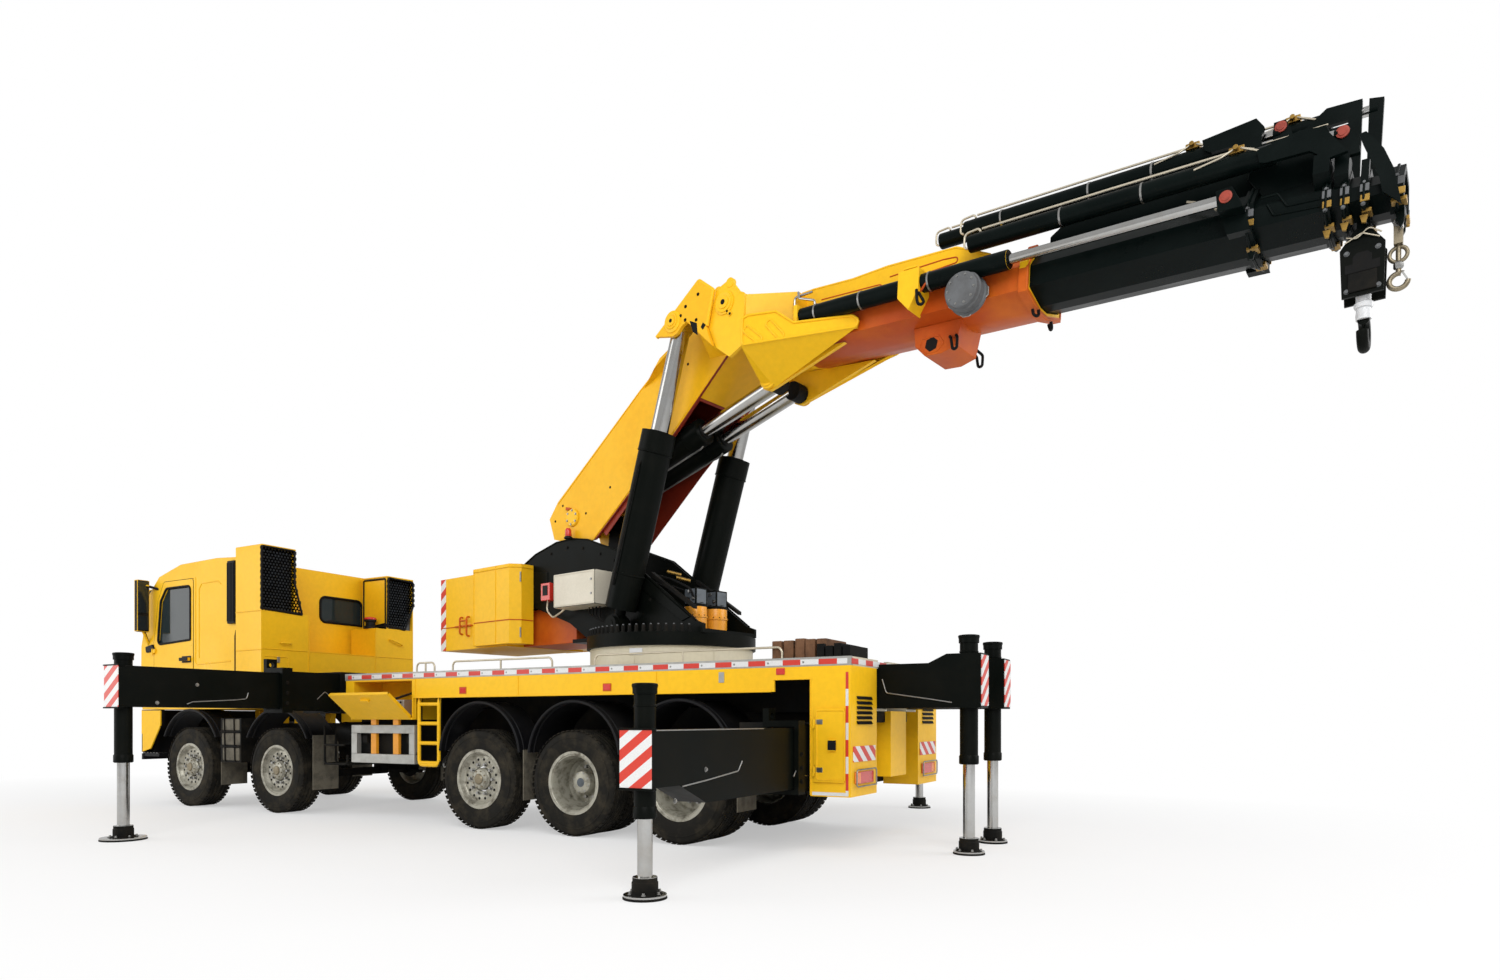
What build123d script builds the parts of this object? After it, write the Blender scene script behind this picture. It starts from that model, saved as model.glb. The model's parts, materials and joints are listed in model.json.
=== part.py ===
# Truck-mounted knuckle boom crane standing on its outrigger jacks.
# Stations: X = 0 at the first axle, +X forward, +Y to the driver's left, Z = 0 at the vehicle datum.
# All pieces are moved by HOME at the end, so that the origin is the bottom centre of the whole machine.
from build123d import *
from math import atan2, cos, degrees, hypot, radians, sin, tan
import os

# ---------------------------------------------------------------- driving dimensions (mm, degrees)
body_width = 2500.0
ride_lift = 50.0            # ground is this far under the datum
frame_shift = 6362.24       # from the first axle to the middle of the machine
plate = 20.0                # thin sheet-metal walls
gap = 0.3                   # seat clearance between pieces of different bodies
clear = 8.0                 # running clearance between moving boxes

# wheels
tyre_radius = 562.0
tyre_width = 310.0
rim_radius = 312.0
wheel_z = 512.0
twin_gap = 30.0
hub_radius = 110.0
spindle_radius = 45.0
kingpin_y = body_width / 2 - 450.0
kingpin_radius = 32.0
guard_front = (610.0, 700.0)   # centre height and inner radius of the guards over the steered wheels
guard_rear = (764.0, 600.0)    # and over the others
axles = [  # station, steered, twin, driven
    (0.0, True, False, False),
    (-1970.0, True, False, False),
    (-5600.0, False, False, False),
    (-6950.0, False, True, True),
    (-8270.0, False, True, True),
]

# chassis
rail_y = 385.0
rail_width = 80.0
rail_bottom = 850.0
rail_top = 1130.0
rail_front = 1150.0
rear_face = -10090.0
deck_front = -3350.0
deck_top = 1740.0
strip_height = 80.0
skirt_bottom = 1435.0
locker = (-4560.0, -3500.0)   # side locker behind the front outriggers

# cab
cab_front = 1330.0
cab_rear = -1040.0
cab_floor = 1330.0
cab_roof = 3420.0
cab_wall = 55.0
cab_half = body_width / 2 - 50.0
door_front = 980.0
door_rear = -20.0
door_bottom = 1390.0
door_top = 3190.0
sill_z = 2330.0
pillar = 75.0

# slewing
slew_x = -7370.0
slew_angle = 10.0
pedestal_radius = 920.0
ring_bottom = 1960.0
ring_top = 2100.0
ring_radius = 960.0

# boom geometry in the boom plane: distance behind the slewing axis, height over the datum
foot_pin = (-1250.0, 3600.0)
lift_base = (-230.0, 2240.0)
lift_eye = (750.0, 5270.0)
knuckle_pin = (1410.0, 5290.0)
fold_base = (-700.0, 3925.0)
fold_eye = (1640.0, 4605.0)
main_slope = 37.5
outer_slope = -3.0
pin_radius = 60.0
hook_pin = 22.0
tip_pin = 14.0

# lift and folding cylinders: barrel length, barrel radius, rod radius, half spacing, rod length
lift_cyl = dict(barrel=2090.0, outer=175.0, rod=95.0, spacing=628.0, rod_len=2080.0, eye=105.0, eye_width=140.0)
fold_cyl = dict(barrel=1400.0, outer=140.0, rod=80.0, spacing=165.0, rod_len=1400.0, eye=95.0, eye_width=150.0)

# telescopic boom
main_half = 400.0
head_half = 772.0
head_plate = 40.0
stage_step = 22.0           # each stage is this much smaller on every side
stage_wall = 14.0
base_half = 345.0
base_top = -70.0
base_bottom = -512.0
base_section = [(190.0, base_top), (base_half, -240.0), (base_half, -430.0), (70.0, base_bottom)]
base_end = 2960.0
stages = [  # rear end and front end along the outer boom, collar length
    (2050.0, 4580.0, 70.0),
    (2480.0, 5040.0, 50.0),
    (2560.0, 5140.0, 50.0),
    (2650.0, 5250.0, 50.0),
    (2740.0, 5440.0, 80.0),
]

# outriggers: centre station, beam bottom, beam top, beam width, reach of jack, jack cap top, barrel bottom
front_rig = dict(x=(-3080.0, -2700.0), low=1285.0, high=1750.0, width=300.0, reach=3640.0, cap=1860.0,
                 barrel_low=740.0, barrel_r=80.0, rod_r=55.0, pad_r=205.0, joint=2020.0, root=740.0, end_cut=0.0)
rear_rig = dict(x=(-9525.0, -9135.0), low=540.0, high=1130.0, width=300.0, reach=3560.0, cap=1425.0,
                barrel_low=500.0, barrel_r=76.0, rod_r=53.0, pad_r=150.0, joint=1500.0, root=240.0, end_cut=150.0)
tail_rig = dict(y=440.0, low=1285.0, high=1700.0, width=260.0, reach=-10920.0, cap=1950.0,
                barrel_low=770.0, barrel_r=82.0, rod_r=54.0, pad_r=140.0)
flap_hinge_out = 15.0        # locker flap's hinge line outside the body side, its height, and how far it is open
flap_hinge_z = 1192.0
flap_open = 50.0
beam_wall = 16.0
collar_length = 130.0        # end collar of a lateral beam, with its ear
hinge_pin = 9.0
ground = -ride_lift
subframe_top = tail_rig["low"] - clear - beam_wall


# ---------------------------------------------------------------- small helpers
def block(x0, x1, y0, y1, z0, z1):
    size = (abs(x1 - x0), abs(y1 - y0), abs(z1 - z0))
    return Pos((x0 + x1) / 2, (y0 + y1) / 2, (z0 + z1) / 2) * Box(*size)


def rod_along(p, q, radius):
    """A round bar from p to q."""
    p, q = Vector(*p), Vector(*q)
    axis = q - p
    plane = Plane(origin=p, z_dir=axis)
    return extrude(plane * Circle(radius), amount=axis.length)


def ring_along(p, q, outer, inner):
    return rod_along(p, q, outer) - rod_along(p, q, inner)


def slab_y(points, y0, y1):
    """A plate with its outline in the XZ plane, from y0 to y1."""
    outline = Polyline(*[(x, min(y0, y1), z) for x, z in points], close=True)
    return extrude(make_face(outline), amount=abs(y1 - y0), dir=(0, 1, 0))


def slab_x(points, x0, x1):
    """A plate with its outline in the YZ plane, from x0 to x1."""
    outline = Polyline(*[(min(x0, x1), y, z) for y, z in points], close=True)
    return extrude(make_face(outline), amount=abs(x1 - x0), dir=(1, 0, 0))


def slab_z(points, z0, z1):
    outline = Polyline(*[(x, y, min(z0, z1)) for x, y in points], close=True)
    return extrude(make_face(outline), amount=abs(z1 - z0), dir=(0, 0, 1))


def quad_loft(first, second):
    """A straight-sided solid between two outlines of equal corners, given as 3-D points."""
    faces = [make_face(Polyline(*points, close=True)) for points in (first, second)]
    return loft(faces, ruled=True)


def slanted_plate(points, direction, thickness):
    """A flat plate with its outline given as 3-D points, thickened along a direction."""
    return extrude(make_face(Polyline(*points, close=True)), amount=thickness, dir=direction)


def both(shape):
    """A shape and its mirror image on the other side of the machine."""
    return [shape, mirror(shape, about=Plane.XZ)]


def fuse(parts):
    flat = []
    for part in parts:
        flat.extend(part if isinstance(part, (list, tuple)) else [part])
    first, rest = flat[0], flat[1:]
    return first.fuse(*rest) if rest else first


def disc_y(x, z, y0, y1, radius):
    return rod_along((x, y0, z), (x, y1, z), radius)


# ---------------------------------------------------------------- wheels, hubs and axles
def tyre_outline(centre, radius=tyre_radius, width=tyre_width):
    """Tyre section from the outer bead over the tread to the inner bead, as (y, radius)."""
    half = width / 2
    bead = half - 25
    side = rim_radius + 0.55 * (radius - rim_radius)
    return [(centre + bead, rim_radius), (centre + half, side), (centre + half - 12, radius - 38),
            (centre + half - 40, radius), (centre - half + 40, radius), (centre - half + 12, radius - 38),
            (centre - half, side), (centre - bead, rim_radius)]


def wheel_profile(twin):
    """Closed half section of a wheel about its axle, outer side towards +y."""
    bead = tyre_width / 2 - 25
    drop = rim_radius - 38
    if twin:
        centre = (tyre_width + twin_gap) / 2
        outer, inner = centre, -centre
        disc, hub_out, hub_in = 0.0, 190.0, -90.0
    else:
        outer = inner = 0.0
        disc, hub_out, hub_in = 75.0, 145.0, -60.0
    points = [(hub_out, 0.0), (hub_out, hub_radius - 25), (hub_out - 30, hub_radius), (disc + 14, hub_radius + 20),
              (disc + 14, drop - 30), (outer + bead - 20, drop), (outer + bead, rim_radius - 18)]
    points += tyre_outline(outer)
    if twin:
        points += [(outer - bead, drop + 6), (inner + bead, drop + 6)] + tyre_outline(inner)
    points += [(inner - bead, rim_radius - 18), (inner - bead + 20, drop), (disc - 14, drop - 30),
               (disc - 14, hub_radius + 40), (hub_in, hub_radius + 40), (hub_in, spindle_radius + gap),
               (hub_in + 130, spindle_radius + gap), (hub_in + 130, 0.0)]
    return points


def wheel_centre(twin):
    half = tyre_width + twin_gap / 2 if twin else tyre_width / 2
    return body_width / 2 - half


def wheel(station, twin):
    """Left wheel of an axle: tyre, rim, disc and hub in one solid."""
    outline = Polyline(*[(0, y, r) for y, r in wheel_profile(twin)], close=True)
    solid = revolve(make_face(outline), axis=Axis.Y)
    centre = wheel_centre(twin)
    return Pos(station, centre, wheel_z) * solid


def hub_bore_inner(twin):
    """Y of the open end of the hub's bore."""
    return wheel_centre(twin) + (-90.0 if twin else -60.0)


def knuckle(station):
    """Left steering knuckle: kingpin, fork, spindle and brake plate."""
    arm, boss = 46.0, 80.0
    pin = rod_along((station, kingpin_y, wheel_z - boss - arm), (station, kingpin_y, wheel_z + boss + arm), kingpin_radius)
    upper = block(station - 60, station + 60, kingpin_y - 60, kingpin_y + 130, wheel_z + boss + gap, wheel_z + boss + arm)
    lower = block(station - 60, station + 60, kingpin_y - 60, kingpin_y + 130, wheel_z - boss - arm, wheel_z - boss - gap)
    web = block(station - 60, station + 60, kingpin_y + 85, kingpin_y + 130, wheel_z - boss - arm, wheel_z + boss + arm)
    drum_plate = disc_y(station, wheel_z, kingpin_y + 110, kingpin_y + 135, 190.0)
    reach = hub_bore_inner(False) + 130 - 5
    spindle = disc_y(station, wheel_z, kingpin_y + 100, reach, spindle_radius)
    steering_arm = block(station - 330, station - 50, kingpin_y + 40, kingpin_y + 80, wheel_z - boss - arm, wheel_z - boss - gap)
    return fuse([pin, upper, lower, web, drum_plate, spindle, steering_arm])


def axle_assembly(station, steered, twin, driven):
    """Axle beam with its springs up to the frame rails."""
    parts = []
    if steered:
        beam_end = kingpin_y - 40
        parts.append(block(station - 55, station + 55, -rail_y - 90, rail_y + 90, wheel_z - 120, wheel_z - 20))
        for side in (1, -1):
            y0, y1 = side * (rail_y + 90), side * beam_end
            parts.append(block(station - 50, station + 50, min(y0, y1), max(y0, y1), wheel_z - 70, wheel_z + 20))
            boss = rod_along((station, side * kingpin_y, wheel_z - 80), (station, side * kingpin_y, wheel_z + 80), 62.0)
            hole = rod_along((station, side * kingpin_y, wheel_z - 90), (station, side * kingpin_y, wheel_z + 90),
                             kingpin_radius + gap)
            parts.append(boss - hole)
        spring_z, spring_half = wheel_z + 60, 640.0
        top = wheel_z - 20
    else:
        tube_end = hub_bore_inner(twin) - 30
        parts.append(disc_y(station, wheel_z, -tube_end, tube_end, 75.0))
        for side in (1, -1):
            y0, y1 = side * (tube_end - 20), side * (hub_bore_inner(twin) + 125)
            parts.append(disc_y(station, wheel_z, min(y0, y1), max(y0, y1), spindle_radius))
        if driven:
            housing = Pos(station, 0, wheel_z) * Sphere(215.0)
            parts.append(housing)
            parts.append(rod_along((station, 0, wheel_z), (station + 330, 0, wheel_z + 20), 90.0))
        spring_z, spring_half = wheel_z + 150, 430.0
        top = wheel_z + 60
    for side in (1, -1):
        y0, y1 = side * rail_y - rail_width / 2, side * rail_y + rail_width / 2
        parts.append(block(station - spring_half, station + spring_half, y0, y1, spring_z, spring_z + 70))
        parts.append(block(station - 90, station + 90, y0, y1, top - 60, spring_z + 10))
        for end in (-1, 1):
            x = station + end * (spring_half - 50)
            parts.append(block(x - 45, x + 45, y0, y1, spring_z + 30, rail_bottom + 20))
    return parts


# ---------------------------------------------------------------- chassis
def chassis_frame():
    """Ladder frame with axles, crane sub-frame and the outrigger housings."""
    parts = []
    rear_front = max(rear_rig["x"]) + housing_half(rear_rig)
    rear_back = min(rear_rig["x"]) - housing_half(rear_rig)
    for side in (1, -1):
        y0, y1 = side * rail_y - rail_width / 2, side * rail_y + rail_width / 2
        parts.append(block(rear_front, rail_front, y0, y1, rail_bottom, rail_top))
        parts.append(block(rear_front - 5, max(front_rig["x"]) + 100, y0, y1, rail_top - 10, subframe_top))
        parts.append(block(rear_face + 60, rear_front, y0, y1, rear_rig["high"] + clear + beam_wall, subframe_top))
        # raised rails that carry the deck and the slewing ring, and the pads that hold the engine
        parts.append(block(rear_face + 1940, -3380, y0, y1, rail_top - 10, deck_top - strip_height))
        yi = side * (rail_y - rail_width / 2)
        for x in (-460, 390):
            parts.append(block(x - 40, x + 40, min(yi + side * 5, side * 330), max(yi + side * 5, side * 330), 920, 980))
    parts.append(block(rear_face + 60, rear_back + 10, -rail_y, rail_y, rear_rig["high"] + clear + beam_wall,
                       subframe_top - 5))
    for x in (1050, -1000, -2500, -4200, -5100, -6200, -7600, -8850):
        parts.append(block(x - 45, x + 45, -rail_y, rail_y, rail_bottom + 40, rail_top - 40))
    for x in (-3900, -5000, -6100, -7370, -8000):
        parts.append(block(x - 50, x + 50, -rail_y, rail_y, 1290, deck_top - strip_height - 40))
    for station, steered, twin, driven in axles:
        parts.extend(axle_assembly(station, steered, twin, driven))
    # lateral housings: one box for each stage, front and rear
    for rig in (front_rig, rear_rig):
        low, high = rig["low"] - clear, rig["high"] + clear
        length = body_width / 2 - 10
        side_w = rig["width"] / 2 + clear
        near, far = max(rig["x"]), min(rig["x"])
        shell = block(far - housing_half(rig), near + housing_half(rig), -length, length,
                      low - beam_wall, high + beam_wall)
        for side, x in zip((1, -1), rig["x"]):
            y0, y1 = sorted((side * (length + 5), -side * (length - 30)))
            shell = shell - block(x - side_w, x + side_w, y0, y1, low, high)
        parts.append(shell)
        # wear pads under each beam at the mouth
        for side, x in zip((1, -1), rig["x"]):
            y0, y1 = sorted((side * (length - 60), side * (length - 10)))
            parts.append(block(x - 90, x + 90, y0, y1, low - 5, rig["low"] - gap))
    return fuse(parts)


def housing_half(rig):
    """Half the width of the box around one outrigger beam."""
    return rig["width"] / 2 + clear + beam_wall


def tail_housing(side):
    """Box in the deck that carries one rearward outrigger beam."""
    rig = tail_rig
    w, h = rig["width"] / 2 + clear, clear
    y = side * rig["y"]
    outer = block(rear_face + 20, rear_face + 1900, y - w - beam_wall, y + w + beam_wall,
                  rig["low"] - h - beam_wall, deck_top - strip_height + 5)
    hollow = block(rear_face, rear_face + 1880, y - w, y + w, rig["low"] - h, deck_top - strip_height + 30)
    pad = block(rear_face + 25, rear_face + 120, y - w + 30, y + w - 30, rig["low"] - h - 5, rig["low"] - gap)
    return (outer - hollow).fuse(pad)


def engine():
    return block(-780, 620, -330, 330, 900, 1160 - 5) + block(-700, 500, -300, 300, 700, 910)


def deck():
    """Load deck plate, its edge strips and the turntable's pedestal well."""
    half = body_width / 2
    top = block(rear_face, deck_front, -half, half, deck_top - strip_height, deck_top - 25)
    edges = []
    for side in (1, -1):
        y0, y1 = side * (half - 45), side * half
        edges.append(block(rear_face, deck_front, min(y0, y1), max(y0, y1), deck_top - strip_height, deck_top))
    edges.append(block(rear_face, rear_face + 45, -half, half, deck_top - strip_height, deck_top))
    w = tail_rig["width"] / 2 + clear
    result = fuse([top] + edges)
    for side in (1, -1):
        y = side * tail_rig["y"]
        result = result - block(rear_face - 5, rear_face + 1880, y - w, y + w, deck_top - strip_height - 5, deck_top + 60)
    return fuse([result, tail_housing(1), tail_housing(-1)])


def body_sides():
    """Yellow side skirts, locker shells and rear boxes under the deck."""
    half = body_width / 2
    z1 = deck_top - strip_height
    parts = []
    box_front = min(rear_rig["x"]) - housing_half(rear_rig) - 2
    for side, beam_x in zip((1, -1), rear_rig["x"]):
        y0, y1 = side * (half - plate), side * half
        # skirt from behind the tool locker to the rear beam
        parts.append(block(beam_x + 190, locker[0], min(y0, y1), max(y0, y1), skirt_bottom, z1))
        yi = side * (half - 640)
        outer = block(rear_face, box_front, min(yi, y1), max(yi, y1), 490, z1)
        inner = block(rear_face + plate, box_front - plate, min(yi + side * plate, y1 - side * plate),
                      max(yi + side * plate, y1 - side * plate), 510, z1 - plate)
        parts.append(outer - inner)
        # strip over the rear beam
        parts.append(block(box_front - 5, beam_x + 195, min(y0, y1), max(y0, y1), 1540, z1))
    # middle rear box, hung from the sub-frame
    parts.append(block(rear_face, box_front, -225, 225, 620, rear_rig["high"] + clear + beam_wall - 5))
    parts.append(block(rear_face, rear_face + 60, -225, 225, rear_rig["high"], subframe_top))
    # tool locker behind the front outrigger, open on the outside
    for side in (1, -1):
        y0, y1 = side * (half - 430), side * half
        shell = block(locker[0], locker[1], min(y0, y1), max(y0, y1), 1180, z1)
        parts.append(block(locker[1] - 5, deck_front - 20, *sorted((side * (half - plate), side * half)), skirt_bottom, z1))
        lo, hi = sorted((side * (half - 410), side * (half + 5)))
        room = block(locker[0] + plate, locker[1] - plate, lo, hi, 1180 + plate, z1 - plate)
        parts.append(shell - room if side == 1 else shell)
    # pins of the flap's hinge line and of the rear box door, on brackets
    y, z = half + flap_hinge_out, flap_hinge_z
    for x, inward in ((locker[0], 1), (locker[1], -1)):
        parts.append(rod_along((x, y, z), (x + inward * 40, y, z), 5.0))
        parts.append(block(x - 10, x + 10, half - 5, y + 8, z - 12, z + 12))
    x = locker_hinge_x()
    for z in (700, 1130):
        parts.append(rod_along((x, half + 16, z - 30), (x, half + 16, z + 60), 5.0))
        parts.append(block(x - 12, x + 12, half - 5, half + 24, z - 30, z - gap))
    return fuse(parts)


def panel_flap():
    """Locker flap, hinged along its lower edge and folded outwards."""
    x0, x1 = locker[0] + 15, locker[1] - 15
    hinge_y, hinge_z = body_width / 2 + flap_hinge_out, flap_hinge_z
    lid = block(x0, x1, hinge_y - 9, hinge_y + 9, hinge_z, hinge_z + 440)
    barrel = rod_along((x0, hinge_y, hinge_z), (x1, hinge_y, hinge_z), 10)
    handle = block(x1 - 640, x1 - 500, hinge_y + 8, hinge_y + 34, hinge_z + 330, hinge_z + 360)
    bores = [rod_along((x0 - 5, hinge_y, hinge_z), (x0 + 40, hinge_y, hinge_z), 5.0 + gap),
             rod_along((x1 - 40, hinge_y, hinge_z), (x1 + 5, hinge_y, hinge_z), 5.0 + gap)]
    shape = fuse([lid, barrel, handle]) - bores[0] - bores[1]
    return shape.rotate(Axis((0, hinge_y, hinge_z), (1, 0, 0)), -flap_open)


def locker_hinge_x():
    """Station of the rear box door's hinge line."""
    return min(rear_rig["x"]) - housing_half(rear_rig) - 41


def locker_door():
    """Side door of the left rear box, on two hinges at its front edge."""
    y0 = body_width / 2 + 6
    x1 = locker_hinge_x() - 6
    leaf = block(x1 - 290, x1, y0, y0 + 14, 620, 1280)
    leaf = leaf - block(x1 - 10, x1 + 5, y0 - 5, y0 + 20, 665, 775) - block(x1 - 10, x1 + 5, y0 - 5, y0 + 20, 1095, 1205)
    hinges, bores = [], []
    for z in (700, 1130):
        hinges.append(rod_along((x1 + 6, y0 + 10, z), (x1 + 6, y0 + 10, z + 55), 9))
        hinges.append(block(x1 - 20, x1, y0 + 6, y0 + 14, z + 3, z + 52))
        bores.append(rod_along((x1 + 6, y0 + 10, z - 5), (x1 + 6, y0 + 10, z + 65), 5.0 + gap))
    latch = block(x1 - 210, x1 - 140, y0 + 10, y0 + 34, 900, 1000)
    shape = fuse([leaf, latch] + hinges)
    return shape - bores[0] - bores[1]


def mudguards():
    """Arched guards over every wheel, on brackets from the frame."""
    parts = []
    half = body_width / 2
    rail_side = rail_y + rail_width / 2
    for station, steered, twin, driven in axles:
        centre_z, radius = guard_front if steered else guard_rear
        inner_y = half - (2 * tyre_width + 22 if twin else tyre_width + 60)
        lower = centre_z + 60.0
        if steered:
            inner_y, lower = half - 420, centre_z + 330.0
        arch = ring_along((station, inner_y, centre_z), (station, half - 5, centre_z), radius + 16, radius)
        arch = arch & block(station - 800, station + 800, 0, half + 10, lower, centre_z + 900)
        if steered:
            foot_x = (radius ** 2 - 400.0 ** 2) ** 0.5
            bracket = block(station + foot_x, station + foot_x + 34, rail_side, inner_y + 40,
                            centre_z + 385, centre_z + 415)
        else:
            bracket = block(station + 230, station + 270, rail_side, inner_y + 40,
                            centre_z + 0.9 * radius, centre_z + 0.9 * radius + 20)
        for side in both(arch.fuse(bracket)):
            parts.append(side)
    return parts


def cab_profile():
    return [(cab_rear, cab_floor), (cab_front - 40, cab_floor), (cab_front, cab_floor + 300),
            (cab_front - 10, sill_z - 60), (cab_front - 230, cab_roof - 380), (cab_front - 480, cab_roof - 150),
            (cab_front - 1000, cab_roof - 20), (cab_rear + 500, cab_roof), (cab_rear, cab_roof - 30)]


def inset(points, wall):
    """Outline moved inwards by the wall thickness."""
    outline = make_face(Polyline(*[(x, 0, z) for x, z in points], close=True))
    return offset(outline, amount=-wall, kind=Kind.INTERSECTION)


def door_outline(grow=0.0):
    """Cab door opening, grown by the given amount."""
    g = grow
    return [(door_rear - g, door_bottom - g), (door_front + g, door_bottom - g), (door_front + g, sill_z),
            (door_front - 110 + g, door_top - 260 + g), (door_front - 260 + g, door_top + g),
            (door_rear - g, door_top + g)]


def window_outline():
    return [(door_rear + pillar, sill_z), (door_front - pillar - 40, sill_z - 40),
            (door_front - pillar - 120, door_top - 290), (door_front - 340, door_top - 110),
            (door_rear + pillar, door_top - 110)]


def cab_shell():
    """Hollow cab with windscreen, rear window and door openings cut."""
    outer = slab_y(cab_profile(), -cab_half, cab_half)
    core = extrude(Pos(0, -cab_half + cab_wall, 0) * inset(cab_profile(), cab_wall), amount=2 * (cab_half - cab_wall), dir=(0, 1, 0))
    shell = outer - core
    shell = shell - slab_y(door_outline(clear / 2), cab_half - cab_wall - 5, cab_half + 5)
    shell = shell - slab_y(door_outline(clear / 2), -cab_half - 5, -cab_half + cab_wall + 5)
    windscreen = block(cab_front - 420, cab_front + 50, -cab_half + 110, cab_half - 110, sill_z + 20, cab_roof - 420)
    rear_window = block(cab_rear - 20, cab_rear + cab_wall + 20, -780, -80, 2650, 3010)
    shell = shell - windscreen - rear_window
    visor = block(cab_front - 330, cab_front - 60, -cab_half + 60, cab_half - 60, cab_roof - 330, cab_roof - 300)
    intake = block(cab_rear - 10, cab_rear + 150, cab_half - 5, cab_half + 40, 2500, 3350)
    mounts = [block(x - 60, x + 60, side * rail_y - 45, side * rail_y + 45, rail_top, cab_floor + 5)
              for x in (900, -850) for side in (1, -1)]
    hinges = []
    for z in door_hinge_z:
        bracket = block(cab_hinge()[0] - 9, cab_hinge()[0] + 54, cab_hinge()[1] - 12, cab_hinge()[1] + 12, z - 60, z - 40)
        bracket = bracket.fuse(block(cab_hinge()[0] + 8, cab_hinge()[0] + 54, cab_half - 5, cab_hinge()[1], z - 60, z - 40))
        pin = rod_along((cab_hinge()[0], cab_hinge()[1], z - 45), (cab_hinge()[0], cab_hinge()[1], z + 30), hinge_pin)
        hinges += both(bracket.fuse(pin))
    return fuse([shell, visor, intake] + mounts + hinges + [mirror_set(1), mirror_set(-1)])


door_hinge_z = (1600.0, 2200.0)


def cab_hinge():
    """Hinge line of the left cab door, in plan."""
    return door_front - clear / 2, cab_half + 4 + 2 * hinge_pin


def mirror_set(side):
    """Mirror housing on its two arms, carried by the front pillar; side is +1 on the left."""
    y1 = cab_half
    arm_top = rod_along((cab_front - 470, y1 - 20, cab_roof - 330), (door_front + 70, y1 + 120, door_top - 30), 18)
    arm_low = rod_along((door_front + 160, y1 - 20, sill_z - 60), (door_front + 75, y1 + 120, sill_z + 160), 18)
    head = block(door_front + 30, door_front + 110, y1 + 50, y1 + 215, sill_z + 140, door_top + 30)
    shape = fuse([arm_top, arm_low, head])
    return shape if side == 1 else mirror(shape, about=Plane.XZ)


def bumper():
    """Bumper with chamfered ends, front corner steps and arms to the frame."""
    half = cab_half + 20
    outline = [(cab_front - 100, -half), (cab_front - 60, -half), (cab_front + 70, -half + 260), (cab_front + 70, half - 260),
               (cab_front - 60, half), (cab_front - 100, half)]
    face = slab_z(outline, 700, cab_floor - 5)
    lip = slab_z([(x + (15 if x > cab_front - 60 else 0), y) for x, y in outline], 590, 680)
    core = block(cab_front - 100, cab_front + 20, -half + 60, half - 60, 660, 720)
    corners = both(block(780, cab_front - 95, half - 60, half, 1070, cab_floor - 5))
    steps = both(block(830, cab_front - 95, half - 160, half - 10, 640, 690).fuse(
        block(1100, cab_front - 95, half - 160, half - 100, 640, cab_floor - 40)))
    arms = [block(rail_front, cab_front - 50, side * rail_y - 35, side * rail_y + 35, 880, 1080) for side in (1, -1)]
    return fuse([face, lip, core, arms] + [corners] + [steps])


def cab_door(side):
    """Cab door with its window cut, handle and hinge ears; side is +1 on the left."""
    y1 = cab_half + 4
    door = slab_y(door_outline(-clear / 2), cab_half - cab_wall, y1)
    door = door - slab_y(window_outline(), cab_half - cab_wall - 5, y1 + 5)
    handle = block(door_rear + 60, door_rear + 260, y1 - 5, y1 + 45, 2020, 2065)
    x, y = cab_hinge()
    ears = []
    for z in door_hinge_z:
        ear = rod_along((x, y, z - 38), (x, y, z + 20), 2 * hinge_pin).fuse(block(x - 60, x, y1 - 5, y + 6, z - 38, z + 20))
        ears.append(ear)
    shape = fuse([door, handle] + ears)
    for z in door_hinge_z:
        shape = shape - rod_along((x, y, z - 50), (x, y, z + 40), hinge_pin + gap)
        shape = shape - (block(x - 1, x + 40, y1 - 60, y + 40, z - 90, z + 60) - rod_along((x, y, z - 38), (x, y, z + 20), 2 * hinge_pin))
    return shape if side == 1 else mirror(shape, about=Plane.XZ)


def cab_interior():
    """Seats, dashboard, steering wheel and bunk on the cab floor."""
    floor = cab_floor + cab_wall
    parts = [block(cab_rear + cab_wall + 10, cab_front - 120, -cab_half + 70, cab_half - 70, floor, floor + 60)]
    for side in (1, -1):
        y = side * 620
        parts.append(block(-60, 440, y - 260, y + 260, floor + 50, floor + 520))
        parts.append(slab_y([(-180, floor + 480), (-20, floor + 480), (-120, floor + 1180), (-260, floor + 1180)],
                            y - 250, y + 250))
    parts.append(block(-160, 100, -700, 700, floor + 50, floor + 420))
    parts.append(block(820, 1120, -1050, 1050, floor + 550, floor + 980))
    parts.append(block(900, 1000, -1000, 1000, floor + 50, floor + 560))
    column = rod_along((900, 620, floor + 700), (640, 620, floor + 950), 30)
    wheel_rim = Pos(640, 620, floor + 950) * Rot(0, -46, 0) * Torus(220, 20)
    spokes = Pos(640, 620, floor + 950) * Rot(0, -46, 0) * Box(40, 430, 20)
    parts += [column, wheel_rim, spokes]
    parts.append(block(cab_rear + cab_wall + 20, -560, -1050, 1050, floor + 50, floor + 560))
    return fuse(parts)


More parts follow.
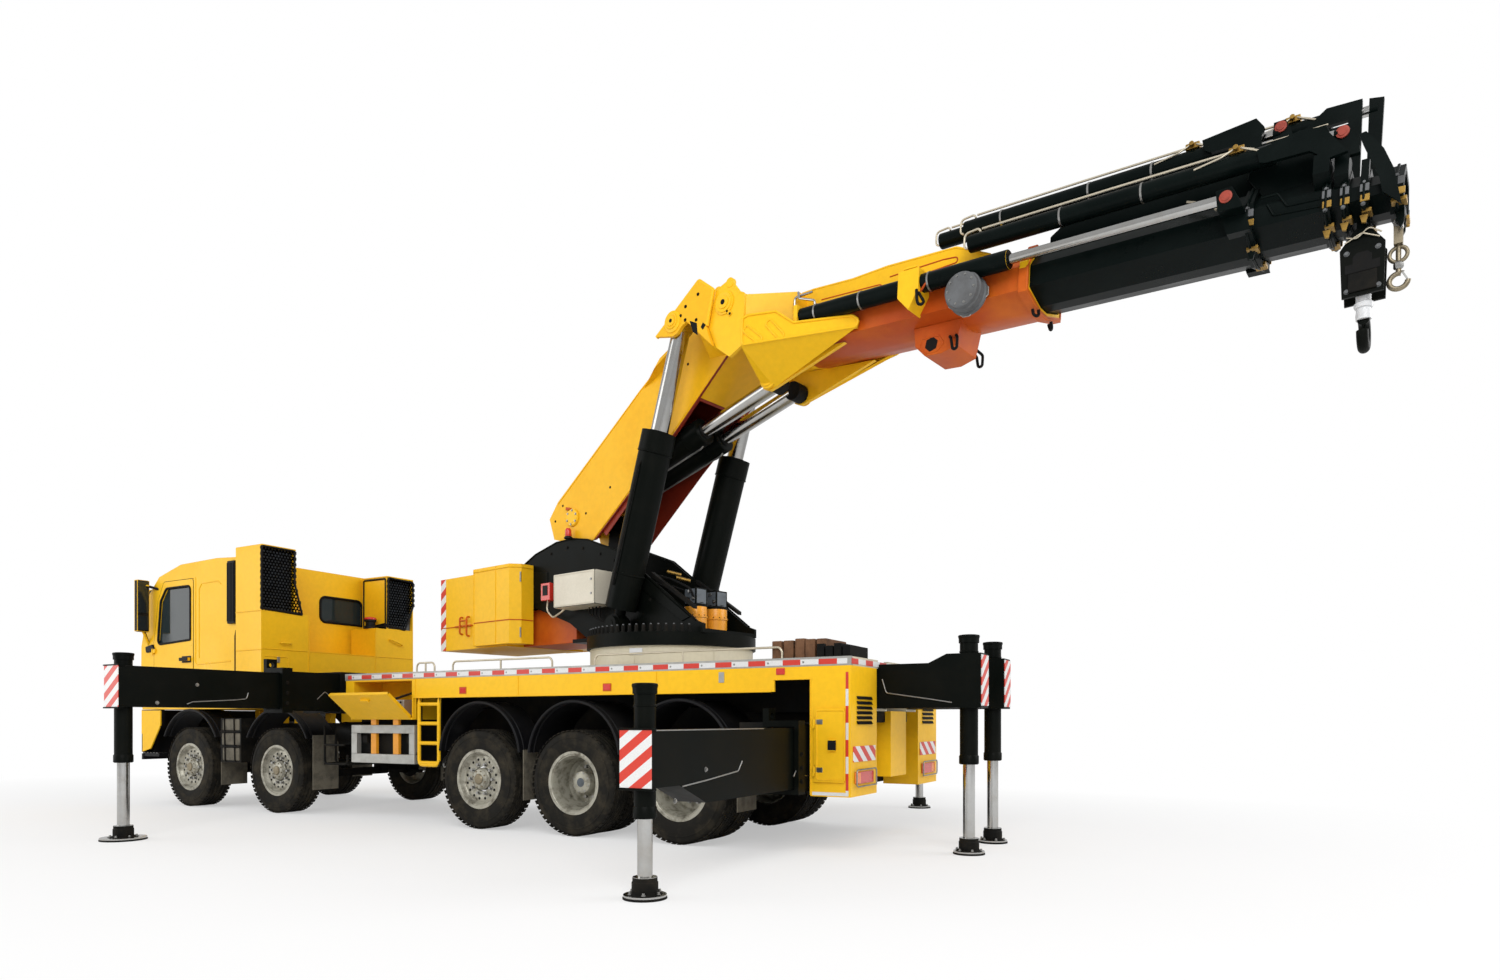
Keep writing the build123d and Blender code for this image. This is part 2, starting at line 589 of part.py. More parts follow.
def towers():
    """Air cleaner tower on the left, exhaust tower on the right and the boxes that carry them."""
    x1, x0 = cab_rear - 60, cab_rear - 620
    parts = []
    z_low = 1640.0
    half = body_width / 2
    # lower boxes across the frame
    parts.append(block(x0, x1, -half, half, z_low, 2120))
    parts.append(block(x0, x1, 560, half, 2110, 2640))
    parts.append(block(x0, x1, -half, -560, 2110, 2560))
    for side, y_in in ((1, 760), (-1, 760)):
        top = cab_roof + 90 if side == 1 else cab_roof - 60
        low = 2620 if side == 1 else 2540
        y0, y1 = sorted((side * y_in, side * half))
        tower = block(x0, x1, y0, y1, low, top)
        lo, hi = sorted((side * (y_in + plate), side * (half - plate)))
        room = block(x0 - 5, x1 - plate, lo, hi, low + 30, top - plate)
        parts.append(tower - room)
    parts.append(rod_along((cab_rear - 300, -1000, 2550), (cab_rear - 300, -1000, 3280), 95))
    for side in (1, -1):
        parts.append(block(x0 + 60, x1 - 60, side * rail_y - 40, side * rail_y + 40, rail_top, z_low + 10))
    return fuse(parts)


def side_gear():
    """Tanks, battery guard, ladder, steps and rails hung on the frame between the axles."""
    half = body_width / 2
    parts = []
    # guard frame with two posts on the left, plain tank on the right
    x0, x1 = locker[0] - 20, locker[1] + 20
    frame = block(x0, x1, half - 60, half, 660, 1110) - block(x0 + 80, x1 - 90, half - 70, half + 5, 760, 1020)
    posts = [block(x - 45, x + 45, half - 50, half - 10, 700, 1180) for x in (x0 + 330, x0 + 720)]
    tank = block(x0 + 20, x1 - 20, rail_y + 200, half - 90, 640, 1100)
    arms = [block(x - 40, x + 40, rail_y + rail_width / 2, half - 30, 900, 980) for x in (x0 + 120, x1 - 200)]
    left = fuse([frame, posts, tank, arms])
    right = mirror(fuse([block(x0, x1, half - 560, half - 10, 640, 1120), arms[0], arms[1]]), about=Plane.XZ)
    ladder_rails = [block(x - 20, x + 20, half - 60, half - 22, 640, skirt_bottom) for x in (-4630, -4955)]
    rungs = [block(-4955, -4630, half - 55, half - 27, z, z + 30) for z in (660, 890, 1120, 1350)]
    ladder = fuse([ladder_rails, rungs, block(x0 - 60, x0 + 20, half - 55, half - 27, 760, 800)])
    reservoirs = [rod_along((-2700, side * 760, 1000), (-3150, side * 760, 1000), 150) for side in (1, -1)]
    rail_side = rail_y + rail_width / 2
    bands = [block(-2960, -2880, min(side * rail_side, side * 640), max(side * rail_side, side * 640), 960, 1040)
             for side in (1, -1)]
    steps = both(fuse([block(-1220, -760, 700, half, 600, 1200) - block(-1200, -780, 720, half - plate, 590, 1180),
                       block(-1020, -950, rail_side, 720, 1020, 1090)]))
    return [left.fuse(ladder), right] + [r.fuse(b) for r, b in zip(reservoirs, bands)] + steps


def pedestal():
    """Beige ring welded to the deck under the slewing ring."""
    body = Pos(slew_x, 0, 0) * ring_z(pedestal_radius, pedestal_radius - 60, deck_top - 25, ring_bottom)
    lid = Pos(slew_x, 0, 0) * ring_z(pedestal_radius, 300, ring_bottom - 40, ring_bottom)
    return fuse([body, lid])


def ring_z(outer, inner, z0, z1):
    ring = Pos(0, 0, (z0 + z1) / 2) * (Cylinder(outer, z1 - z0) - Cylinder(inner, z1 - z0 + 2))
    return ring


# ---------------------------------------------------------------- outriggers
def beam_box(x, width, y0, y1, low, high, wall=beam_wall):
    outer = block(x - width / 2, x + width / 2, y0, y1, low, high)
    inner = block(x - width / 2 + wall, x + width / 2 - wall, y0 - 5, y1 + 5, low + wall, high - wall)
    return outer - inner


def rig_first(rig, x):
    """First stage of a lateral outrigger with its end collar and ear."""
    end = rig["joint"]
    start = end - (body_width - 100)
    beam = beam_box(x, rig["width"], start, end, rig["low"], rig["high"])
    w = rig["width"] / 2 + 28
    root = end - collar_length
    collar = block(x - w, x + w, root, end, rig["low"] - 25, rig["high"] + 40)
    collar = collar - block(x - rig["width"] / 2 + 5, x + rig["width"] / 2 - 5, root - 10, end + 10,
                            rig["low"] + 5, rig["high"] - 5)
    ear = block(x + w - 60, x + w, root, end, rig["high"] - 5, rig["high"] + 150)
    hole = end - collar_length / 2
    ear = ear - rod_along((x + w - 70, hole, rig["high"] + 80), (x + w + 10, hole, rig["high"] + 80), 32)
    pad = block(x - 80, x + 80, end - 60, end - 10, rig["low"] + beam_wall - 5, rig["low"] + beam_wall + clear - gap)
    return fuse([beam, collar, ear, pad])


def jack_barrel(x, y, rig):
    """Upright jack barrel with its round cap, and the bore for the jack rod."""
    r = rig["barrel_r"]
    barrel = rod_along((x, y, rig["barrel_low"]), (x, y, rig["cap"] - 30), r)
    cap = rod_along((x, y, rig["cap"] - 70), (x, y, rig["cap"]), r + 10)
    bore = rod_along((x, y, rig["barrel_low"] - 10), (x, y, rig["cap"] - 90), rig["rod_r"] + 1.0)
    return [barrel, cap], bore


def rig_second(rig, x):
    """Second stage with the jack barrel at its end."""
    inset_ = beam_wall + clear
    width = rig["width"] - 2 * inset_
    low, high = rig["low"] + inset_, rig["high"] - inset_
    start = rig["joint"] - rig["root"]
    r, y = rig["barrel_r"], rig["reach"]
    cut = rig["end_cut"]
    outline = [(start, low), (y - 600, low), (y - 240, low + cut), (y + 60, low + cut), (y + 60, high), (start, high)]
    beam = slab_x(outline, x - width / 2, x + width / 2)
    beam = beam - block(x - width / 2 + beam_wall, x + width / 2 - beam_wall, start - 5, y - 620, low + beam_wall, high - beam_wall)
    sleeve = block(x - width / 2, x + width / 2, y - r - 30, y + r + 30, low + cut, high)
    jack, bore = jack_barrel(x, y, rig)
    return fuse([beam, sleeve, jack]) - bore


def leg(x, y, rig):
    """Jack rod with its ball joint and pad, standing on the ground."""
    top = rig["barrel_low"] + 400.0
    rod = rod_along((x, y, ground + 140), (x, y, top), rig["rod_r"])
    hub = rod_along((x, y, ground + 20), (x, y, ground + 150), 85)
    pad = rod_along((x, y, ground), (x, y, ground + 30), rig["pad_r"])
    return fuse([rod, hub, pad])


def tail_beam(side):
    """Rearward outrigger beam with the jack barrel at its end."""
    rig = tail_rig
    y, x = side * rig["y"], rig["reach"]
    w, r = rig["width"] / 2, rig["barrel_r"]
    outline = [(rear_face + 900, rig["low"]), (x - r - 60, rig["low"]), (x - r - 60, rig["high"] + 80),
               (x + r + 90, rig["high"] + 80), (x + r + 260, rig["high"]), (rear_face + 900, rig["high"])]
    beam = slab_y(outline, y - w, y + w)
    core = block(x + r + 150, rear_face + 905, y - w + beam_wall, y + w - beam_wall,
                 rig["low"] + beam_wall, rig["high"] - beam_wall)
    jack, bore = jack_barrel(x, y, rig)
    return fuse([beam - core, jack]) - bore


# ---------------------------------------------------------------- superstructure, in the boom plane
# X is the distance behind the slewing axis, Y is across, Z is height
def along(p, q, start, end):
    """The points at two distances along the line from p to q."""
    length = hypot(q[0] - p[0], q[1] - p[1])
    ux, uz = (q[0] - p[0]) / length, (q[1] - p[1]) / length
    return (p[0] + ux * start, p[1] + uz * start), (p[0] + ux * end, p[1] + uz * end)


def bar_in_plane(p, q, y, radius):
    return rod_along((p[0], y, p[1]), (q[0], y, q[1]), radius)


def turntable():
    """Slewing base: bolted ring, side plates, the ears of the boom's foot pin and the lift cylinders' lugs."""
    parts = [ring_z(ring_radius, 300, ring_bottom + gap, ring_top)]
    plates = [(-1900, 2560), (-2230, 2560), (-2240, 3070), (-1900, 3225), (-1500, 3325), (-1200, 3335), (-930, 3290),
              (-390, 3090), (780, 2225), (880, 2190), (880, ring_top - 5), (-880, ring_top - 5), (-1250, 2330)]
    ear_in = main_half - 78.0
    for side in (1, -1):
        y0, y1 = sorted((side * (main_half + clear), side * (main_half + clear + 40)))
        parts.append(slab_y(plates, y0, y1))
        # ear inside the boom's foot, and the box that ties it to the side plate
        y0, y1 = sorted((side * ear_in, side * (ear_in + 40)))
        fx, fz = foot_pin
        parts.append(disc_y(fx, fz, y0, y1, 150))
        parts.append(slab_y([(fx - 150, fz), (fx + 150, fz), (fx + 190, 2700), (fx + 130, 2520), (fx - 330, 2600), (fx - 250, 2800)], y0, y1))
        y0, y1 = sorted((side * ear_in, side * (main_half + clear + 5)))
        parts.append(block(fx - 200, fx + 150, y0, y1, 2640, 3080))
        parts.append(disc_y(fx, fz, side * (main_half + 1), side * (main_half + 26), 95))
        for inner in (lift_cyl["spacing"] - lift_cyl["eye_width"] / 2 - 36 - clear, lift_cyl["spacing"] + lift_cyl["eye_width"] / 2 + clear):
            y0, y1 = sorted((side * inner, side * (inner + 36)))
            lug = slab_y([(lift_base[0] - 150, ring_top - 5), (lift_base[0] + 150, ring_top - 5),
                          (lift_base[0] + 85, lift_base[1]), (lift_base[0] - 85, lift_base[1])], y0, y1)
            parts += [lug, disc_y(lift_base[0], lift_base[1], y0, y1, 85)]
        parts.append(disc_y(lift_base[0], lift_base[1], side * (lift_cyl["spacing"] - 120), side * (lift_cyl["spacing"] + 120), 40))
    inner_w = main_half + clear
    parts.append(block(-2230, -2190, -inner_w, inner_w, 2560, 3060))
    parts.append(block(-1250, 880, -inner_w, inner_w, ring_top - 5, ring_top + 40))
    parts.append(block(-1100, -500, -inner_w, inner_w, 2500, 2560))
    parts.append(disc_y(foot_pin[0], foot_pin[1], -main_half - 5, main_half + 5, pin_radius))
    # slewing gearboxes and motors
    for y in (-150, 190):
        parts.append(rod_along((500, y, ring_top), (500, y, 2440), 125))
        parts.append(block(410, 590, y - 90, y + 90, 2430, 2620))
    # control box on the left plate
    parts.append(block(-1210, -492, -main_half - 330, -main_half - 45, 2480, 2870))
    return fuse(parts)


def counterweight():
    """Tank and ballast box towards the cab, its folded side pods, and the link to the turntable."""
    low, high = 2100.0, 3060.0
    half = 620.0
    x_front, x_back = -3700.0, -2260.0
    box = block(x_front, x_back, -half, half, low, high)
    pods = []
    for side in (1, -1):
        inner = main_half + 60.0
        pods.append(slab_z([(-2900, side * (half - 5)), (-2760, side * (half + 130)), (-2030, side * (half + 130)),
                            (-1930, side * (half + 20)), (-1930, side * inner), (x_back - 10, side * inner),
                            (x_back - 10, side * (half - 5))], low + 20, high + 30))
    link = slab_y([(x_back - 10, low + 10), (-1250, low + 10), (-1250, 2330), (-1880, 2545), (x_back - 10, 2545)],
                  -350, 350)
    return fuse([box, link] + pods)


def main_outline():
    """Side outline of the main boom's box, from the foot up to the head."""
    return [(-1530, 3830), (-1690, 3640), (-1600, 3380), (-1250, 3290), (-880, 3290), (430, 4300), (1150, 4930),
            (1262, 5016), (1300, 5130), (1160, 5480), (1060, 5640), (450, 5240), (-100, 4875)]


def main_boom():
    """Main boom: box with open underside, flared head with the lift rods' fork and the knuckle bearing."""
    wall = 30.0
    solid = slab_y(main_outline(), -main_half, main_half)
    core = slab_y([(-1800, 3300), (-1350, 3200), (-700, 3300), (430, 4260), (760, 4560), (930, 5190), (940, 5440),
                   (430, 5140), (-100, 4800), (-1500, 3740)], -main_half + wall, main_half - wall)
    parts = [solid - core]
    parts.append(disc_y(knuckle_pin[0], knuckle_pin[1], -main_half, main_half, 200))
    parts.append(slab_y([(1050, 5100), (1380, 5110), (1400, 5480), (1080, 5560)], -main_half, main_half))
    # bearing rings on the walls round the foot pin
    for side in (1, -1):
        y0, y1 = sorted((side * (main_half - wall), side * main_half))
        parts.append(disc_y(foot_pin[0], foot_pin[1], y0, y1, 170))
    # head plates outside the lift rods, and the flares that carry them
    head = [(505, 5178), (1100, 5592), (1285, 5445), (1200, 5110), (1285, 4890), (942, 5222), (870, 5190), (820, 5140),
            (750, 5120)]
    for side in (1, -1):
        y0, y1 = sorted((side * (head_half - head_plate), side * head_half))
        parts.append(slab_y(head, y0, y1))
        parts.append(disc_y(lift_eye[0], lift_eye[1], side * (head_half - 30), side * (head_half + 25), 75))
        y0, y1 = sorted((side * (main_half - 10), side * (head_half - 10)))
        parts.append(slab_y([(1010, 5500), (1060, 5560), (1110, 5560), (1090, 5350), (1090, 5280), (1040, 5290)], y0, y1))
        at_box, at_cheek = side * (main_half - 4), side * (head_half - 100)
        parts.append(quad_loft([(930, at_box, 4960), (1160, at_box, 4944), (1180, at_box, 5080), (930, at_box, 5290)],
                               [(1000, at_cheek, 5170), (1225, at_cheek, 4935), (1235, at_cheek, 5000), (1030, at_cheek, 5250)]))
        parts.append(quad_loft([(-60, at_box, 4862), (330, at_box, 5030), (420, at_box, 5130), (120, at_box, 4990)],
                               [(215, side * 505, 5000), (400, side * 505, 5100), (425, side * 505, 5150), (300, side * 505, 5090)]))
    parts.append(disc_y(fold_base[0], fold_base[1], -main_half + 5, -15, 60))
    parts.append(disc_y(fold_base[0], fold_base[1], 15, main_half - 5, 60))
    body = fuse(parts)
    hole = disc_y(foot_pin[0], foot_pin[1], -main_half - 5, main_half + 5, pin_radius + gap)
    pivot = disc_y(knuckle_pin[0], knuckle_pin[1], -main_half - 5, main_half + 5, pin_radius + gap)
    return body - hole - pivot


def cylinder_barrels(base, eye, spec, bore_gap=1.0):
    """A pair of cylinder barrels with their base eyes."""
    foot, top = along(base, eye, spec["outer"], spec["barrel"])
    collar, _ = along(base, eye, spec["barrel"] - 220, 0)
    bottom, _ = along(base, eye, 230, 0)
    parts = []
    for side in (1, -1):
        y = side * spec["spacing"]
        barrel = bar_in_plane(foot, top, y, spec["outer"])
        sleeve = bar_in_plane(collar, top, y, spec["outer"] + 8)
        half = spec["eye_width"] / 2
        base_eye = disc_y(base[0], base[1], y - half, y + half, spec["outer"] * 0.62)
        throat = bar_in_plane(base, foot, y, half - 6)
        bore = bar_in_plane(bottom, (top[0] + (top[0] - foot[0]) * 0.01, top[1] + (top[1] - foot[1]) * 0.01), y,
                            spec["rod"] + bore_gap)
        shape = fuse([barrel, sleeve, throat, base_eye]) - bore
        pin = 40.0 if spec is lift_cyl else 60.0
        parts.append(shape - disc_y(base[0], base[1], y - half - 5, y + half + 5, pin + gap))
    return parts


def cylinder_rods(base, eye, spec):
    """A pair of piston rods with their open eyes."""
    length = hypot(eye[0] - base[0], eye[1] - base[1])
    tail, tip = along(base, eye, length - spec["rod_len"], length - 20)
    parts = []
    for side in (1, -1):
        y = side * spec["spacing"]
        half = spec["eye_width"] / 2
        rod = bar_in_plane(tail, tip, y, spec["rod"])
        rod_eye = disc_y(eye[0], eye[1], y - half, y + half, spec["eye"])
        hole = disc_y(eye[0], eye[1], y - half - 5, y + half + 5, spec["eye"] * 0.5)
        parts.append(fuse([rod, rod_eye]) - hole)
    return parts


# the outer boom is built about its knuckle pin, level, then tipped to its slope
def outer_frame():
    return Pos(knuckle_pin[0], 0, knuckle_pin[1]) * Rot(0, -outer_slope, 0)


def to_outer(point):
    """A point of the boom plane in the outer boom's own level frame."""
    dx, dz = point[0] - knuckle_pin[0], point[1] - knuckle_pin[1]
    a = radians(-outer_slope)
    return dx * cos(a) - dz * sin(a), dx * sin(a) + dz * cos(a)


def inset_outline(points, amount):
    """Every edge of a closed convex outline moved inwards by the same amount; points run clockwise."""
    moved = []
    count = len(points)
    for i in range(count):
        (ax, az), (bx, bz), (cx, cz) = points[i - 1], points[i], points[(i + 1) % count]
        l1, l2 = hypot(bx - ax, bz - az), hypot(cx - bx, cz - bz)
        n1, n2 = ((bz - az) / l1, -(bx - ax) / l1), ((cz - bz) / l2, -(cx - bx) / l2)
        k = amount / (1 + n1[0] * n2[0] + n1[1] * n2[1])
        moved.append((bx + k * (n1[0] + n2[0]), bz + k * (n1[1] + n2[1])))
    return moved


def boom_section(level, grow=0.0):
    """Eight-sided section of the telescope as (y, z); level 0 is the base section."""
    outline = base_section + [(-y, z) for y, z in reversed(base_section)]
    return inset_outline(outline, stage_step * level - grow)


def boom_tube(level, x0, x1):
    return slab_x(boom_section(level), x0, x1) - slab_x(boom_section(level, -stage_wall), x0 - 5, x1 + 5)


def extension_pair():
    """Long barrels beside the base section that push out the first stage, and their bores."""
    barrels = [rod_along((700, side * 455.0, -215), (2830, side * 455.0, -215), 75) for side in (1, -1)]
    bores = [rod_along((760, side * 455.0, -215), (2840, side * 455.0, -215), 39.0) for side in (1, -1)]
    return barrels, bores


def outer_boom():
    """Outer boom: knuckle cheeks, root box, gusset plates and the base section of the telescope."""
    eye = to_outer(fold_eye)
    parts = [boom_tube(0, 560, base_end)]
    parts.append(slab_x(boom_section(0), 540, 570))
    top = slab_y([(520, 140), (700, 150), (1150, 138), (1530, 160), (2230, 148), (2560, 0), (2600, base_top - 4), (520, base_top - 4)],
                 -200, 200)
    parts.append(top)
    # cheeks behind the head plates of the main boom, with their bearing
    cheek = [(-120, 146), (60, 215), (190, 60), (235, 40), (235, -460), (85, -540), (-92, -415), (-198, -200)]
    outside = head_half - head_plate - clear
    for side in (1, -1):
        y0, y1 = sorted((side * (outside - 40), side * outside))
        parts.append(slab_y(cheek, y0, y1))
        parts.append(disc_y(0, 0, side * (main_half + clear), side * outside, 150))
        parts.append(disc_y(0, 0, side * (main_half - 60), side * (outside + 30), pin_radius))
        parts.append(disc_y(0, 0, side * (outside - 5), side * (outside + 20), 95))
    # root: bulkhead at the cheeks and a hollow funnel down to the width of the base section
    parts.append(block(215, 250, -outside, outside, -460, 40))
    rows = [[(240, y * 700, z) for y, z in ((-1, 36), (1, 36), (1, -455), (-1, -455))],
            [(620, y * base_half, z) for y, z in ((-1, 100), (1, 100), (1, -430), (-1, -430))]]
    inner = [[(200, y * 700, z) for y, z in ((-1, 5), (1, 5), (1, -430), (-1, -430))],
             [(600, y * (base_half - 30), z) for y, z in ((-1, 70), (1, 70), (1, -400), (-1, -400))]]
    funnel = quad_loft(*rows) - quad_loft(*inner)
    parts.append(funnel - block(190, 250, -outside, outside, -500, 100))
    lug_pin = (eye[0], eye[1])
    for side in (1, -1):
        def skin(x, z):
            return (x, side * (740 - 0.30 * (x - 170)), z)
        # gusset plate that runs under the extension barrel, and the folded plate down to the lug
        upper = [skin(*p) for p in ((225, -200), (289, -175), (567, -171), (745, -300), (1301, -300), (1356, -345), (1340, -413),
                                    (225, -460))]
        parts.append(slanted_plate(upper, (-0.2873 * 1.0, -side * 0.9579, 0), 36))
        tip, corner = skin(1340, -413), skin(225, -460)
        low_back, low_front = (195, side * 292, -752), (335, side * 292, -762)
        inward = (0.0, -side * 0.75, 0.66)
        parts.append(slanted_plate([corner, low_back, low_front], inward, 30))
        parts.append(slanted_plate([corner, low_front, tip], inward, 30))
        y0, y1 = sorted((side * 250, side * 292))
        parts.append(slab_y([(150, -440), (1150, -480), (335, -762), (eye[0], eye[1] - 110), (185, -752)], y0, y1))
        parts.append(disc_y(eye[0], eye[1], side * 250, side * 318, 78))
        # collars that hold the extension barrels
        y0, y1 = sorted((side * (base_half - 20), side * 545.0))
        parts.append(slab_y([(1853, -110), (2050, -110), (2050, -300), (1960, -450), (1853, -330)], y0, y1))
        parts.append(block(720, 760, y0, y1, -300, -130))
    # collar at the mouth and bracket under the base section
    mouth = slab_x(boom_section(0, 36.0), 2890, base_end - 2) - slab_x(boom_section(0, -2.0), 2870, base_end + 5)
    parts.append(mouth)
    parts.append(slab_y([(1840, -480), (2300, -480), (2260, -700), (2120, -745), (1960, -740), (1860, -640)], -200, 200)
                 - disc_y(2020, -660, -210, 210, 45))
    barrels, bores = extension_pair()
    shape = fuse(parts + barrels)
    for bore in bores:
        shape = shape - bore
    return shape - slab_x(boom_section(0, -stage_wall), 575, base_end + 5)


def upper_barrel(x0, x1, y, z, radius=68.0):
    barrel = rod_along((x0, y, z), (x1, y, z), radius)
    return barrel - rod_along((x0 + 60, y, z), (x1 + 5, y, z), 36.0)


upper_cylinders = [  # carrying stage, side offset, height, barrel start, barrel end
    (1, 150.0, 470.0, 2130.0, 4290.0),
    (2, -300.0, 85.0, 2400.0, 4700.0),
    (3, 380.0, 560.0, 1760.0, 4930.0),
]


def shelf(outline, y0, y1):
    """Bracket plate with its outline in the boom's side view."""
    return slab_y(outline, min(y0, y1), max(y0, y1))


def stage(level):
    """One telescopic stage with its collar, its cylinder brackets and the rod of the cylinder that drives it."""
    x0, x1, collar = stages[level - 1]
    parts = [boom_tube(level, x0, x1)]
    ring = slab_x(boom_section(level, 24.0), x1 - collar, x1) - slab_x(boom_section(level, -2.0), x1 - collar - 5, x1 + 5)
    parts.append(ring)
    # wear pads at the rear end, riding in the section outside
    inside = boom_section(level - 1, -stage_wall)
    pads = slab_x(inset_outline(inside, gap), x0 + 20, x0 + 90) - slab_x(boom_section(level, -2.0), x0, x0 + 100)
    for y in (-0.5, 0.5):
        window = block(x0 + 10, x0 + 100, y * base_half - 60, y * base_half + 60, base_top - 200, base_top + 60)
        parts.append(pads & window)
    parts.append(pads & block(x0 + 10, x0 + 100, -50, 50, base_bottom - 50, base_bottom + 200))
    top = boom_section(level)[0][1]
    for carrier, y, z, start, end in upper_cylinders:
        if carrier == level:
            parts.append(upper_barrel(start, end, y, z))
        if carrier + 1 == level:
            parts.append(rod_along((start + 90, y, z), (rod_ends[level], y, z), 35))
    for start, end, reach in ties.get(level, []):
        # foot welded to the sloping shoulder of the section
        (ya, za), (yb, zb) = boom_section(level, -stage_wall / 2)[:2]
        side = 1 if reach > 0 else -1
        near = (side * (ya + 0.12 * (yb - ya)), za + 0.12 * (zb - za))
        far = (side * (ya + 0.9 * (yb - ya)), za + 0.9 * (zb - za))
        parts.append(slab_x([(reach, -60), (near[0], -60), near, far, (reach, far[1] + 60)], start, end))
    for outline, y0, y1 in brackets.get(level, []):
        parts.append(shelf(outline, y0, y1))
    if level == 1:
        for side in (1, -1):
            parts.append(rod_along((2350, side * 455, -215), (x1 - 110, side * 455, -215), 38))
            parts.append(shelf([(4368, -167), (4469, -164), (4525, -270), (4546, -317), (4388, -311)], side * (base_half - stage_step - 10), side * 505.0))
            parts.append(shelf([(4388, -311), (4546, -317), (4578, -440), (4430, -440)], side * (base_half - stage_step - 10), side * 400.0))
    if level == 4:
        pin_x, pin_z = hook_points()[0]
        parts.append(block(pin_x - 38, pin_x + 30, -60, 60, pin_z - 35, boom_section(4)[3][1] + 8))
        parts.append(disc_y(pin_x, pin_z, -100, 100, hook_pin))
    if level == 5:
        px, pz = hook_points()[1]
        for side in (1, -1):
            parts.append(shelf([(5375, -184), (5440, -330), (px + 36, pz - 20), (px + 18, pz - 60), (5375, -395)], side * 64.0, side * 84.0))
        parts.append(disc_y(px, pz, -84, 84, tip_pin))
        parts.append(slab_x(boom_section(5), x1 - 40, x1 - 20))
    return fuse(parts)


ties = {2: [(4940.0, 5034.0, -400.0)], 3: [(5052.0, 5136.0, -320.0)]}   # stage: (from x, to x, side reach)
rod_ends = {2: 4640.0, 3: 5089.0, 4: 5210.0}
brackets = {  # stage: bracket plates as (outline in side view, from y, to y)
    1: [([(4123, 540), (4142, 459), (4192, 427), (4357, 424), (4392, 390), (4530, 416), (4545, 498), (4489, 576), (4241, 552)], 45, 85),
        ([(4392, 400), (4530, 420), (4565, -96), (4440, -96)], 45, 85),
        ([(4440, -30), (4565, -30), (4565, -100), (4440, -100)], -60, 90)],
    2: [([(4592, 548), (4667, 549), (4710, 455), (4718, 417), (4592, 418)], 128, 172),
        ([(4592, 430), (4718, 430), (4730, -116), (4600, -116)], 128, 168),
        ([(4592, 93), (4613, 3), (4651, -9), (4913, -15), (5015, -102), (5133, -88), (5024, 66), (4975, 122), (4847, 141)], -400, -366)],
    3: [([(5052, 113), (5109, 112), (5144, 80), (5190, -30), (5196, -79), (5052, -78)], -320, -280),
        ([(4740, 500), (4900, 630), (5120, 620), (5136, -142), (5060, -142), (5040, 500)], 300, 340),
        ([(5056, -60), (5136, -60), (5136, -140), (5056, -140)], 60, 340)],
    4: [([(5155, 640), (5245, 620), (5246, -142), (5170, -142)], 360, 400),
        ([(5160, -90), (5246, -90), (5246, -170), (5160, -170)], 60, 400),
        ([(5181, 50), (5219, 56), (5261, 3), (5325, -90), (5387, -240), (5437, -474), (5329, -370), (5307, -266), (5207, -25)], -304, -284),
        ([(5203, -120), (5248, -120), (5248, -330), (5203, -330)], -290, -240)],
}


def hook_points():
    """Pin places of the two hooks in the outer boom's frame."""
    return (5210.0, -515.0), (5405.0, -481.0)


def from_outer(point):
    a = radians(-outer_slope)
    return (knuckle_pin[0] + point[0] * cos(a) + point[1] * sin(a), knuckle_pin[1] - point[0] * sin(a) + point[1] * cos(a))


def hook_block():
    """Main hook: cheek plates on the boom pin, crosshead and forged hook, hanging plumb."""
    x, z = from_outer(hook_points()[0])
    parts = []
    for side in (1, -1):
        y0, y1 = sorted((side * 68.0, side * 90.0))
        parts.append(slab_y([(x - 42, z + 32), (x + 42, z + 32), (x + 130, z - 90), (x + 120, z - 420), (x - 120, z - 420),
                             (x - 130, z - 90)], y0, y1))
    parts.append(block(x - 50, x + 50, -72, 72, z - 400, z - 270))
    parts.append(rod_along((x, 0, z - 480), (x, 0, z - 300), 45))
    shank = rod_along((x, 0, z - 560), (x, 0, z - 400), 38)
    hole = disc_y(x, z, -100, 100, hook_pin + gap)
    arc = Pos(x, 0, z - 660) * Rot(0, 90, 0) * Torus(95, 36)
    opening = block(x - 60, x + 60, -200, -20, z - 670, z - 500)
    return fuse(parts + [shank, arc - opening]) - hole


def tip_hook():
    """Small swivel hook on its shackle at the boom's tip."""
    x, z = from_outer(hook_points()[1])
    hole = disc_y(x, z, -70, 70, tip_pin + gap)
    plates = [slab_y([(x - 25, z + 25), (x + 25, z + 25), (x + 25, z - 120), (x - 25, z - 120)], side * 34 - 8, side * 34 + 8)
              for side in (1, -1)]
    bridge = block(x - 25, x + 25, -42, 42, z - 140, z - 110)
    ring = Pos(x, 0, z - 200) * Rot(90, 0, 0) * Torus(50, 13)
    shank = rod_along((x, 0, z - 330), (x, 0, z - 135), 16)
    bowl = Pos(x, 0, z - 380) * Rot(90, 0, 0) * Torus(52, 17) - block(x + 12, x + 90, -30, 30, z - 385, z - 320)
    return fuse(plates + [bridge, shank, ring, bowl]) - hole


# ---------------------------------------------------------------- assembly
HOME = Pos(frame_shift, 0, ride_lift)
UPPER = Pos(slew_x, 0, 0) * Rot(0, 0, 180.0 - slew_angle)


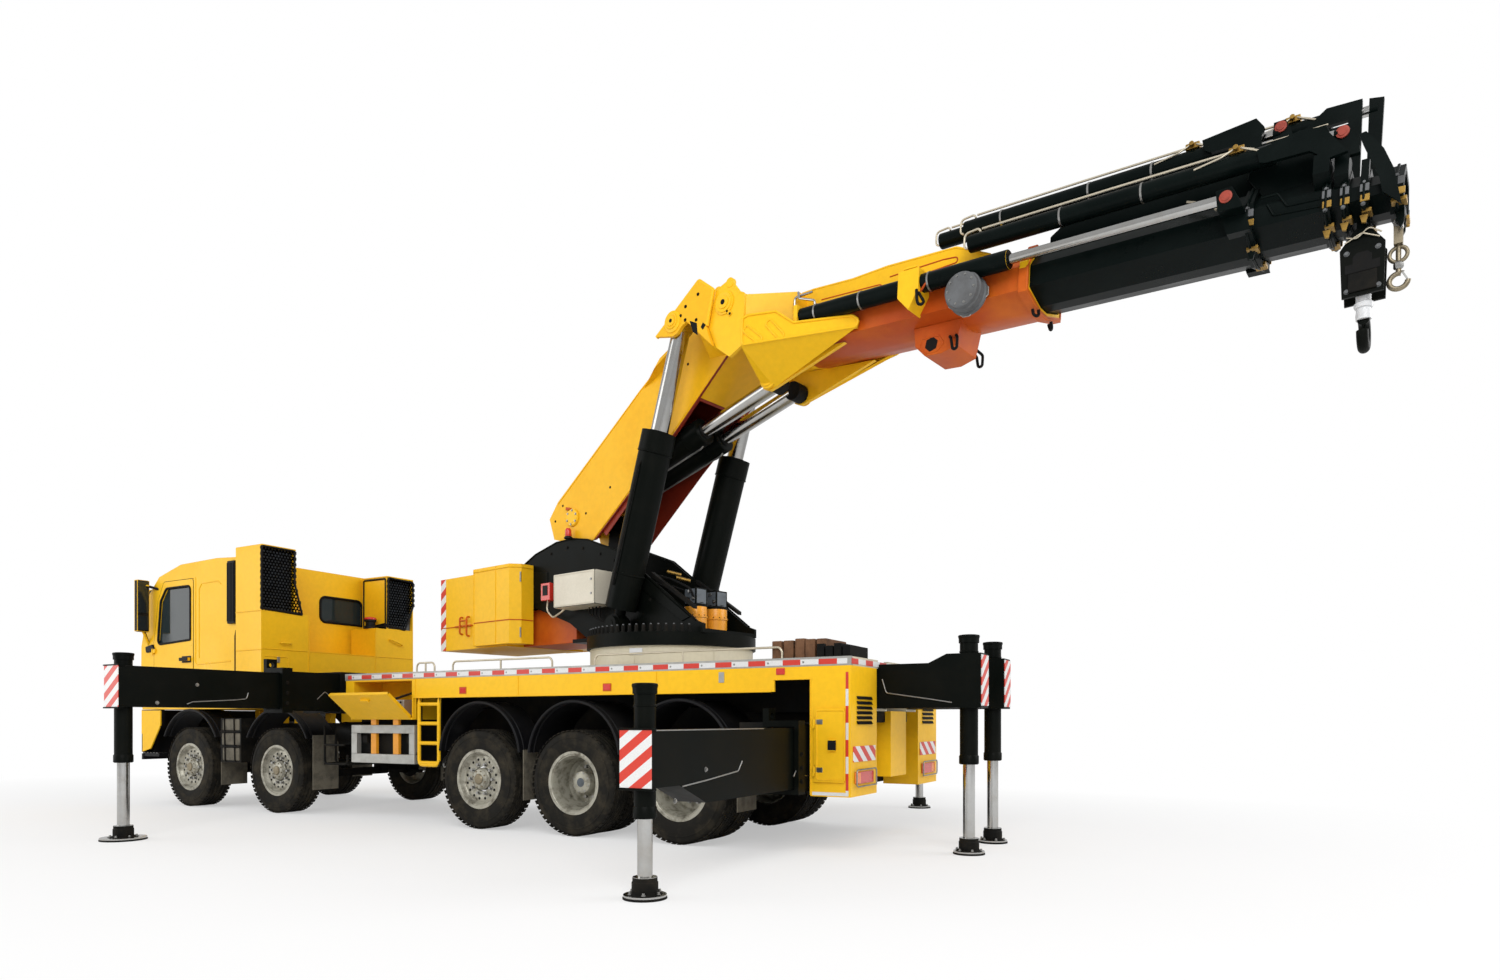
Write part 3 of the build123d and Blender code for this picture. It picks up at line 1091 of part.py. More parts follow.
def build():
    nodes = {
        "chassis_frame": chassis_frame(),
        "engine": engine(),
        "deck": deck(),
        "body_sides": body_sides(),
        "panel_flap": panel_flap(),
        "locker_door": locker_door(),
        "mudguards": mudguards(),
        "cab_shell": cab_shell(),
        "bumper": bumper(),
        "cab_door_left": cab_door(1),
        "cab_door_right": cab_door(-1),
        "cab_interior": cab_interior(),
        "towers": towers(),
        "side_gear": side_gear(),
        "pedestal": pedestal(),
    }
    for number, (station, steered, twin, driven) in enumerate(axles, 1):
        left = wheel(station, twin)
        nodes[f"wheel_{number}_left"] = left
        nodes[f"wheel_{number}_right"] = mirror(left, about=Plane.XZ)
        if steered:
            left = knuckle(station)
            nodes[f"knuckle_{number}_left"] = left
            nodes[f"knuckle_{number}_right"] = mirror(left, about=Plane.XZ)
    for name, rig in (("front", front_rig), ("rear", rear_rig)):
        for side, word, x in zip((1, -1), ("left", "right"), rig["x"]):
            pieces = {"beam": rig_first(rig, x), "arm": rig_second(rig, x), "leg": leg(x, rig["reach"], rig)}
            for piece, shape in pieces.items():
                nodes[f"{name}_{piece}_{word}"] = shape if side == 1 else mirror(shape, about=Plane.XZ)
    for side, word in ((1, "left"), (-1, "right")):
        nodes[f"tail_beam_{word}"] = tail_beam(side)
        nodes[f"tail_leg_{word}"] = leg(tail_rig["reach"], side * tail_rig["y"], tail_rig)
    upper = {
        "turntable": turntable(),
        "counterweight": counterweight(),
        "main_boom": main_boom(),
        "lift_barrels": cylinder_barrels(lift_base, lift_eye, lift_cyl),
        "lift_rods": cylinder_rods(lift_base, lift_eye, lift_cyl),
        "fold_barrels": cylinder_barrels(fold_base, fold_eye, fold_cyl),
        "fold_rods": cylinder_rods(fold_base, fold_eye, fold_cyl),
        "outer_boom": outer_frame() * outer_boom(),
        "hook_block": hook_block(),
        "tip_hook": tip_hook(),
    }
    for level in range(1, len(stages) + 1):
        upper[f"stage_{level}"] = outer_frame() * stage(level)
    for name, shape in upper.items():
        nodes[name] = [UPPER * s for s in shape] if isinstance(shape, list) else UPPER * shape
    return nodes


def solids_of(shape):
    found = []
    for item in (shape if isinstance(shape, list) else [shape]):
        found.extend(item.solids())
    return found


def export(nodes):
    os.makedirs("parts", exist_ok=True)
    for name, shape in nodes.items():
        solids = [HOME * s for s in solids_of(shape)]
        export_step(solids[0] if len(solids) == 1 else Compound(solids), f"parts/{name}.step")


if __name__ == "__main__":
    export(build())
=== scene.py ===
import bpy
import bmesh
import json
import math
import random
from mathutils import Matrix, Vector


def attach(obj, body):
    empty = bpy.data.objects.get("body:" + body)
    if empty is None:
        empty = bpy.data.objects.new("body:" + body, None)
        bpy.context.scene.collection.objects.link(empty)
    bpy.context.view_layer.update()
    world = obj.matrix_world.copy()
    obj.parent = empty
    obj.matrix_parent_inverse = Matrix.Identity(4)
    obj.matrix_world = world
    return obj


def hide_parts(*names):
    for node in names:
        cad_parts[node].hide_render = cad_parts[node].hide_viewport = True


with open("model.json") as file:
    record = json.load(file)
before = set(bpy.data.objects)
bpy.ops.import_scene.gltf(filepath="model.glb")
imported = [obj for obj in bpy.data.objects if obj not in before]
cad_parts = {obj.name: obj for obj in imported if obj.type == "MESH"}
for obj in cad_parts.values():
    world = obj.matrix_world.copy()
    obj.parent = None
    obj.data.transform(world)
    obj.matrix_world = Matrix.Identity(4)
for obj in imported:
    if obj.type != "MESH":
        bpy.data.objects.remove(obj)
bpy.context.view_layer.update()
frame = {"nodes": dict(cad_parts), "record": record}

# ---------------------------------------------------------------- sizes shared with the solids, in metres
SHIFT = 6.36224           # from the first axle to the middle of the machine
LIFT = 0.05               # from the datum to the ground
SLEW_X = -7.37            # slewing axis, forward of the first axle
SLEW_COS, SLEW_SIN = math.cos(math.radians(170.0)), math.sin(math.radians(170.0))
KNUCKLE = (1.41, 5.29)    # knuckle pin: along the boom from the slewing axis, and up
TILT_COS, TILT_SIN = math.cos(math.radians(3.0)), math.sin(math.radians(3.0))
HALF = 1.25               # half the body width
# each axle: forward of the first one, number, twin tyres
AXLES = [(0.0, 1, False), (-1.97, 2, False), (-5.6, 3, False), (-6.95, 4, True), (-8.27, 5, True)]
TYRE_W, RIM_R, WHEEL_Z = 0.31, 0.312, 0.512   # tyre width, rim radius, height of the wheel centres
DECK_FRONT, DECK_REAR, DECK_TOP = -3.35, -10.09, 1.74
SIDES = (("left", 1), ("right", -1))


# ---------------------------------------------------------------- places
def carrier(x, y, z):
    """A point of the carrier: forward of the first axle, to the left, up."""
    return Vector((x + SHIFT, y, z + LIFT))


def upper(r, w, h):
    """A point of the superstructure: along the boom from the slewing axis, to the operator's side, up."""
    return Vector((SHIFT + SLEW_X + r * SLEW_COS + w * SLEW_SIN, r * SLEW_SIN - w * SLEW_COS, h + LIFT))


def outer(x, w, z):
    """A point of the outer boom: along it from the knuckle pin, towards the operator's side, square to it."""
    return upper(KNUCKLE[0] + x * TILT_COS + z * TILT_SIN, w, KNUCKLE[1] - x * TILT_SIN + z * TILT_COS)


# ---------------------------------------------------------------- node trees
def node(tree, kind, feeds=None, **settings):
    """One node, its settings, and what goes into each input."""
    made = tree.nodes.new(kind)
    for key, value in settings.items():
        setattr(made, key, value)
    for key, value in (feeds or {}).items():
        if isinstance(value, bpy.types.NodeSocket):
            tree.links.new(value, made.inputs[key])
        else:
            made.inputs[key].default_value = value
    return made


def shader(name, rough, metal=0.0, coat=0.0, colour=(0.8, 0.8, 0.8), shine=0.3):
    """New material with one shader, and that shader."""
    mat = bpy.data.materials.new(name)
    mat.use_nodes = True
    out = mat.node_tree.nodes["Principled BSDF"]
    for key, value in (("Base Color", (*colour, 1.0)), ("Roughness", rough), ("Metallic", metal),
                       ("Coat Weight", coat), ("Coat Roughness", 0.06), ("Specular IOR Level", shine)):
        out.inputs[key].default_value = value
    return mat, out


def mixed(tree, share, low, high):
    """Colour between two colours or sockets."""
    colours = [value if isinstance(value, bpy.types.NodeSocket) else (*value, 1.0) for value in (low, high)]
    return node(tree, "ShaderNodeMix", {0: share, 6: colours[0], 7: colours[1]}, data_type="RGBA").outputs[2]


def stepped(tree, value, low, high, first=0.0, last=1.0):
    """A value between low and high brought to between first and last."""
    return node(tree, "ShaderNodeMapRange", {0: value, 1: low, 2: high, 3: first, 4: last}).outputs[0]


def weathered(name, colour, dirt, rough, metal=0.0, coat=0.0, scale=3.0, amount=0.35, bump=0.0,
              bump_scale=60.0, shine=0.3):
    """Paint or metal whose colour and gloss wander with grime."""
    mat, out = shader(name, rough, metal, coat, shine=shine)
    tree = mat.node_tree
    place = node(tree, "ShaderNodeTexCoord").outputs["Object"]
    cloud = node(tree, "ShaderNodeTexNoise", {"Vector": place, "Scale": scale, "Detail": 6.0,
                                              "Roughness": 0.62}).outputs[0]
    fleck = node(tree, "ShaderNodeTexNoise", {"Vector": place, "Scale": scale * 14.0,
                                              "Detail": 3.0}).outputs[0]
    base = mixed(tree, stepped(tree, fleck, 0.35, 0.7), [c * 0.97 for c in colour],
                 [min(1.0, c * 1.03) for c in colour])
    tint = mixed(tree, stepped(tree, cloud, 0.45, 0.75, 0.0, amount), base, dirt)
    tree.links.new(tint, out.inputs["Base Color"])
    tree.links.new(stepped(tree, cloud, 0.3, 0.8, rough * 0.8, min(1.0, rough * 1.4)),
                   out.inputs["Roughness"])
    if bump:
        grain = node(tree, "ShaderNodeTexNoise", {"Vector": place, "Scale": bump_scale,
                                                  "Detail": 3.0}).outputs[0]
        height = node(tree, "ShaderNodeBump", {"Height": grain, "Strength": bump,
                                               "Distance": 0.004}).outputs[0]
        tree.links.new(height, out.inputs["Normal"])
    return mat


def banded(name, slant, period, first, second):
    """Tape in even bands of two colours across a direction."""
    mat, out = shader(name, 0.35, coat=0.2)
    tree = mat.node_tree
    place = node(tree, "ShaderNodeTexCoord").outputs["Object"]
    along = node(tree, "ShaderNodeVectorMath", {0: place, 1: [s / period for s in slant]},
                 operation="DOT_PRODUCT").outputs["Value"]
    moved = node(tree, "ShaderNodeMath", {0: along, 1: 100.0}, operation="ADD").outputs[0]
    part = node(tree, "ShaderNodeMath", {0: moved}, operation="FRACT").outputs[0]
    band = node(tree, "ShaderNodeMath", {0: part, 1: 0.5}, operation="GREATER_THAN").outputs[0]
    cells = node(tree, "ShaderNodeTexVoronoi", {"Vector": place, "Scale": 260.0}).outputs[0]
    glint = stepped(tree, cells, 0.0, 0.7, 0.75, 1.0)
    colour = mixed(tree, band, first, second)
    shade = node(tree, "ShaderNodeMix", {0: 1.0, 6: colour, 7: glint}, data_type="RGBA",
                 blend_type="MULTIPLY").outputs[2]
    tree.links.new(shade, out.inputs["Base Color"])
    return mat


def edge_tape(name, slant, period):
    """Red and silver reflective tape."""
    return banded(name, slant, period, (0.62, 0.045, 0.03), (0.72, 0.72, 0.71))


def warning(name, slant, period=0.155):
    """Red and white warning stripes."""
    return banded(name, slant, period, (0.66, 0.05, 0.03), (0.78, 0.78, 0.77))


# ---------------------------------------------------------------- finishes
YELLOW = weathered("crane_yellow", (0.88, 0.5, 0.012), (0.68, 0.33, 0.01), 0.34, scale=1.3, amount=0.22,
                   shine=0.2)
BOOM_YELLOW = weathered("boom_yellow", (0.86, 0.46, 0.01), (0.7, 0.28, 0.01), 0.36, scale=1.1, amount=0.35,
                        shine=0.16)
# red-orange; on the outer boom's base tube, its mouth collar and lip it is painted shade of the yellow paint
ORANGE = weathered("boom_orange", (0.46, 0.07, 0.009), (0.8, 0.23, 0.01), 0.36, scale=1.1, amount=0.5,
                   shine=0.16)
# dark red that stands for the shade under the main boom and inside its open head: painted shade
PAINTED_SHADE_RED = weathered("boom_painted_shade", (0.24, 0.022, 0.008), (0.07, 0.01, 0.006), 0.5, scale=3.0, amount=0.5)
BLACK = weathered("beam_black", (0.003, 0.004, 0.0032), (0.012, 0.011, 0.008), 0.36, scale=2.2, amount=0.35,
                  shine=0.05)
STAGE_BLACK = weathered("stage_black", (0.002, 0.0042, 0.0038), (0.006, 0.01, 0.009), 0.3, scale=2.6,
                        amount=0.4, shine=0.06)
CHASSIS = weathered("chassis_black", (0.006, 0.006, 0.0055), (0.034, 0.028, 0.02), 0.6, scale=4.0, amount=0.5,
                    bump=0.25, shine=0.08)
BEIGE = weathered("ring_beige", (0.6, 0.55, 0.42), (0.4, 0.35, 0.26), 0.42, scale=2.0, amount=0.3)
CREAM = weathered("box_cream", (0.66, 0.61, 0.5), (0.5, 0.45, 0.35), 0.4, scale=3.0, amount=0.3, bump=0.1,
                  bump_scale=300.0)
CHROME = weathered("rod_chrome", (0.46, 0.46, 0.45), (0.3, 0.26, 0.2), 0.14, metal=1.0, scale=6.0,
                   amount=0.35)
STEEL = weathered("bare_steel", (0.34, 0.34, 0.33), (0.18, 0.165, 0.14), 0.36, metal=1.0, scale=20.0,
                  amount=0.5)
GALVANISED = weathered("strip_silver", (0.4, 0.4, 0.375), (0.24, 0.23, 0.2), 0.42, metal=0.6, scale=9.0,
                       amount=0.4, bump=0.1)
RIM_SILVER = weathered("rim_silver", (0.4, 0.385, 0.32), (0.06, 0.048, 0.03), 0.45, metal=0.5, scale=11.0,
                       amount=0.95, bump=0.12)
BRASS = weathered("pad_brass", (0.3, 0.18, 0.04), (0.1, 0.06, 0.02), 0.42, metal=0.8, scale=14.0, amount=0.5)
RAIL = weathered("rail_champagne", (0.58, 0.52, 0.4), (0.36, 0.31, 0.23), 0.35, metal=0.5, scale=8.0,
                 amount=0.4)
RUBBER = weathered("tyre_rubber", (0.012, 0.011, 0.009), (0.06, 0.05, 0.034), 0.82, scale=7.0, amount=0.7,
                   bump=0.3, shine=0.12)
SEAL = weathered("seal_rubber", (0.005, 0.005, 0.005), (0.018, 0.016, 0.014), 0.6, scale=12.0, amount=0.4,
                 bump=0.1, shine=0.12)
MUD = weathered("strapped_mud", (0.13, 0.115, 0.085), (0.035, 0.033, 0.03), 0.85, scale=9.0, amount=0.8,
                bump=0.6, bump_scale=45.0)
PLASTIC = weathered("black_plastic", (0.006, 0.006, 0.007), (0.028, 0.025, 0.02), 0.5, scale=3.0, amount=0.4,
                    bump=0.15, bump_scale=220.0, shine=0.15)
SEAT = weathered("seat_cloth", (0.05, 0.05, 0.055), (0.09, 0.085, 0.08), 0.9, scale=6.0, amount=0.5, bump=0.5,
                 bump_scale=400.0)
IRON = weathered("block_iron", (0.12, 0.125, 0.13), (0.05, 0.045, 0.04), 0.7, scale=5.0, amount=0.6, bump=0.4)
MOTOR = weathered("motor_grey", (0.11, 0.125, 0.14), (0.04, 0.045, 0.05), 0.45, metal=0.3, scale=8.0,
                  amount=0.5, bump=0.2)
GEARBOX = weathered("gearbox_yellow", (0.8, 0.33, 0.02), (0.45, 0.16, 0.02), 0.36, coat=0.2, scale=5.0,
                    amount=0.4)
RED = weathered("lamp_red", (0.6, 0.035, 0.022), (0.38, 0.02, 0.015), 0.22, coat=0.6, scale=40.0, amount=0.5)
AMBER = weathered("lamp_amber", (0.85, 0.22, 0.02), (0.6, 0.12, 0.01), 0.2, coat=0.6, scale=40.0, amount=0.5)
LENS = weathered("lamp_clear", (0.7, 0.72, 0.74), (0.45, 0.47, 0.5), 0.12, metal=0.3, coat=0.6, scale=60.0,
                 amount=0.6)
MIRROR = weathered("mirror_glass", (0.05, 0.06, 0.065), (0.03, 0.035, 0.04), 0.12, metal=0.7, scale=2.0,
                   amount=0.4)
SCREEN = weathered("screen_glass", (0.008, 0.01, 0.012), (0.02, 0.022, 0.025), 0.08, coat=0.8, scale=4.0,
                   amount=0.5)
BROWN = weathered("stacked_timber", (0.16, 0.075, 0.035), (0.05, 0.03, 0.02), 0.75, scale=11.0, amount=0.7,
                  bump=0.5, bump_scale=90.0)
FORGED = weathered("forged_hook", (0.26, 0.22, 0.15), (0.1, 0.08, 0.05), 0.4, metal=0.8, scale=16.0,
                   amount=0.6)
PIN_RED = weathered("pin_red", (0.33, 0.05, 0.03), (0.12, 0.03, 0.02), 0.5, scale=30.0, amount=0.6)
WHITE = weathered("hook_white", (0.66, 0.67, 0.68), (0.42, 0.42, 0.42), 0.38, coat=0.2, scale=12.0,
                  amount=0.4)
TAPE = edge_tape("edge_tape", (1.0, 0.0, 0.0), 0.36)
END_STRIPES = warning("end_stripes", (0.72, 0.0, 1.0))
REAR_STRIPES = warning("rear_stripes", (0.0, 0.72, -1.0))


def glazing():
    """Dark tinted glass that mirrors the sky and lets some of the cab show."""
    mat, out = shader("cab_glass", 0.04, colour=(0.1, 0.13, 0.135))
    tree = mat.node_tree
    place = node(tree, "ShaderNodeTexCoord").outputs["Object"]
    haze = node(tree, "ShaderNodeTexNoise", {"Vector": place, "Scale": 2.0, "Detail": 3.0}).outputs[0]
    tree.links.new(mixed(tree, haze, (0.01, 0.016, 0.017), (0.03, 0.042, 0.044)), out.inputs["Base Color"])
    tree.links.new(stepped(tree, haze, 0.2, 0.8, 0.02, 0.09), out.inputs["Roughness"])
    out.inputs["Transmission Weight"].default_value = 0.06
    out.inputs["IOR"].default_value = 1.45
    return mat


GLASS = glazing()
BY_SLOT = {"yellow_paint": YELLOW, "black_paint": BLACK, "beige_paint": BEIGE, "chrome_rods": CHROME,
           "tyre_rubber": RUBBER, "trim_plastic": PLASTIC, "chassis_paint": CHASSIS, "engine_iron": IRON}
BY_NODE = {"cab_interior": SEAT, "tip_hook": FORGED, "main_boom": BOOM_YELLOW, "outer_boom": YELLOW,
           "stage_1": STAGE_BLACK, "stage_2": STAGE_BLACK, "stage_3": STAGE_BLACK, "stage_4": STAGE_BLACK,
           "stage_5": STAGE_BLACK}
slots = {row["node"]: row["material_slot"] for row in frame["record"]["subparts"]}
for node_name, solid in frame["nodes"].items():
    solid.data.materials.clear()
    solid.data.materials.append(BY_NODE.get(node_name, BY_SLOT[slots[node_name]]))


# ---------------------------------------------------------------- trees that repeat a shape or follow a path
def new_tree(name, inputs):
    """Empty tree with its named inputs, a Material last."""
    tree = bpy.data.node_groups.new(name, "GeometryNodeTree")
    face = tree.interface
    face.new_socket("Geometry", in_out="INPUT", socket_type="NodeSocketGeometry")
    for label, kind, value in inputs:
        face.new_socket(label, in_out="INPUT", socket_type="NodeSocket" + kind).default_value = value
    face.new_socket("Material", in_out="INPUT", socket_type="NodeSocketMaterial")
    face.new_socket("Geometry", in_out="OUTPUT", socket_type="NodeSocketGeometry")
    return tree, tree.nodes.new("NodeGroupInput").outputs, tree.nodes.new("NodeGroupOutput").inputs


def close_tree(tree, given, result, shape, smooth=False):
    """End a tree: real geometry, its shading and its material."""
    real = node(tree, "GeometryNodeRealizeInstances", {"Geometry": shape}).outputs[0]
    soft = node(tree, "GeometryNodeSetShadeSmooth", {"Geometry": real, "Shade Smooth": smooth}).outputs[0]
    done = node(tree, "GeometryNodeSetMaterial", {"Geometry": soft, "Material": given["Material"]}).outputs[0]
    tree.links.new(done, result["Geometry"])
    return tree


def turned_to(tree, second=False):
    """Rotation from the points' own aim, and their along where a second axis matters."""
    aim = node(tree, "GeometryNodeInputNamedAttribute", {"Name": "aim"}, data_type="FLOAT_VECTOR").outputs[0]
    if not second:
        return node(tree, "FunctionNodeAlignRotationToVector", {"Vector": aim}, axis="Z").outputs[0]
    along = node(tree, "GeometryNodeInputNamedAttribute", {"Name": "along"},
                 data_type="FLOAT_VECTOR").outputs[0]
    return node(tree, "FunctionNodeAxesToRotation", {0: aim, 1: along}, primary_axis="Z",
                secondary_axis="X").outputs[0]


def studs_tree():
    """Bolt heads on washers, standing on each point along its aim."""
    tree, given, result = new_tree("bolt_heads", [("Radius", "Float", 0.012), ("Height", "Float", 0.012),
                                                  ("Sides", "Int", 6), ("Washer", "Float", 1.5)])
    half = node(tree, "ShaderNodeMath", {0: given["Height"], 1: 0.5}, operation="MULTIPLY").outputs[0]
    up = node(tree, "ShaderNodeCombineXYZ", {"Z": half}).outputs[0]
    head = node(tree, "GeometryNodeMeshCylinder", {"Vertices": given["Sides"], "Radius": given["Radius"],
                                                   "Depth": given["Height"]}).outputs[0]
    raised = node(tree, "GeometryNodeTransform", {"Geometry": head, "Translation": up}).outputs[0]
    wide = node(tree, "ShaderNodeMath", {0: given["Radius"], 1: given["Washer"]},
                operation="MULTIPLY").outputs[0]
    thin = node(tree, "ShaderNodeMath", {0: given["Height"], 1: 0.3}, operation="MULTIPLY").outputs[0]
    washer = node(tree, "GeometryNodeMeshCylinder",
                  {"Vertices": 12, "Radius": wide, "Depth": thin}).outputs[0]
    joined = node(tree, "GeometryNodeJoinGeometry")
    tree.links.new(raised, joined.inputs[0])
    tree.links.new(washer, joined.inputs[0])
    placed = node(tree, "GeometryNodeInstanceOnPoints",
                  {"Points": given["Geometry"], "Instance": joined.outputs[0],
                   "Rotation": turned_to(tree)}).outputs[0]
    return close_tree(tree, given, result, placed)


def bars_tree():
    """Blocks of one size, each with its length along its point's along and its height along the aim."""
    tree, given, result = new_tree("bars", [("Length", "Float", 0.1), ("Width", "Float", 0.02),
                                            ("Height", "Float", 0.01)])
    size = node(tree, "ShaderNodeCombineXYZ", {"X": given["Length"], "Y": given["Width"],
                                               "Z": given["Height"]}).outputs[0]
    block = node(tree, "GeometryNodeMeshCube", {"Size": size}).outputs[0]
    placed = node(tree, "GeometryNodeInstanceOnPoints",
                  {"Points": given["Geometry"], "Instance": block,
                   "Rotation": turned_to(tree, True)}).outputs[0]
    return close_tree(tree, given, result, placed)


def pipes_tree():
    """Round pipe along each run of edges, with bent corners."""
    tree, given, result = new_tree("bent_pipes", [("Radius", "Float", 0.01), ("Bend", "Float", 0.04),
                                                  ("Sides", "Int", 12)])
    run = node(tree, "GeometryNodeMeshToCurve", {"Mesh": given["Geometry"]}).outputs[0]
    fillet = node(tree, "GeometryNodeFilletCurve")
    names = {socket.name: socket for socket in fillet.inputs}
    if "Mode" in names:
        names["Mode"].default_value = "Poly"
    else:
        fillet.mode = "POLY"
    names["Count"].default_value = 6
    names["Limit Radius"].default_value = True
    tree.links.new(run, names["Curve"])
    tree.links.new(given["Bend"], names["Radius"])
    ring = node(tree, "GeometryNodeCurvePrimitiveCircle",
                {"Resolution": given["Sides"], "Radius": given["Radius"]}).outputs[0]
    tube = node(tree, "GeometryNodeCurveToMesh", {"Curve": fillet.outputs[0], "Profile Curve": ring,
                                                  "Fill Caps": True}).outputs[0]
    return close_tree(tree, given, result, tube, smooth=True)


def mesh_tree():
    """Perforated sheet: a hexagonal frame on each point, flat to its aim."""
    tree, given, result = new_tree("perforated_sheet",
                                   [("Cell", "Float", 0.03), ("Web", "Float", 0.008),
                                    ("Thick", "Float", 0.003)])
    ring = node(tree, "GeometryNodeCurvePrimitiveCircle",
                {"Resolution": 6, "Radius": given["Cell"]}).outputs[0]
    web = node(tree, "GeometryNodeCurvePrimitiveQuadrilateral",
               {"Width": given["Web"], "Height": given["Thick"]}).outputs[0]
    cell = node(tree, "GeometryNodeCurveToMesh", {"Curve": ring, "Profile Curve": web}).outputs[0]
    placed = node(tree, "GeometryNodeInstanceOnPoints",
                  {"Points": given["Geometry"], "Instance": cell,
                   "Rotation": turned_to(tree, True)}).outputs[0]
    return close_tree(tree, given, result, placed)


STUDS, BARS, PIPES, MESH = studs_tree(), bars_tree(), pipes_tree(), mesh_tree()
AHEAD, ACROSS, UP = (1, 0, 0), (0, 1, 0), (0, 0, 1)


class Bench:
    """Where pieces are made: on one body, in one system of places, on one side, with one ending for names."""

    def __init__(self, body="carrier", place=carrier, side=1, tail=""):
        self.body, self.side, self.tail = body, side, tail
        self.place = place if side > 0 else lambda along, across, up: place(along, -across, up)

    def ways(self, rows, aims):
        """Directions in the machine's frame; aims is one direction, or one for each row."""
        aims = aims if isinstance(aims, list) else [aims] * len(rows)
        return [self.place(*(Vector(p) + Vector(a))) - self.place(*p) for p, a in zip(rows, aims)]

    def grow(self, name, tree, finish, rows, aims=(), alongs=(), edges=(), **sizes):
        """Run a tree on a list of places, and keep the result as one plain mesh."""
        base = bpy.data.meshes.new(name + self.tail)
        base.from_pydata([tuple(self.place(*p)) for p in rows], edges, [])
        for label, vectors in (("aim", aims), ("along", alongs)):
            if vectors:
                store = base.attributes.new(label, "FLOAT_VECTOR", "POINT")
                store.data.foreach_set("vector", [c for v in vectors for c in v])
        thing = bpy.data.objects.new(name + self.tail, base)
        bpy.context.scene.collection.objects.link(thing)
        grown = thing.modifiers.new("grown", "NODES")
        grown.node_group = tree
        for socket in tree.interface.items_tree:
            if socket.in_out == "INPUT" and socket.name in sizes:
                grown[socket.identifier] = sizes[socket.name]
            elif socket.in_out == "INPUT" and socket.name == "Material":
                grown[socket.identifier] = finish
        bpy.context.view_layer.update()
        solid = bpy.data.meshes.new_from_object(thing.evaluated_get(bpy.context.evaluated_depsgraph_get()))
        thing.modifiers.remove(grown)
        thing.data = solid
        if not solid.materials:
            solid.materials.append(finish)
        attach(thing, self.body)

    def studs(self, name, finish, rows, radius, height, aim=ACROSS, **sizes):
        """Bolt heads at a list of places; aim is their direction, or one for each."""
        self.grow(name, STUDS, finish, rows, self.ways(rows, aim), Radius=radius, Height=height, **sizes)

    def bars(self, name, finish, rows, aim, along, length, width, height):
        """Blocks at a list of places; aim and along are one direction, or one for each."""
        self.grow(name, BARS, finish, rows, self.ways(rows, aim), self.ways(rows, along), Length=length,
                  Width=width, Height=height)

    def pipes(self, name, finish, runs, radius, bend=0.04, sides=12):
        """Pipes through lists of corner points."""
        rows, edges = [], []
        for run in runs:
            edges += [(len(rows) + i, len(rows) + i + 1) for i in range(len(run) - 1)]
            rows += run
        self.grow(name, PIPES, finish, rows, edges=edges, Radius=radius, Bend=bend, Sides=sides)

    def perforated(self, name, finish, outline, at, pitch, web):
        """Perforated sheet inside an outline of (across, up), square to the forward axis."""
        rows, row = [], 0
        v = min(p[1] for p in outline)
        while v < max(p[1] for p in outline):
            u = min(p[0] for p in outline) + (pitch / 2 if row % 2 else 0.0)
            while u < max(p[0] for p in outline):
                if inside(u, v, outline):
                    rows.append((at, u, v))
                u += pitch
            v += pitch * 0.866
            row += 1
        self.grow(name, MESH, finish, rows, self.ways(rows, AHEAD), self.ways(rows, UP), Cell=pitch * 0.577,
                  Web=web, Thick=0.003)


def both(body="carrier", place=carrier):
    """A bench for each side, whose pieces are named after it."""
    for name, side in SIDES:
        yield Bench(body, place, side, "_" + name)


def inside(u, v, outline):
    """Whether a place lies within an outline."""
    hit = False
    for (ua, va), (ub, vb) in zip(outline, outline[1:] + outline[:1]):
        if (va > v) != (vb > v) and u < ua + (v - va) * (ub - ua) / (vb - va):
            hit = not hit
    return hit


def closed(run):
    """A run that comes back to its first place."""
    run = list(run)
    return run + run[:1]


def oblong(u0, u1, v0, v1):
    """Corners of a rectangle."""
    return [(u0, v0), (u1, v0), (u1, v1), (u0, v1)]


def at_across(y, outline):
    """Places of an outline of (along, up) at one distance across."""
    return [(x, y, z) for x, z in outline]


def circle(radius, count, start=0.0):
    """Places round a circle, as (cosine, sine) times the radius."""
    turns = [start + 2 * math.pi * i / count for i in range(count)]
    return [(radius * math.cos(t), radius * math.sin(t)) for t in turns]


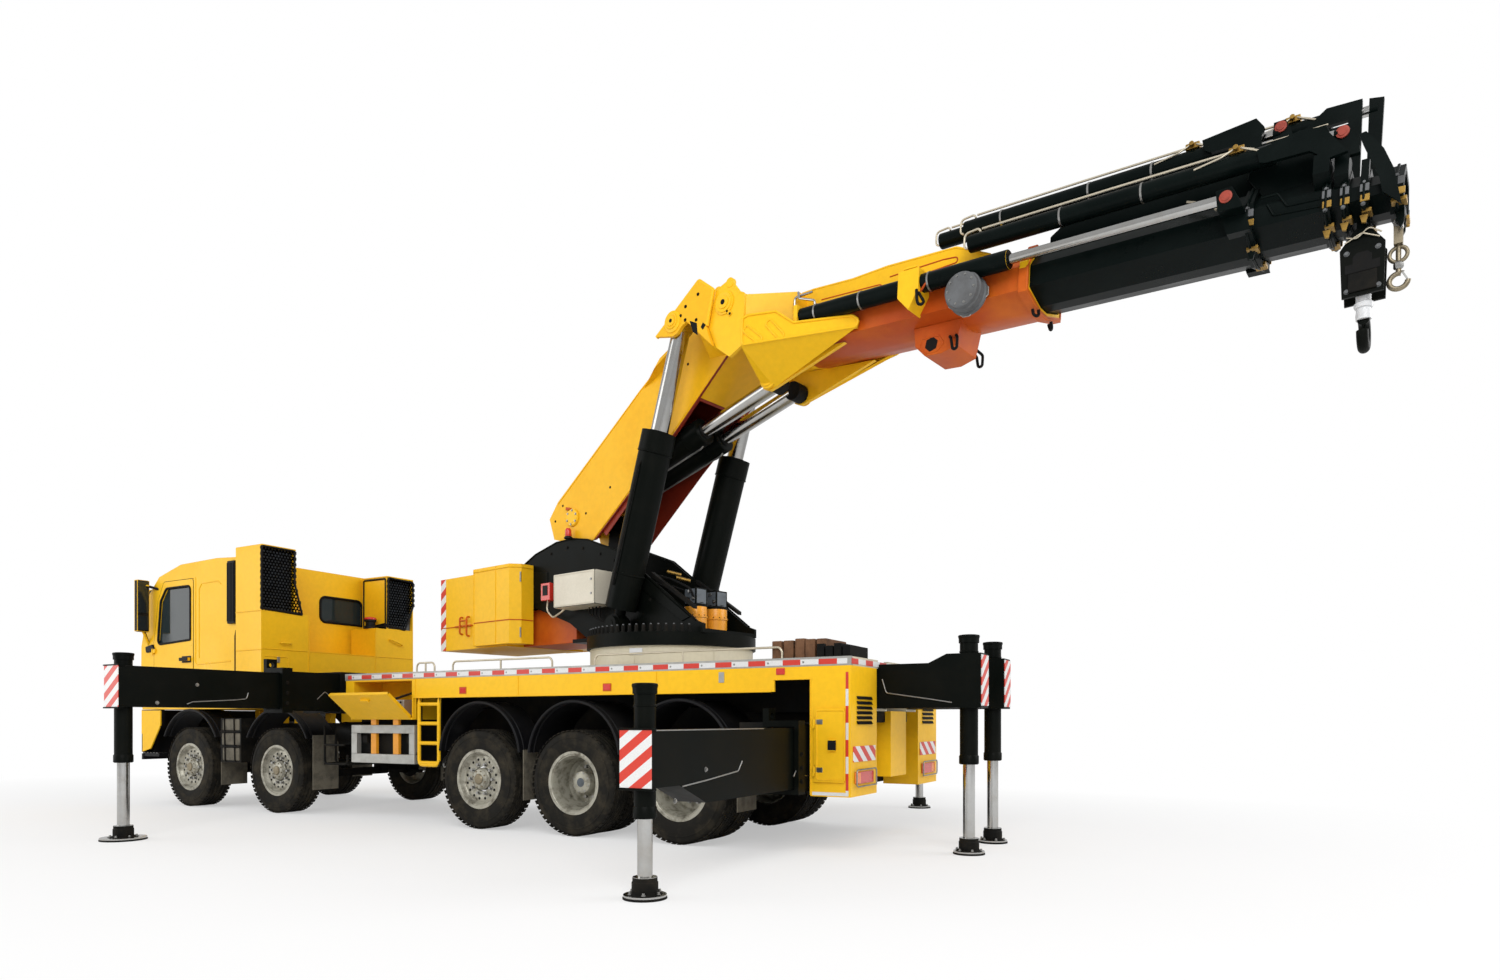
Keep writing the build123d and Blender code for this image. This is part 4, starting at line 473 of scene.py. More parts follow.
# ---------------------------------------------------------------- plain plates and turned shapes
class Piece:
    """Plates, blocks and turned shapes gathered in one mesh."""

    def __init__(self, bench):
        self.mesh = bmesh.new()
        self.bench = bench

    def shell(self, points, faces):
        """Add points and the faces between them."""
        verts = [self.mesh.verts.new(self.bench.place(*p)) for p in points]
        for face in faces:
            self.mesh.faces.new([verts[i] for i in face])
        return self

    def plate(self, outline, low, high, across="y"):
        """Outline in two axes, pushed from low to high along the third."""
        spot = {"x": lambda u, v, t: (t, u, v), "y": lambda u, v, t: (u, t, v),
                "z": lambda u, v, t: (u, v, t)}[across]
        n = len(outline)
        points = [spot(u, v, low) for u, v in outline] + [spot(u, v, high) for u, v in outline]
        walls = [[i, (i + 1) % n, n + (i + 1) % n, n + i] for i in range(n)]
        return self.shell(points, [list(range(n)), list(range(n, 2 * n))] + walls)

    def pair(self, outline, low, high):
        """The same plate on both sides of the middle."""
        return self.plate(outline, low, high).plate(outline, -low, -high)

    def block(self, x0, x1, y0, y1, z0, z1):
        """Box between two places on each axis."""
        return self.plate(oblong(x0, x1, z0, z1), y0, y1)

    def sweep(self, sections, closed=True):
        """Skin over cross sections with the same number of points, each a list of places."""
        n = len(sections[0])
        points = [p for section in sections for p in section]
        faces = [[k * n + i, k * n + (i + 1) % n, (k + 1) * n + (i + 1) % n, (k + 1) * n + i]
                 for k in range(len(sections) - 1) for i in range(n)]
        ends = [list(range(n)), list(range(len(points) - n, len(points)))] if closed else []
        return self.shell(points, faces + ends)

    def turned(self, start, way, profile, sides=40, ring=False):
        """Profile of (distance from start, radius) turned about the line from start along a way.

        A ring closes on itself."""
        base = self.bench.place(*start)
        aim = (self.bench.place(*(Vector(start) + Vector(way))) - base).normalized()
        first = aim.orthogonal().normalized()
        second = aim.cross(first)
        rings = [[self.mesh.verts.new(base + aim * reach + u * first + v * second)
                  for u, v in circle(radius, sides)] for reach, radius in profile]
        for a, b in list(zip(rings, rings[1:])) + ([(rings[-1], rings[0])] if ring else []):
            for i in range(sides):
                self.mesh.faces.new([a[i], a[(i + 1) % sides], b[(i + 1) % sides], b[i]])
        if not ring:
            self.mesh.faces.new(rings[0])
            self.mesh.faces.new(rings[-1])
        return self

    def ready(self, name, finish, bevel=0.0, angle=35.0, replaces=()):
        """Keep the mesh as a piece that rides on the bench's body."""
        bmesh.ops.recalc_face_normals(self.mesh, faces=self.mesh.faces)
        mesh = bpy.data.meshes.new(name + self.bench.tail)
        self.mesh.to_mesh(mesh)
        self.mesh.free()
        mesh.polygons.foreach_set("use_smooth", [True] * len(mesh.polygons))
        mesh.set_sharp_from_angle(angle=math.radians(angle))
        mesh.materials.append(finish)
        thing = bpy.data.objects.new(name + self.bench.tail, mesh)
        bpy.context.scene.collection.objects.link(thing)
        if bevel:
            edge = thing.modifiers.new("edge", "BEVEL")
            edge.width = bevel
            edge.segments = 2
            edge.limit_method = "ANGLE"
            edge.angle_limit = math.radians(40.0)
            edge.harden_normals = True
        if replaces:
            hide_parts(*replaces)
        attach(thing, self.bench.body)


# ---------------------------------------------------------------- wheels
# What differs between a single and a twin wheel: the tyres' places, the rim's section and hub, the nuts'
# seat, the dark discs painted as the shade in the hand holes (seat, circle, count, radius), the hub's bolts
# (circle, height, finish), and the cap (seat, section, finish).
SINGLE = {"treads": (0.0,), "well": [(0.134, 0.297), (0.143, 0.303), (0.143, 0.334), (0.133, 0.338),
                                     (0.13, 0.309), (0.128, 0.29), (0.1, 0.277), (0.085, 0.262),
                                     (0.094, 0.238), (0.094, 0.205), (0.086, 0.185), (0.086, 0.14),
                                     (0.05, 0.14), (0.05, 0.25), (0.02, 0.28), (-0.1, 0.285), (-0.135, 0.31),
                                     (-0.13, 0.302), (-0.12, 0.296), (0.1, 0.296)],
          "hub": [(0.05, 0.128), (0.1, 0.125), (0.115, 0.112), (0.128, 0.108), (0.14, 0.085), (0.144, 0.03)],
          "nut_seat": 0.086, "holes": (0.094, 0.222, 16, 0.015), "bolts": (0.092, 0.016, FORGED),
          "cap": (0.144, [(-0.01, 0.062), (0.004, 0.06), (0.012, 0.05), (0.014, 0.02)], FORGED)}
TWIN = {"treads": (0.17, -0.17), "well": [(0.303, 0.3), (0.309, 0.306), (0.309, 0.335), (0.298, 0.338),
                                          (0.296, 0.309), (0.3, 0.29), (0.25, 0.268), (0.06, 0.262),
                                          (0.02, 0.235), (0.014, 0.15), (-0.02, 0.15), (-0.03, 0.24),
                                          (-0.05, 0.27), (-0.25, 0.275), (-0.305, 0.3), (-0.29, 0.313),
                                          (-0.25, 0.3), (0.25, 0.295)],
        "hub": [(0.0, 0.15), (0.05, 0.15), (0.06, 0.135), (0.15, 0.128), (0.172, 0.115), (0.184, 0.08),
                (0.188, 0.02)], "nut_seat": 0.014, "holes": (0.0, 0.205, 10, 0.024),
        "bolts": (0.1, 0.01, STEEL), "cap": (0.186, [(-0.01, 0.05), (0.002, 0.048), (0.004, 0.02)], MOTOR)}
CENTRE = (0, 0, 0)


def tyre_section(y):
    """Closed tyre section about one tread centre, as (y, radius), with its tread grooves."""
    half = TYRE_W / 2
    flank = [(half - 0.027, RIM_R - 0.004), (half - 0.012, 0.345), (half - 0.001, 0.4), (half, 0.445),
             (half - 0.004, 0.49), (half - 0.01, 0.522), (half - 0.02, 0.54), (half - 0.034, 0.549)]
    tread = [(0.112, 0.553), (0.088, 0.556), (0.085, 0.545), (0.075, 0.545), (0.072, 0.558), (0.034, 0.56),
             (0.031, 0.548), (0.021, 0.548), (0.018, 0.561)]
    side = flank + tread
    return [(y + v, r) for v, r in side] + [(y - v, r) for v, r in reversed(side)]


def wheel(station, number, kind, name, side):
    """Tyres with shoulder lugs, rim with dark discs painted as the shade in its hand holes, nuts and hub, in
    place of the plain solid.
    """
    width = 2 * TYRE_W + 0.03 if kind is TWIN else TYRE_W
    centre = HALF - width / 2

    def place(y, u, v):
        return carrier(station + u, side * (centre + y), WHEEL_Z + v)

    on = Bench(f"wheel_{number}_{name}", place, tail=f"_{number}_{name}")
    tyre = Piece(on)
    lugs, aims, alongs = [], [], []
    for y in kind["treads"]:
        tyre.turned(CENTRE, AHEAD, tyre_section(y), 96, ring=True)
        for v in (-1, 1):
            bead = [(y + v * a, r) for a, r in ((0.1545, 0.47), (0.1575, 0.474), (0.1575, 0.482),
                                                (0.1545, 0.486))]
            tyre.turned(CENTRE, AHEAD, bead, 72, ring=True)
        for edge, radius in ((0.128, 0.5545), (-0.128, 0.5545), (0.053, 0.556), (-0.053, 0.556)):
            lean = math.copysign(0.35, edge)
            for u, v in circle(radius, 54, 0.05 * (edge > 0)):
                lugs.append((y + edge, u, v))
                aims.append((0, u, v))
                alongs.append((1, lean * v, -lean * u))
    tyre.ready("tyre", RUBBER, angle=50, replaces=(on.body,))
    on.bars("tyre_lugs", RUBBER, lugs, aims, alongs, 0.034, 0.044, 0.009)
    rim = Piece(on).turned(CENTRE, AHEAD, kind["well"], 72, ring=True)
    rim.turned(CENTRE, AHEAD, kind["hub"], 48).ready("rim", RIM_SILVER, angle=28)
    nuts = [(kind["nut_seat"], u, v) for u, v in circle(0.1675, 10)]
    on.studs("wheel_nuts", STEEL, nuts, 0.017, 0.034, AHEAD, Washer=1.35)
    # dark discs on the rim stand for the shade inside the hand holes: painted shade
    seat, ring, count, radius = kind["holes"]
    holes = [(seat + 0.0006, u, v) for u, v in circle(ring, count, 0.16)]
    on.studs("hand_hole_shades", SEAL, holes, radius, 0.002, AHEAD, Sides=16, Washer=0.9)
    cap_seat, cap, cap_finish = kind["cap"]
    ring, height, finish = kind["bolts"]
    bolts = [(cap_seat - 0.016, u, v) for u, v in circle(ring, 8, 0.3)]
    on.studs("hub_bolts", finish, bolts, 0.009, height, AHEAD, Washer=1.5)
    cap = [(cap_seat + reach, r) for reach, r in cap]
    Piece(on).turned(CENTRE, AHEAD, cap, 32).ready("hub_cap", cap_finish, angle=30)


for station, number, twin in AXLES:
    for side_name, side in SIDES:
        wheel(station, number, TWIN if twin else SINGLE, side_name, side)


# ---------------------------------------------------------------- cab
CAB_FRONT, CAB_REAR, CAB_HALF = 1.33, -1.04, 1.2
SILL, DOOR_TOP, DOOR_FRONT, DOOR_REAR = 2.33, 3.19, 0.98, -0.02
DOOR_GLASS = [(DOOR_REAR + 0.075, SILL), (DOOR_FRONT - 0.115, SILL - 0.04),
              (DOOR_FRONT - 0.195, DOOR_TOP - 0.29), (DOOR_FRONT - 0.34, DOOR_TOP - 0.11),
              (DOOR_REAR + 0.075, DOOR_TOP - 0.11)]


def grown_outline(outline, amount):
    """Outline moved out from its middle by about the given amount."""
    mu = sum(p[0] for p in outline) / len(outline)
    mv = sum(p[1] for p in outline) / len(outline)
    return [(u + amount * (1 if u > mu else -1), v + amount * (1 if v > mv else -1)) for u, v in outline]


def front_x(z):
    """How far forward the sloping front of the cab stands at a height."""
    return CAB_FRONT - 0.01 - (z - SILL + 0.06) * 0.22 / 0.77


def cab_glass():
    """Windscreen and rear window with their seals."""
    on = Bench()
    ys = [0.1105 * k for k in range(-10, 11)]
    shape = Piece(on).sweep([[(front_x(z) - back - 0.03 * abs(y) ** 3, y, z)
                              for back, row in ((0.012, ys), (0.02, ys[::-1])) for y in row]
                             for z in (2.335, 2.5, 2.7, 2.9, 3.015)])
    shape.ready("windscreen", GLASS)
    shape = Piece(on).block(CAB_REAR + 0.012, CAB_REAR + 0.02, -0.8, -0.06, 2.63, 3.03)
    shape.ready("rear_glass", GLASS, 0.002)
    edge = [(front_x(z), y, z) for y, z in oblong(-1.1, 1.1, 2.34, 3.01)]
    back = [(CAB_REAR - 0.004, y, z) for y, z in oblong(-0.79, -0.07, 2.64, 3.02)]
    on.pipes("cab_seals", SEAL, [closed(edge), closed(back)], 0.017, 0.09)


def cab_door(on):
    """Glass, seal, shut line and handle of one door."""
    door = Bench("cab_door" + on.tail, carrier, on.side, on.tail)
    shape = Piece(door).plate(grown_outline(DOOR_GLASS, 0.012), CAB_HALF - 0.022, CAB_HALF - 0.015)
    shape.ready("door_glass", GLASS)
    door.pipes("door_seal", SEAL, [closed(at_across(CAB_HALF + 0.004, grown_outline(DOOR_GLASS, 0.01)))],
               0.016, 0.07)
    shut = [(DOOR_REAR, 1.39), (DOOR_FRONT - 0.004, 1.39), (DOOR_FRONT - 0.004, SILL),
            (DOOR_FRONT - 0.114, DOOR_TOP - 0.26), (DOOR_FRONT - 0.262, DOOR_TOP), (DOOR_REAR, DOOR_TOP)]
    on.pipes("door_gap", SEAL, [closed(at_across(CAB_HALF + 0.0015, shut))], 0.0042, 0.05, 6)
    shape = Piece(door).block(DOOR_REAR + 0.05, DOOR_REAR + 0.27, CAB_HALF + 0.003, CAB_HALF + 0.012, 1.995,
                              2.09)
    shape.ready("handle_plate", PLASTIC, 0.012)
    shape = Piece(door).block(DOOR_REAR + 0.055, DOOR_REAR + 0.265, CAB_HALF + 0.048, CAB_HALF + 0.058, 2.018,
                              2.067)
    shape.ready("handle_grip", PLASTIC, 0.006)


def cab_side(on):
    """Pressed lines, gutter, mirror and lamp of one side of the cab."""
    lines = [[(-0.075, 3.2), (-0.075, 1.96), (-0.9, 1.985)],
             [(-0.16, 2.05), (-0.16, 3.02), (-0.22, 3.1), (-0.62, 3.11), (-0.68, 3.06)],
             [(-0.98, 1.42), (1.22, 1.42)]]
    on.pipes("side_lines", YELLOW, [at_across(CAB_HALF + 0.0015, line) for line in lines], 0.007, 0.05, 8)
    roof = [(-0.99, 3.4), (-0.54, 3.425), (0.33, 3.405), (0.85, 3.275), (1.1, 3.045)]
    on.pipes("roof_gutter", YELLOW, [at_across(CAB_HALF - 0.0285, roof)], 0.014, 0.3)
    arm = [(0.86, CAB_HALF - 0.02, 3.09), (1.05, CAB_HALF + 0.12, 3.16), (1.05, CAB_HALF + 0.13, 2.55),
           (1.14, CAB_HALF - 0.02, 2.27)]
    on.pipes("mirror_arm", PLASTIC, [arm], 0.019, 0.08)
    inner, outside = CAB_HALF + 0.046, CAB_HALF + 0.219
    shape = Piece(on).block(DOOR_FRONT + 0.025, DOOR_FRONT + 0.115, inner, outside, SILL + 0.135,
                            DOOR_TOP + 0.035)
    shape.ready("mirror_house", PLASTIC, 0.022)
    faces = Piece(on)
    for low, high in ((SILL + 0.16, SILL + 0.37), (SILL + 0.41, DOOR_TOP + 0.01)):
        faces.block(DOOR_FRONT + 0.018, DOOR_FRONT + 0.027, inner + 0.016, outside - 0.016, low, high)
    faces.ready("mirror_faces", MIRROR, 0.003)
    shape = Piece(on).block(CAB_FRONT - 0.2, CAB_FRONT - 0.1, CAB_HALF + 0.004, CAB_HALF + 0.014, 1.475,
                            1.545)
    shape.ready("side_lamp", AMBER, 0.006)
    foot = [(0.93, 2.2), (1.15, 2.17), (1.17, 2.26), (0.99, 2.29)]
    Piece(on).plate(foot, CAB_HALF - 0.01, CAB_HALF + 0.03).ready("mirror_foot", PLASTIC, 0.012)


def cab_front():
    """Visor, wipers, grille, seam and handles."""
    on = Bench()
    visor = [(1.035, 3.135), (1.3, 3.075), (1.315, 3.058), (1.29, 3.055), (1.03, 3.105)]
    shape = Piece(on).sweep([at_across(y, visor) for y in (-1.15, -0.6, 0.0, 0.6, 1.15)])
    shape.ready("visor", PLASTIC, 0.004)
    sweeps = [[(CAB_FRONT + 0.012, y, 2.29), (front_x(2.42) + 0.022, y + 0.06, 2.42),
               (front_x(2.83) + 0.014, y + 0.42, 2.83)] for y in (-0.85, -0.25, 0.35)]
    on.pipes("wipers", PLASTIC, sweeps, 0.009, 0.03)
    shape = Piece(on).plate([(-0.86, 1.46), (0.86, 1.46), (0.92, 2.16), (-0.92, 2.16)], CAB_FRONT - 0.03,
                            CAB_FRONT + 0.006, "x")
    shape.ready("front_grille", PLASTIC, 0.01)
    rows = [(CAB_FRONT + 0.012, 0.0, 1.55 + 0.105 * k) for k in range(6)]
    on.bars("grille_slats", YELLOW, rows, (1, 0, 0.35), ACROSS, 1.62, 0.055, 0.016)
    near, far = CAB_FRONT + 0.004, CAB_FRONT + 0.035
    on.pipes("front_seam", SEAL, [[(near, -1.13, 2.215), (near, 1.13, 2.215)]], 0.006, sides=6)
    handles = [[(near, y - 0.13, 2.24), (far, y - 0.13, 2.24), (far, y + 0.13, 2.24), (near, y + 0.13, 2.24)]
               for y in (-0.7, 0.7)]
    on.pipes("front_handles", PLASTIC, handles, 0.01, 0.02)


def cab():
    """Glass, seals, doors, visor, lamps, grille, intake, seats and dashboard of the cab."""
    cab_glass()
    for on in both():
        cab_door(on)
        cab_side(on)
    cab_front()
    on = Bench()
    # deep ribbed intake behind the cab's left side
    shape = Piece(on).block(CAB_REAR - 0.012, CAB_REAR + 0.152, CAB_HALF - 0.008, CAB_HALF + 0.044, 2.495,
                            3.355)
    shape.ready("intake", PLASTIC, 0.008)
    ribs = [(CAB_REAR + 0.012 + 0.031 * k, CAB_HALF + 0.045, 2.925) for k in range(5)]
    on.bars("intake_ribs", PLASTIC, ribs, ACROSS, UP, 0.8, 0.014, 0.016)
    for on in both():
        seat = Piece(on).block(-0.04, 0.43, 0.37, 0.87, 1.895, 1.945)
        seat.plate([(-0.175, 2.02), (-0.045, 2.02), (-0.115, 2.52), (-0.235, 2.52)], 0.385, 0.855)
        seat.plate([(-0.21, 2.56), (-0.1, 2.56), (-0.135, 2.74), (-0.23, 2.74)], 0.49, 0.75)
        seat.ready("seat_cover", SEAT, 0.03)
    dash = [(0.8, 2.15), (0.79, 2.32), (0.84, 2.385), (1.14, 2.375), (1.14, 2.15)]
    Piece(Bench()).sweep([at_across(y, dash) for y in (-1.06, 0.0, 1.06)]).ready("dashboard", PLASTIC, 0.02)


def bumper():
    """Yellow upper corners, lamps, mesh and the black lip of the bumper."""
    for on in both():
        corner = [(1.03, 0.755), (1.245, 0.705), (1.245, 1.315), (0.77, 1.315), (0.77, 1.1)]
        Piece(on).plate(corner, 1.205, 1.226).ready("bumper_corner", YELLOW, 0.006)
        wrap = [(1.245, 1.224), (1.272, 1.224), (1.404, 0.963), (1.404, 0.62), (1.395, 0.62), (1.395, 0.94),
                (1.245, 1.2)]
        Piece(on).plate(wrap, 0.97, 1.318, "z").ready("bumper_wrap", YELLOW, 0.004)
        lamp = [(0.66, 1.02), (0.93, 1.02), (0.93, 1.2), (0.66, 1.23)]
        Piece(on).plate(lamp, 1.4, 1.409, "x").ready("head_lamp", LENS, 0.006)
        ring = Piece(on)
        for y in (0.73, 0.86):
            ring.turned((1.405, y, 1.115), AHEAD, [(0.0, 0.058), (0.006, 0.058), (0.006, 0.046),
                                                   (0.002, 0.03)], 32)
        ring.ready("lamp_rings", STEEL)
        fog = [(0.0, 0.06), (0.008, 0.06), (0.01, 0.045), (0.004, 0.02)]
        Piece(on).turned((1.4, 0.8, 0.84), AHEAD, fog, 32).ready("fog_lamp", LENS)
        rows = [(x, HALF - 0.1, 0.693) for x in (0.88, 0.96, 1.04, 1.12, 1.2)]
        on.bars("step_treads", STEEL, rows, UP, ACROSS, 0.13, 0.02, 0.008)
    on = Bench()
    Piece(on).block(1.4, 1.406, -0.55, 0.55, 0.99, 1.26).ready("bumper_panel", YELLOW, 0.004)
    on.perforated("bumper_mesh", STEEL, oblong(-0.55, 0.55, 0.76, 0.93), 1.404, 0.035, 0.007)


# ---------------------------------------------------------------- air cleaner and exhaust towers
TOWER_REAR, TOWER_FRONT, TOWER_IN = -1.66, -1.1, 0.76


def tower_grille(on, side, low, top, outline):
    """Framed perforated sheet on a tower's rear, with its lower corner cut, and the dark liner behind it."""
    on.pipes("grille_frame", PLASTIC, [closed((TOWER_REAR - 0.006, u, v) for u, v in outline)], 0.017, 0.02,
             4)
    liner = oblong(side * (TOWER_IN + 0.02), side * (HALF - 0.02), low + 0.02, top - 0.02)
    Piece(on).plate(liner, TOWER_REAR + 0.05, TOWER_REAR + 0.056, "x").ready("grille_liner", MOTOR)
    on.perforated("grille", PLASTIC, outline, TOWER_REAR - 0.004, 0.046, 0.021)


def towers():
    """Grilles, caps, silencer, filler, seams and grips of the two towers behind the cab."""
    low, top = 2.635, 3.51
    outline = [(TOWER_IN - 0.1, low), (TOWER_IN + 0.01, low + 0.42), (TOWER_IN + 0.01, top - 0.012),
               (HALF - 0.004, top - 0.012), (HALF - 0.004, low + 0.03)]
    tower_grille(Bench(tail="_left"), 1, low, top, outline)
    low, top = 2.555, 3.36
    outline = [(-TOWER_IN, low + 0.06), (-TOWER_IN - 0.02, top - 0.012), (0.005 - HALF, top - 0.03),
               (0.005 - HALF, low + 0.4), (0.16 - HALF, low + 0.02)]
    tower_grille(Bench(tail="_right"), -1, low, top, outline)
    on = Bench()
    caps = Piece(on).block(TOWER_REAR - 0.012, TOWER_FRONT + 0.005, 0.752, HALF - 0.002, 3.5, 3.522)
    caps.block(TOWER_REAR - 0.012, TOWER_FRONT + 0.005, -HALF + 0.002, -0.752, 3.35, 3.372)
    caps.ready("tower_caps", YELLOW, 0.008)
    # side sheet of the right tower, seen between the boxes, and the silencer with its guard
    sill = [(TOWER_REAR, 2.5), (TOWER_FRONT - 0.02, 2.5), (TOWER_FRONT - 0.02, 2.6),
            (TOWER_REAR + 0.04, 2.66)]
    Piece(on).plate(sill, -0.775, -0.755).ready("right_tower_sill", PLASTIC, 0.004)
    edge = at_across(-0.752, oblong(TOWER_REAR + 0.03, TOWER_FRONT - 0.04, 2.6, 3.33))
    on.pipes("side_grille_frame", PLASTIC, [closed(edge)], 0.014, 0.02, 4)
    silencer = [(0.0, 0.101), (0.05, 0.105), (0.06, 0.1), (0.33, 0.1), (0.34, 0.105), (0.38, 0.105),
                (0.39, 0.1), (0.66, 0.1), (0.7, 0.08), (0.72, 0.05)]
    Piece(on).turned((CAB_REAR - 0.3, -0.99, 2.57), UP, silencer).ready("silencer", STEEL)
    pot = [(0.0, 0.085), (0.04, 0.085), (0.05, 0.07), (0.1, 0.07), (0.11, 0.088), (0.15, 0.088)]
    Piece(on).turned((CAB_REAR - 0.42, -0.62, 2.56), UP, pot).ready("filler_pot", PLASTIC)
    lid = [(0.0, 0.09), (0.02, 0.09), (0.03, 0.08), (0.04, 0.05)]
    Piece(on).turned((CAB_REAR - 0.42, -0.62, 2.7), UP, lid).ready("filler_lid", RED)
    # hatch lines, hand rails and latch on the boxes
    y, x = HALF + 0.003, TOWER_REAR - 0.003
    seams = [at_across(y, [(TOWER_REAR + end, z), (TOWER_FRONT - end, z)])
             for end, z in ((0.004, 2.635), (0.01, 2.115))]
    seams += [[(x, *p) for p in run] for run in ([(1.24, 2.13), (-1.24, 2.13)],
                                                 [(1.2, 2.03), (0.86, 2.03), (0.86, 1.7)],
                                                 [(0.55, 2.56), (0.55, 1.7)], [(-0.55, 2.5), (-0.55, 1.9)])]
    on.pipes("tower_seams", YELLOW, seams, 0.006, sides=6)
    grips = [[(x, -0.8, 2.4), (x - 0.05, -0.8, 2.4), (x - 0.05, -1.02, 2.33), (x, -1.02, 2.33)],
             [(x, 0.98, 2.22), (x - 0.04, 0.98, 2.22), (x - 0.04, 0.84, 2.22), (x, 0.84, 2.22)]]
    on.pipes("tower_grips", YELLOW, grips, 0.011, 0.02)
    Piece(on).block(x - 0.012, x, 0.99, 1.03, 1.95, 2.03).ready("hatch_latch", STEEL, 0.004)
    hose = [(CAB_HALF + 0.02, 2.4), (CAB_HALF + 0.035, 2.32), (CAB_HALF + 0.035, 1.45)]
    on.pipes("gap_hose", SEAL, [[(TOWER_FRONT + 0.03, *p) for p in hose]], 0.014, 0.05)


# ---------------------------------------------------------------- deck, body sides and what hangs below
TAPE_LOW, TAPE_HIGH = DECK_TOP - 0.066, DECK_TOP - 0.018


def deck():
    """Edge strip with its tape, rivets, lower rails, plate ribs, stacked pads and lashing rings."""
    count = int((DECK_FRONT - DECK_REAR) / 0.36)
    for on in both():
        shape = Piece(on).block(DECK_REAR - 0.002, DECK_FRONT, HALF - 0.046, HALF + 0.002, DECK_TOP - 0.082,
                                DECK_TOP + 0.002)
        shape.ready("edge_strip", GALVANISED, 0.004)
        shape = Piece(on).block(DECK_REAR + 0.03, DECK_FRONT - 0.06, HALF, HALF + 0.0045, TAPE_LOW, TAPE_HIGH)
        shape.ready("edge_tape", TAPE)
        rows = [(DECK_FRONT - 0.16 - 0.36 * k, HALF + 0.004, DECK_TOP - 0.042) for k in range(count)]
        on.studs("edge_rivets", STEEL, rows, 0.007, 0.005, Sides=10)
    on = Bench()
    shape = Piece(on).block(DECK_REAR - 0.006, DECK_REAR - 0.001, -HALF + 0.02, HALF - 0.02, TAPE_LOW,
                            TAPE_HIGH)
    shape.ready("rear_edge_tape", edge_tape("rear_tape", ACROSS, 0.36))
    rows = [(DECK_FRONT - 0.3 - 0.3 * k, 0.0, DECK_TOP - 0.0135) for k in range(8)]
    on.bars("deck_ribs", BEIGE, rows, UP, ACROSS, 2.3, 0.05, 0.006)
    rails = []
    foot, knee, top = DECK_TOP - 0.02, DECK_TOP + 0.075, DECK_TOP + 0.115
    for x0, x1, y in ((-5.05, -6.55, 1.1), (-7.15, -9.35, 1.12), (-4.45, -4.75, 1.1)):
        hoop = [(x0, foot), (x0, knee), (x0 - 0.03, top), (x1 + 0.03, top), (x1, knee), (x1, foot)]
        post = [((x0 + x1) / 2, foot), ((x0 + x1) / 2, top - 0.003)]
        rails += [at_across(side * y, run) for side in (1, -1) for run in (hoop, post)]
    on.pipes("deck_rails", RAIL, rails, 0.011, 0.05)
    skins = Piece(on)
    for side in (1, -1):
        skins.block(-9.7, -8.185, side * 0.592, side * 0.6, 1.254, 1.655)
        skins.block(-9.7, -8.185, side * 0.5, side * 0.596, 1.2535, 1.2625)
    skins.ready("housing_skins", CHASSIS)
    random.seed(4)
    pads, seat = Piece(on), DECK_TOP - 0.027
    for k in range(5):
        x = DECK_REAR + 0.3 + 0.115 * k
        pads.block(x, x + 0.1, 0.62 + 0.02 * random.random(), 1.1 - 0.03 * random.random(), seat,
                   DECK_TOP + 0.17 + 0.03 * random.random())
    pads.ready("support_pads", BROWN, 0.008)
    pads = Piece(on)
    for k in range(4):
        x = DECK_REAR + 0.05 + 0.085 * k
        pads.block(x, x + 0.075, 0.7, 1.14, seat, DECK_TOP + 0.11 + 0.02 * (k % 2))
    pads.ready("dark_pads", CHASSIS, 0.008)


def box_rear(on):
    """Lamps, guard, striped board and louvres on the rear of a box."""
    x = DECK_REAR - 0.002
    Piece(on).block(x - 0.012, x, 0.72, 1.16, 0.6, 0.71).ready("tail_lamp", RED, 0.008)
    Piece(on).block(x - 0.014, x, 1.04, 1.165, 0.605, 0.705).ready("tail_winker", AMBER, 0.008)
    guard = [(x - 0.03, y, z) for y, z in oblong(0.7, 1.18, 0.58, 0.73)]
    on.pipes("tail_guard", STEEL, [closed(guard)], 0.007, 0.03)
    Piece(on).block(x - 0.006, x, 0.66, 1.2, 0.8, 0.94).ready("tail_board", REAR_STRIPES, 0.002)
    vents = [(x - 0.006, 0.93, 1.15 + 0.045 * k) for k in range(6)]
    on.bars("box_louvres", CHASSIS, vents, (-1, 0, 0.5), ACROSS, 0.36, 0.03, 0.006)


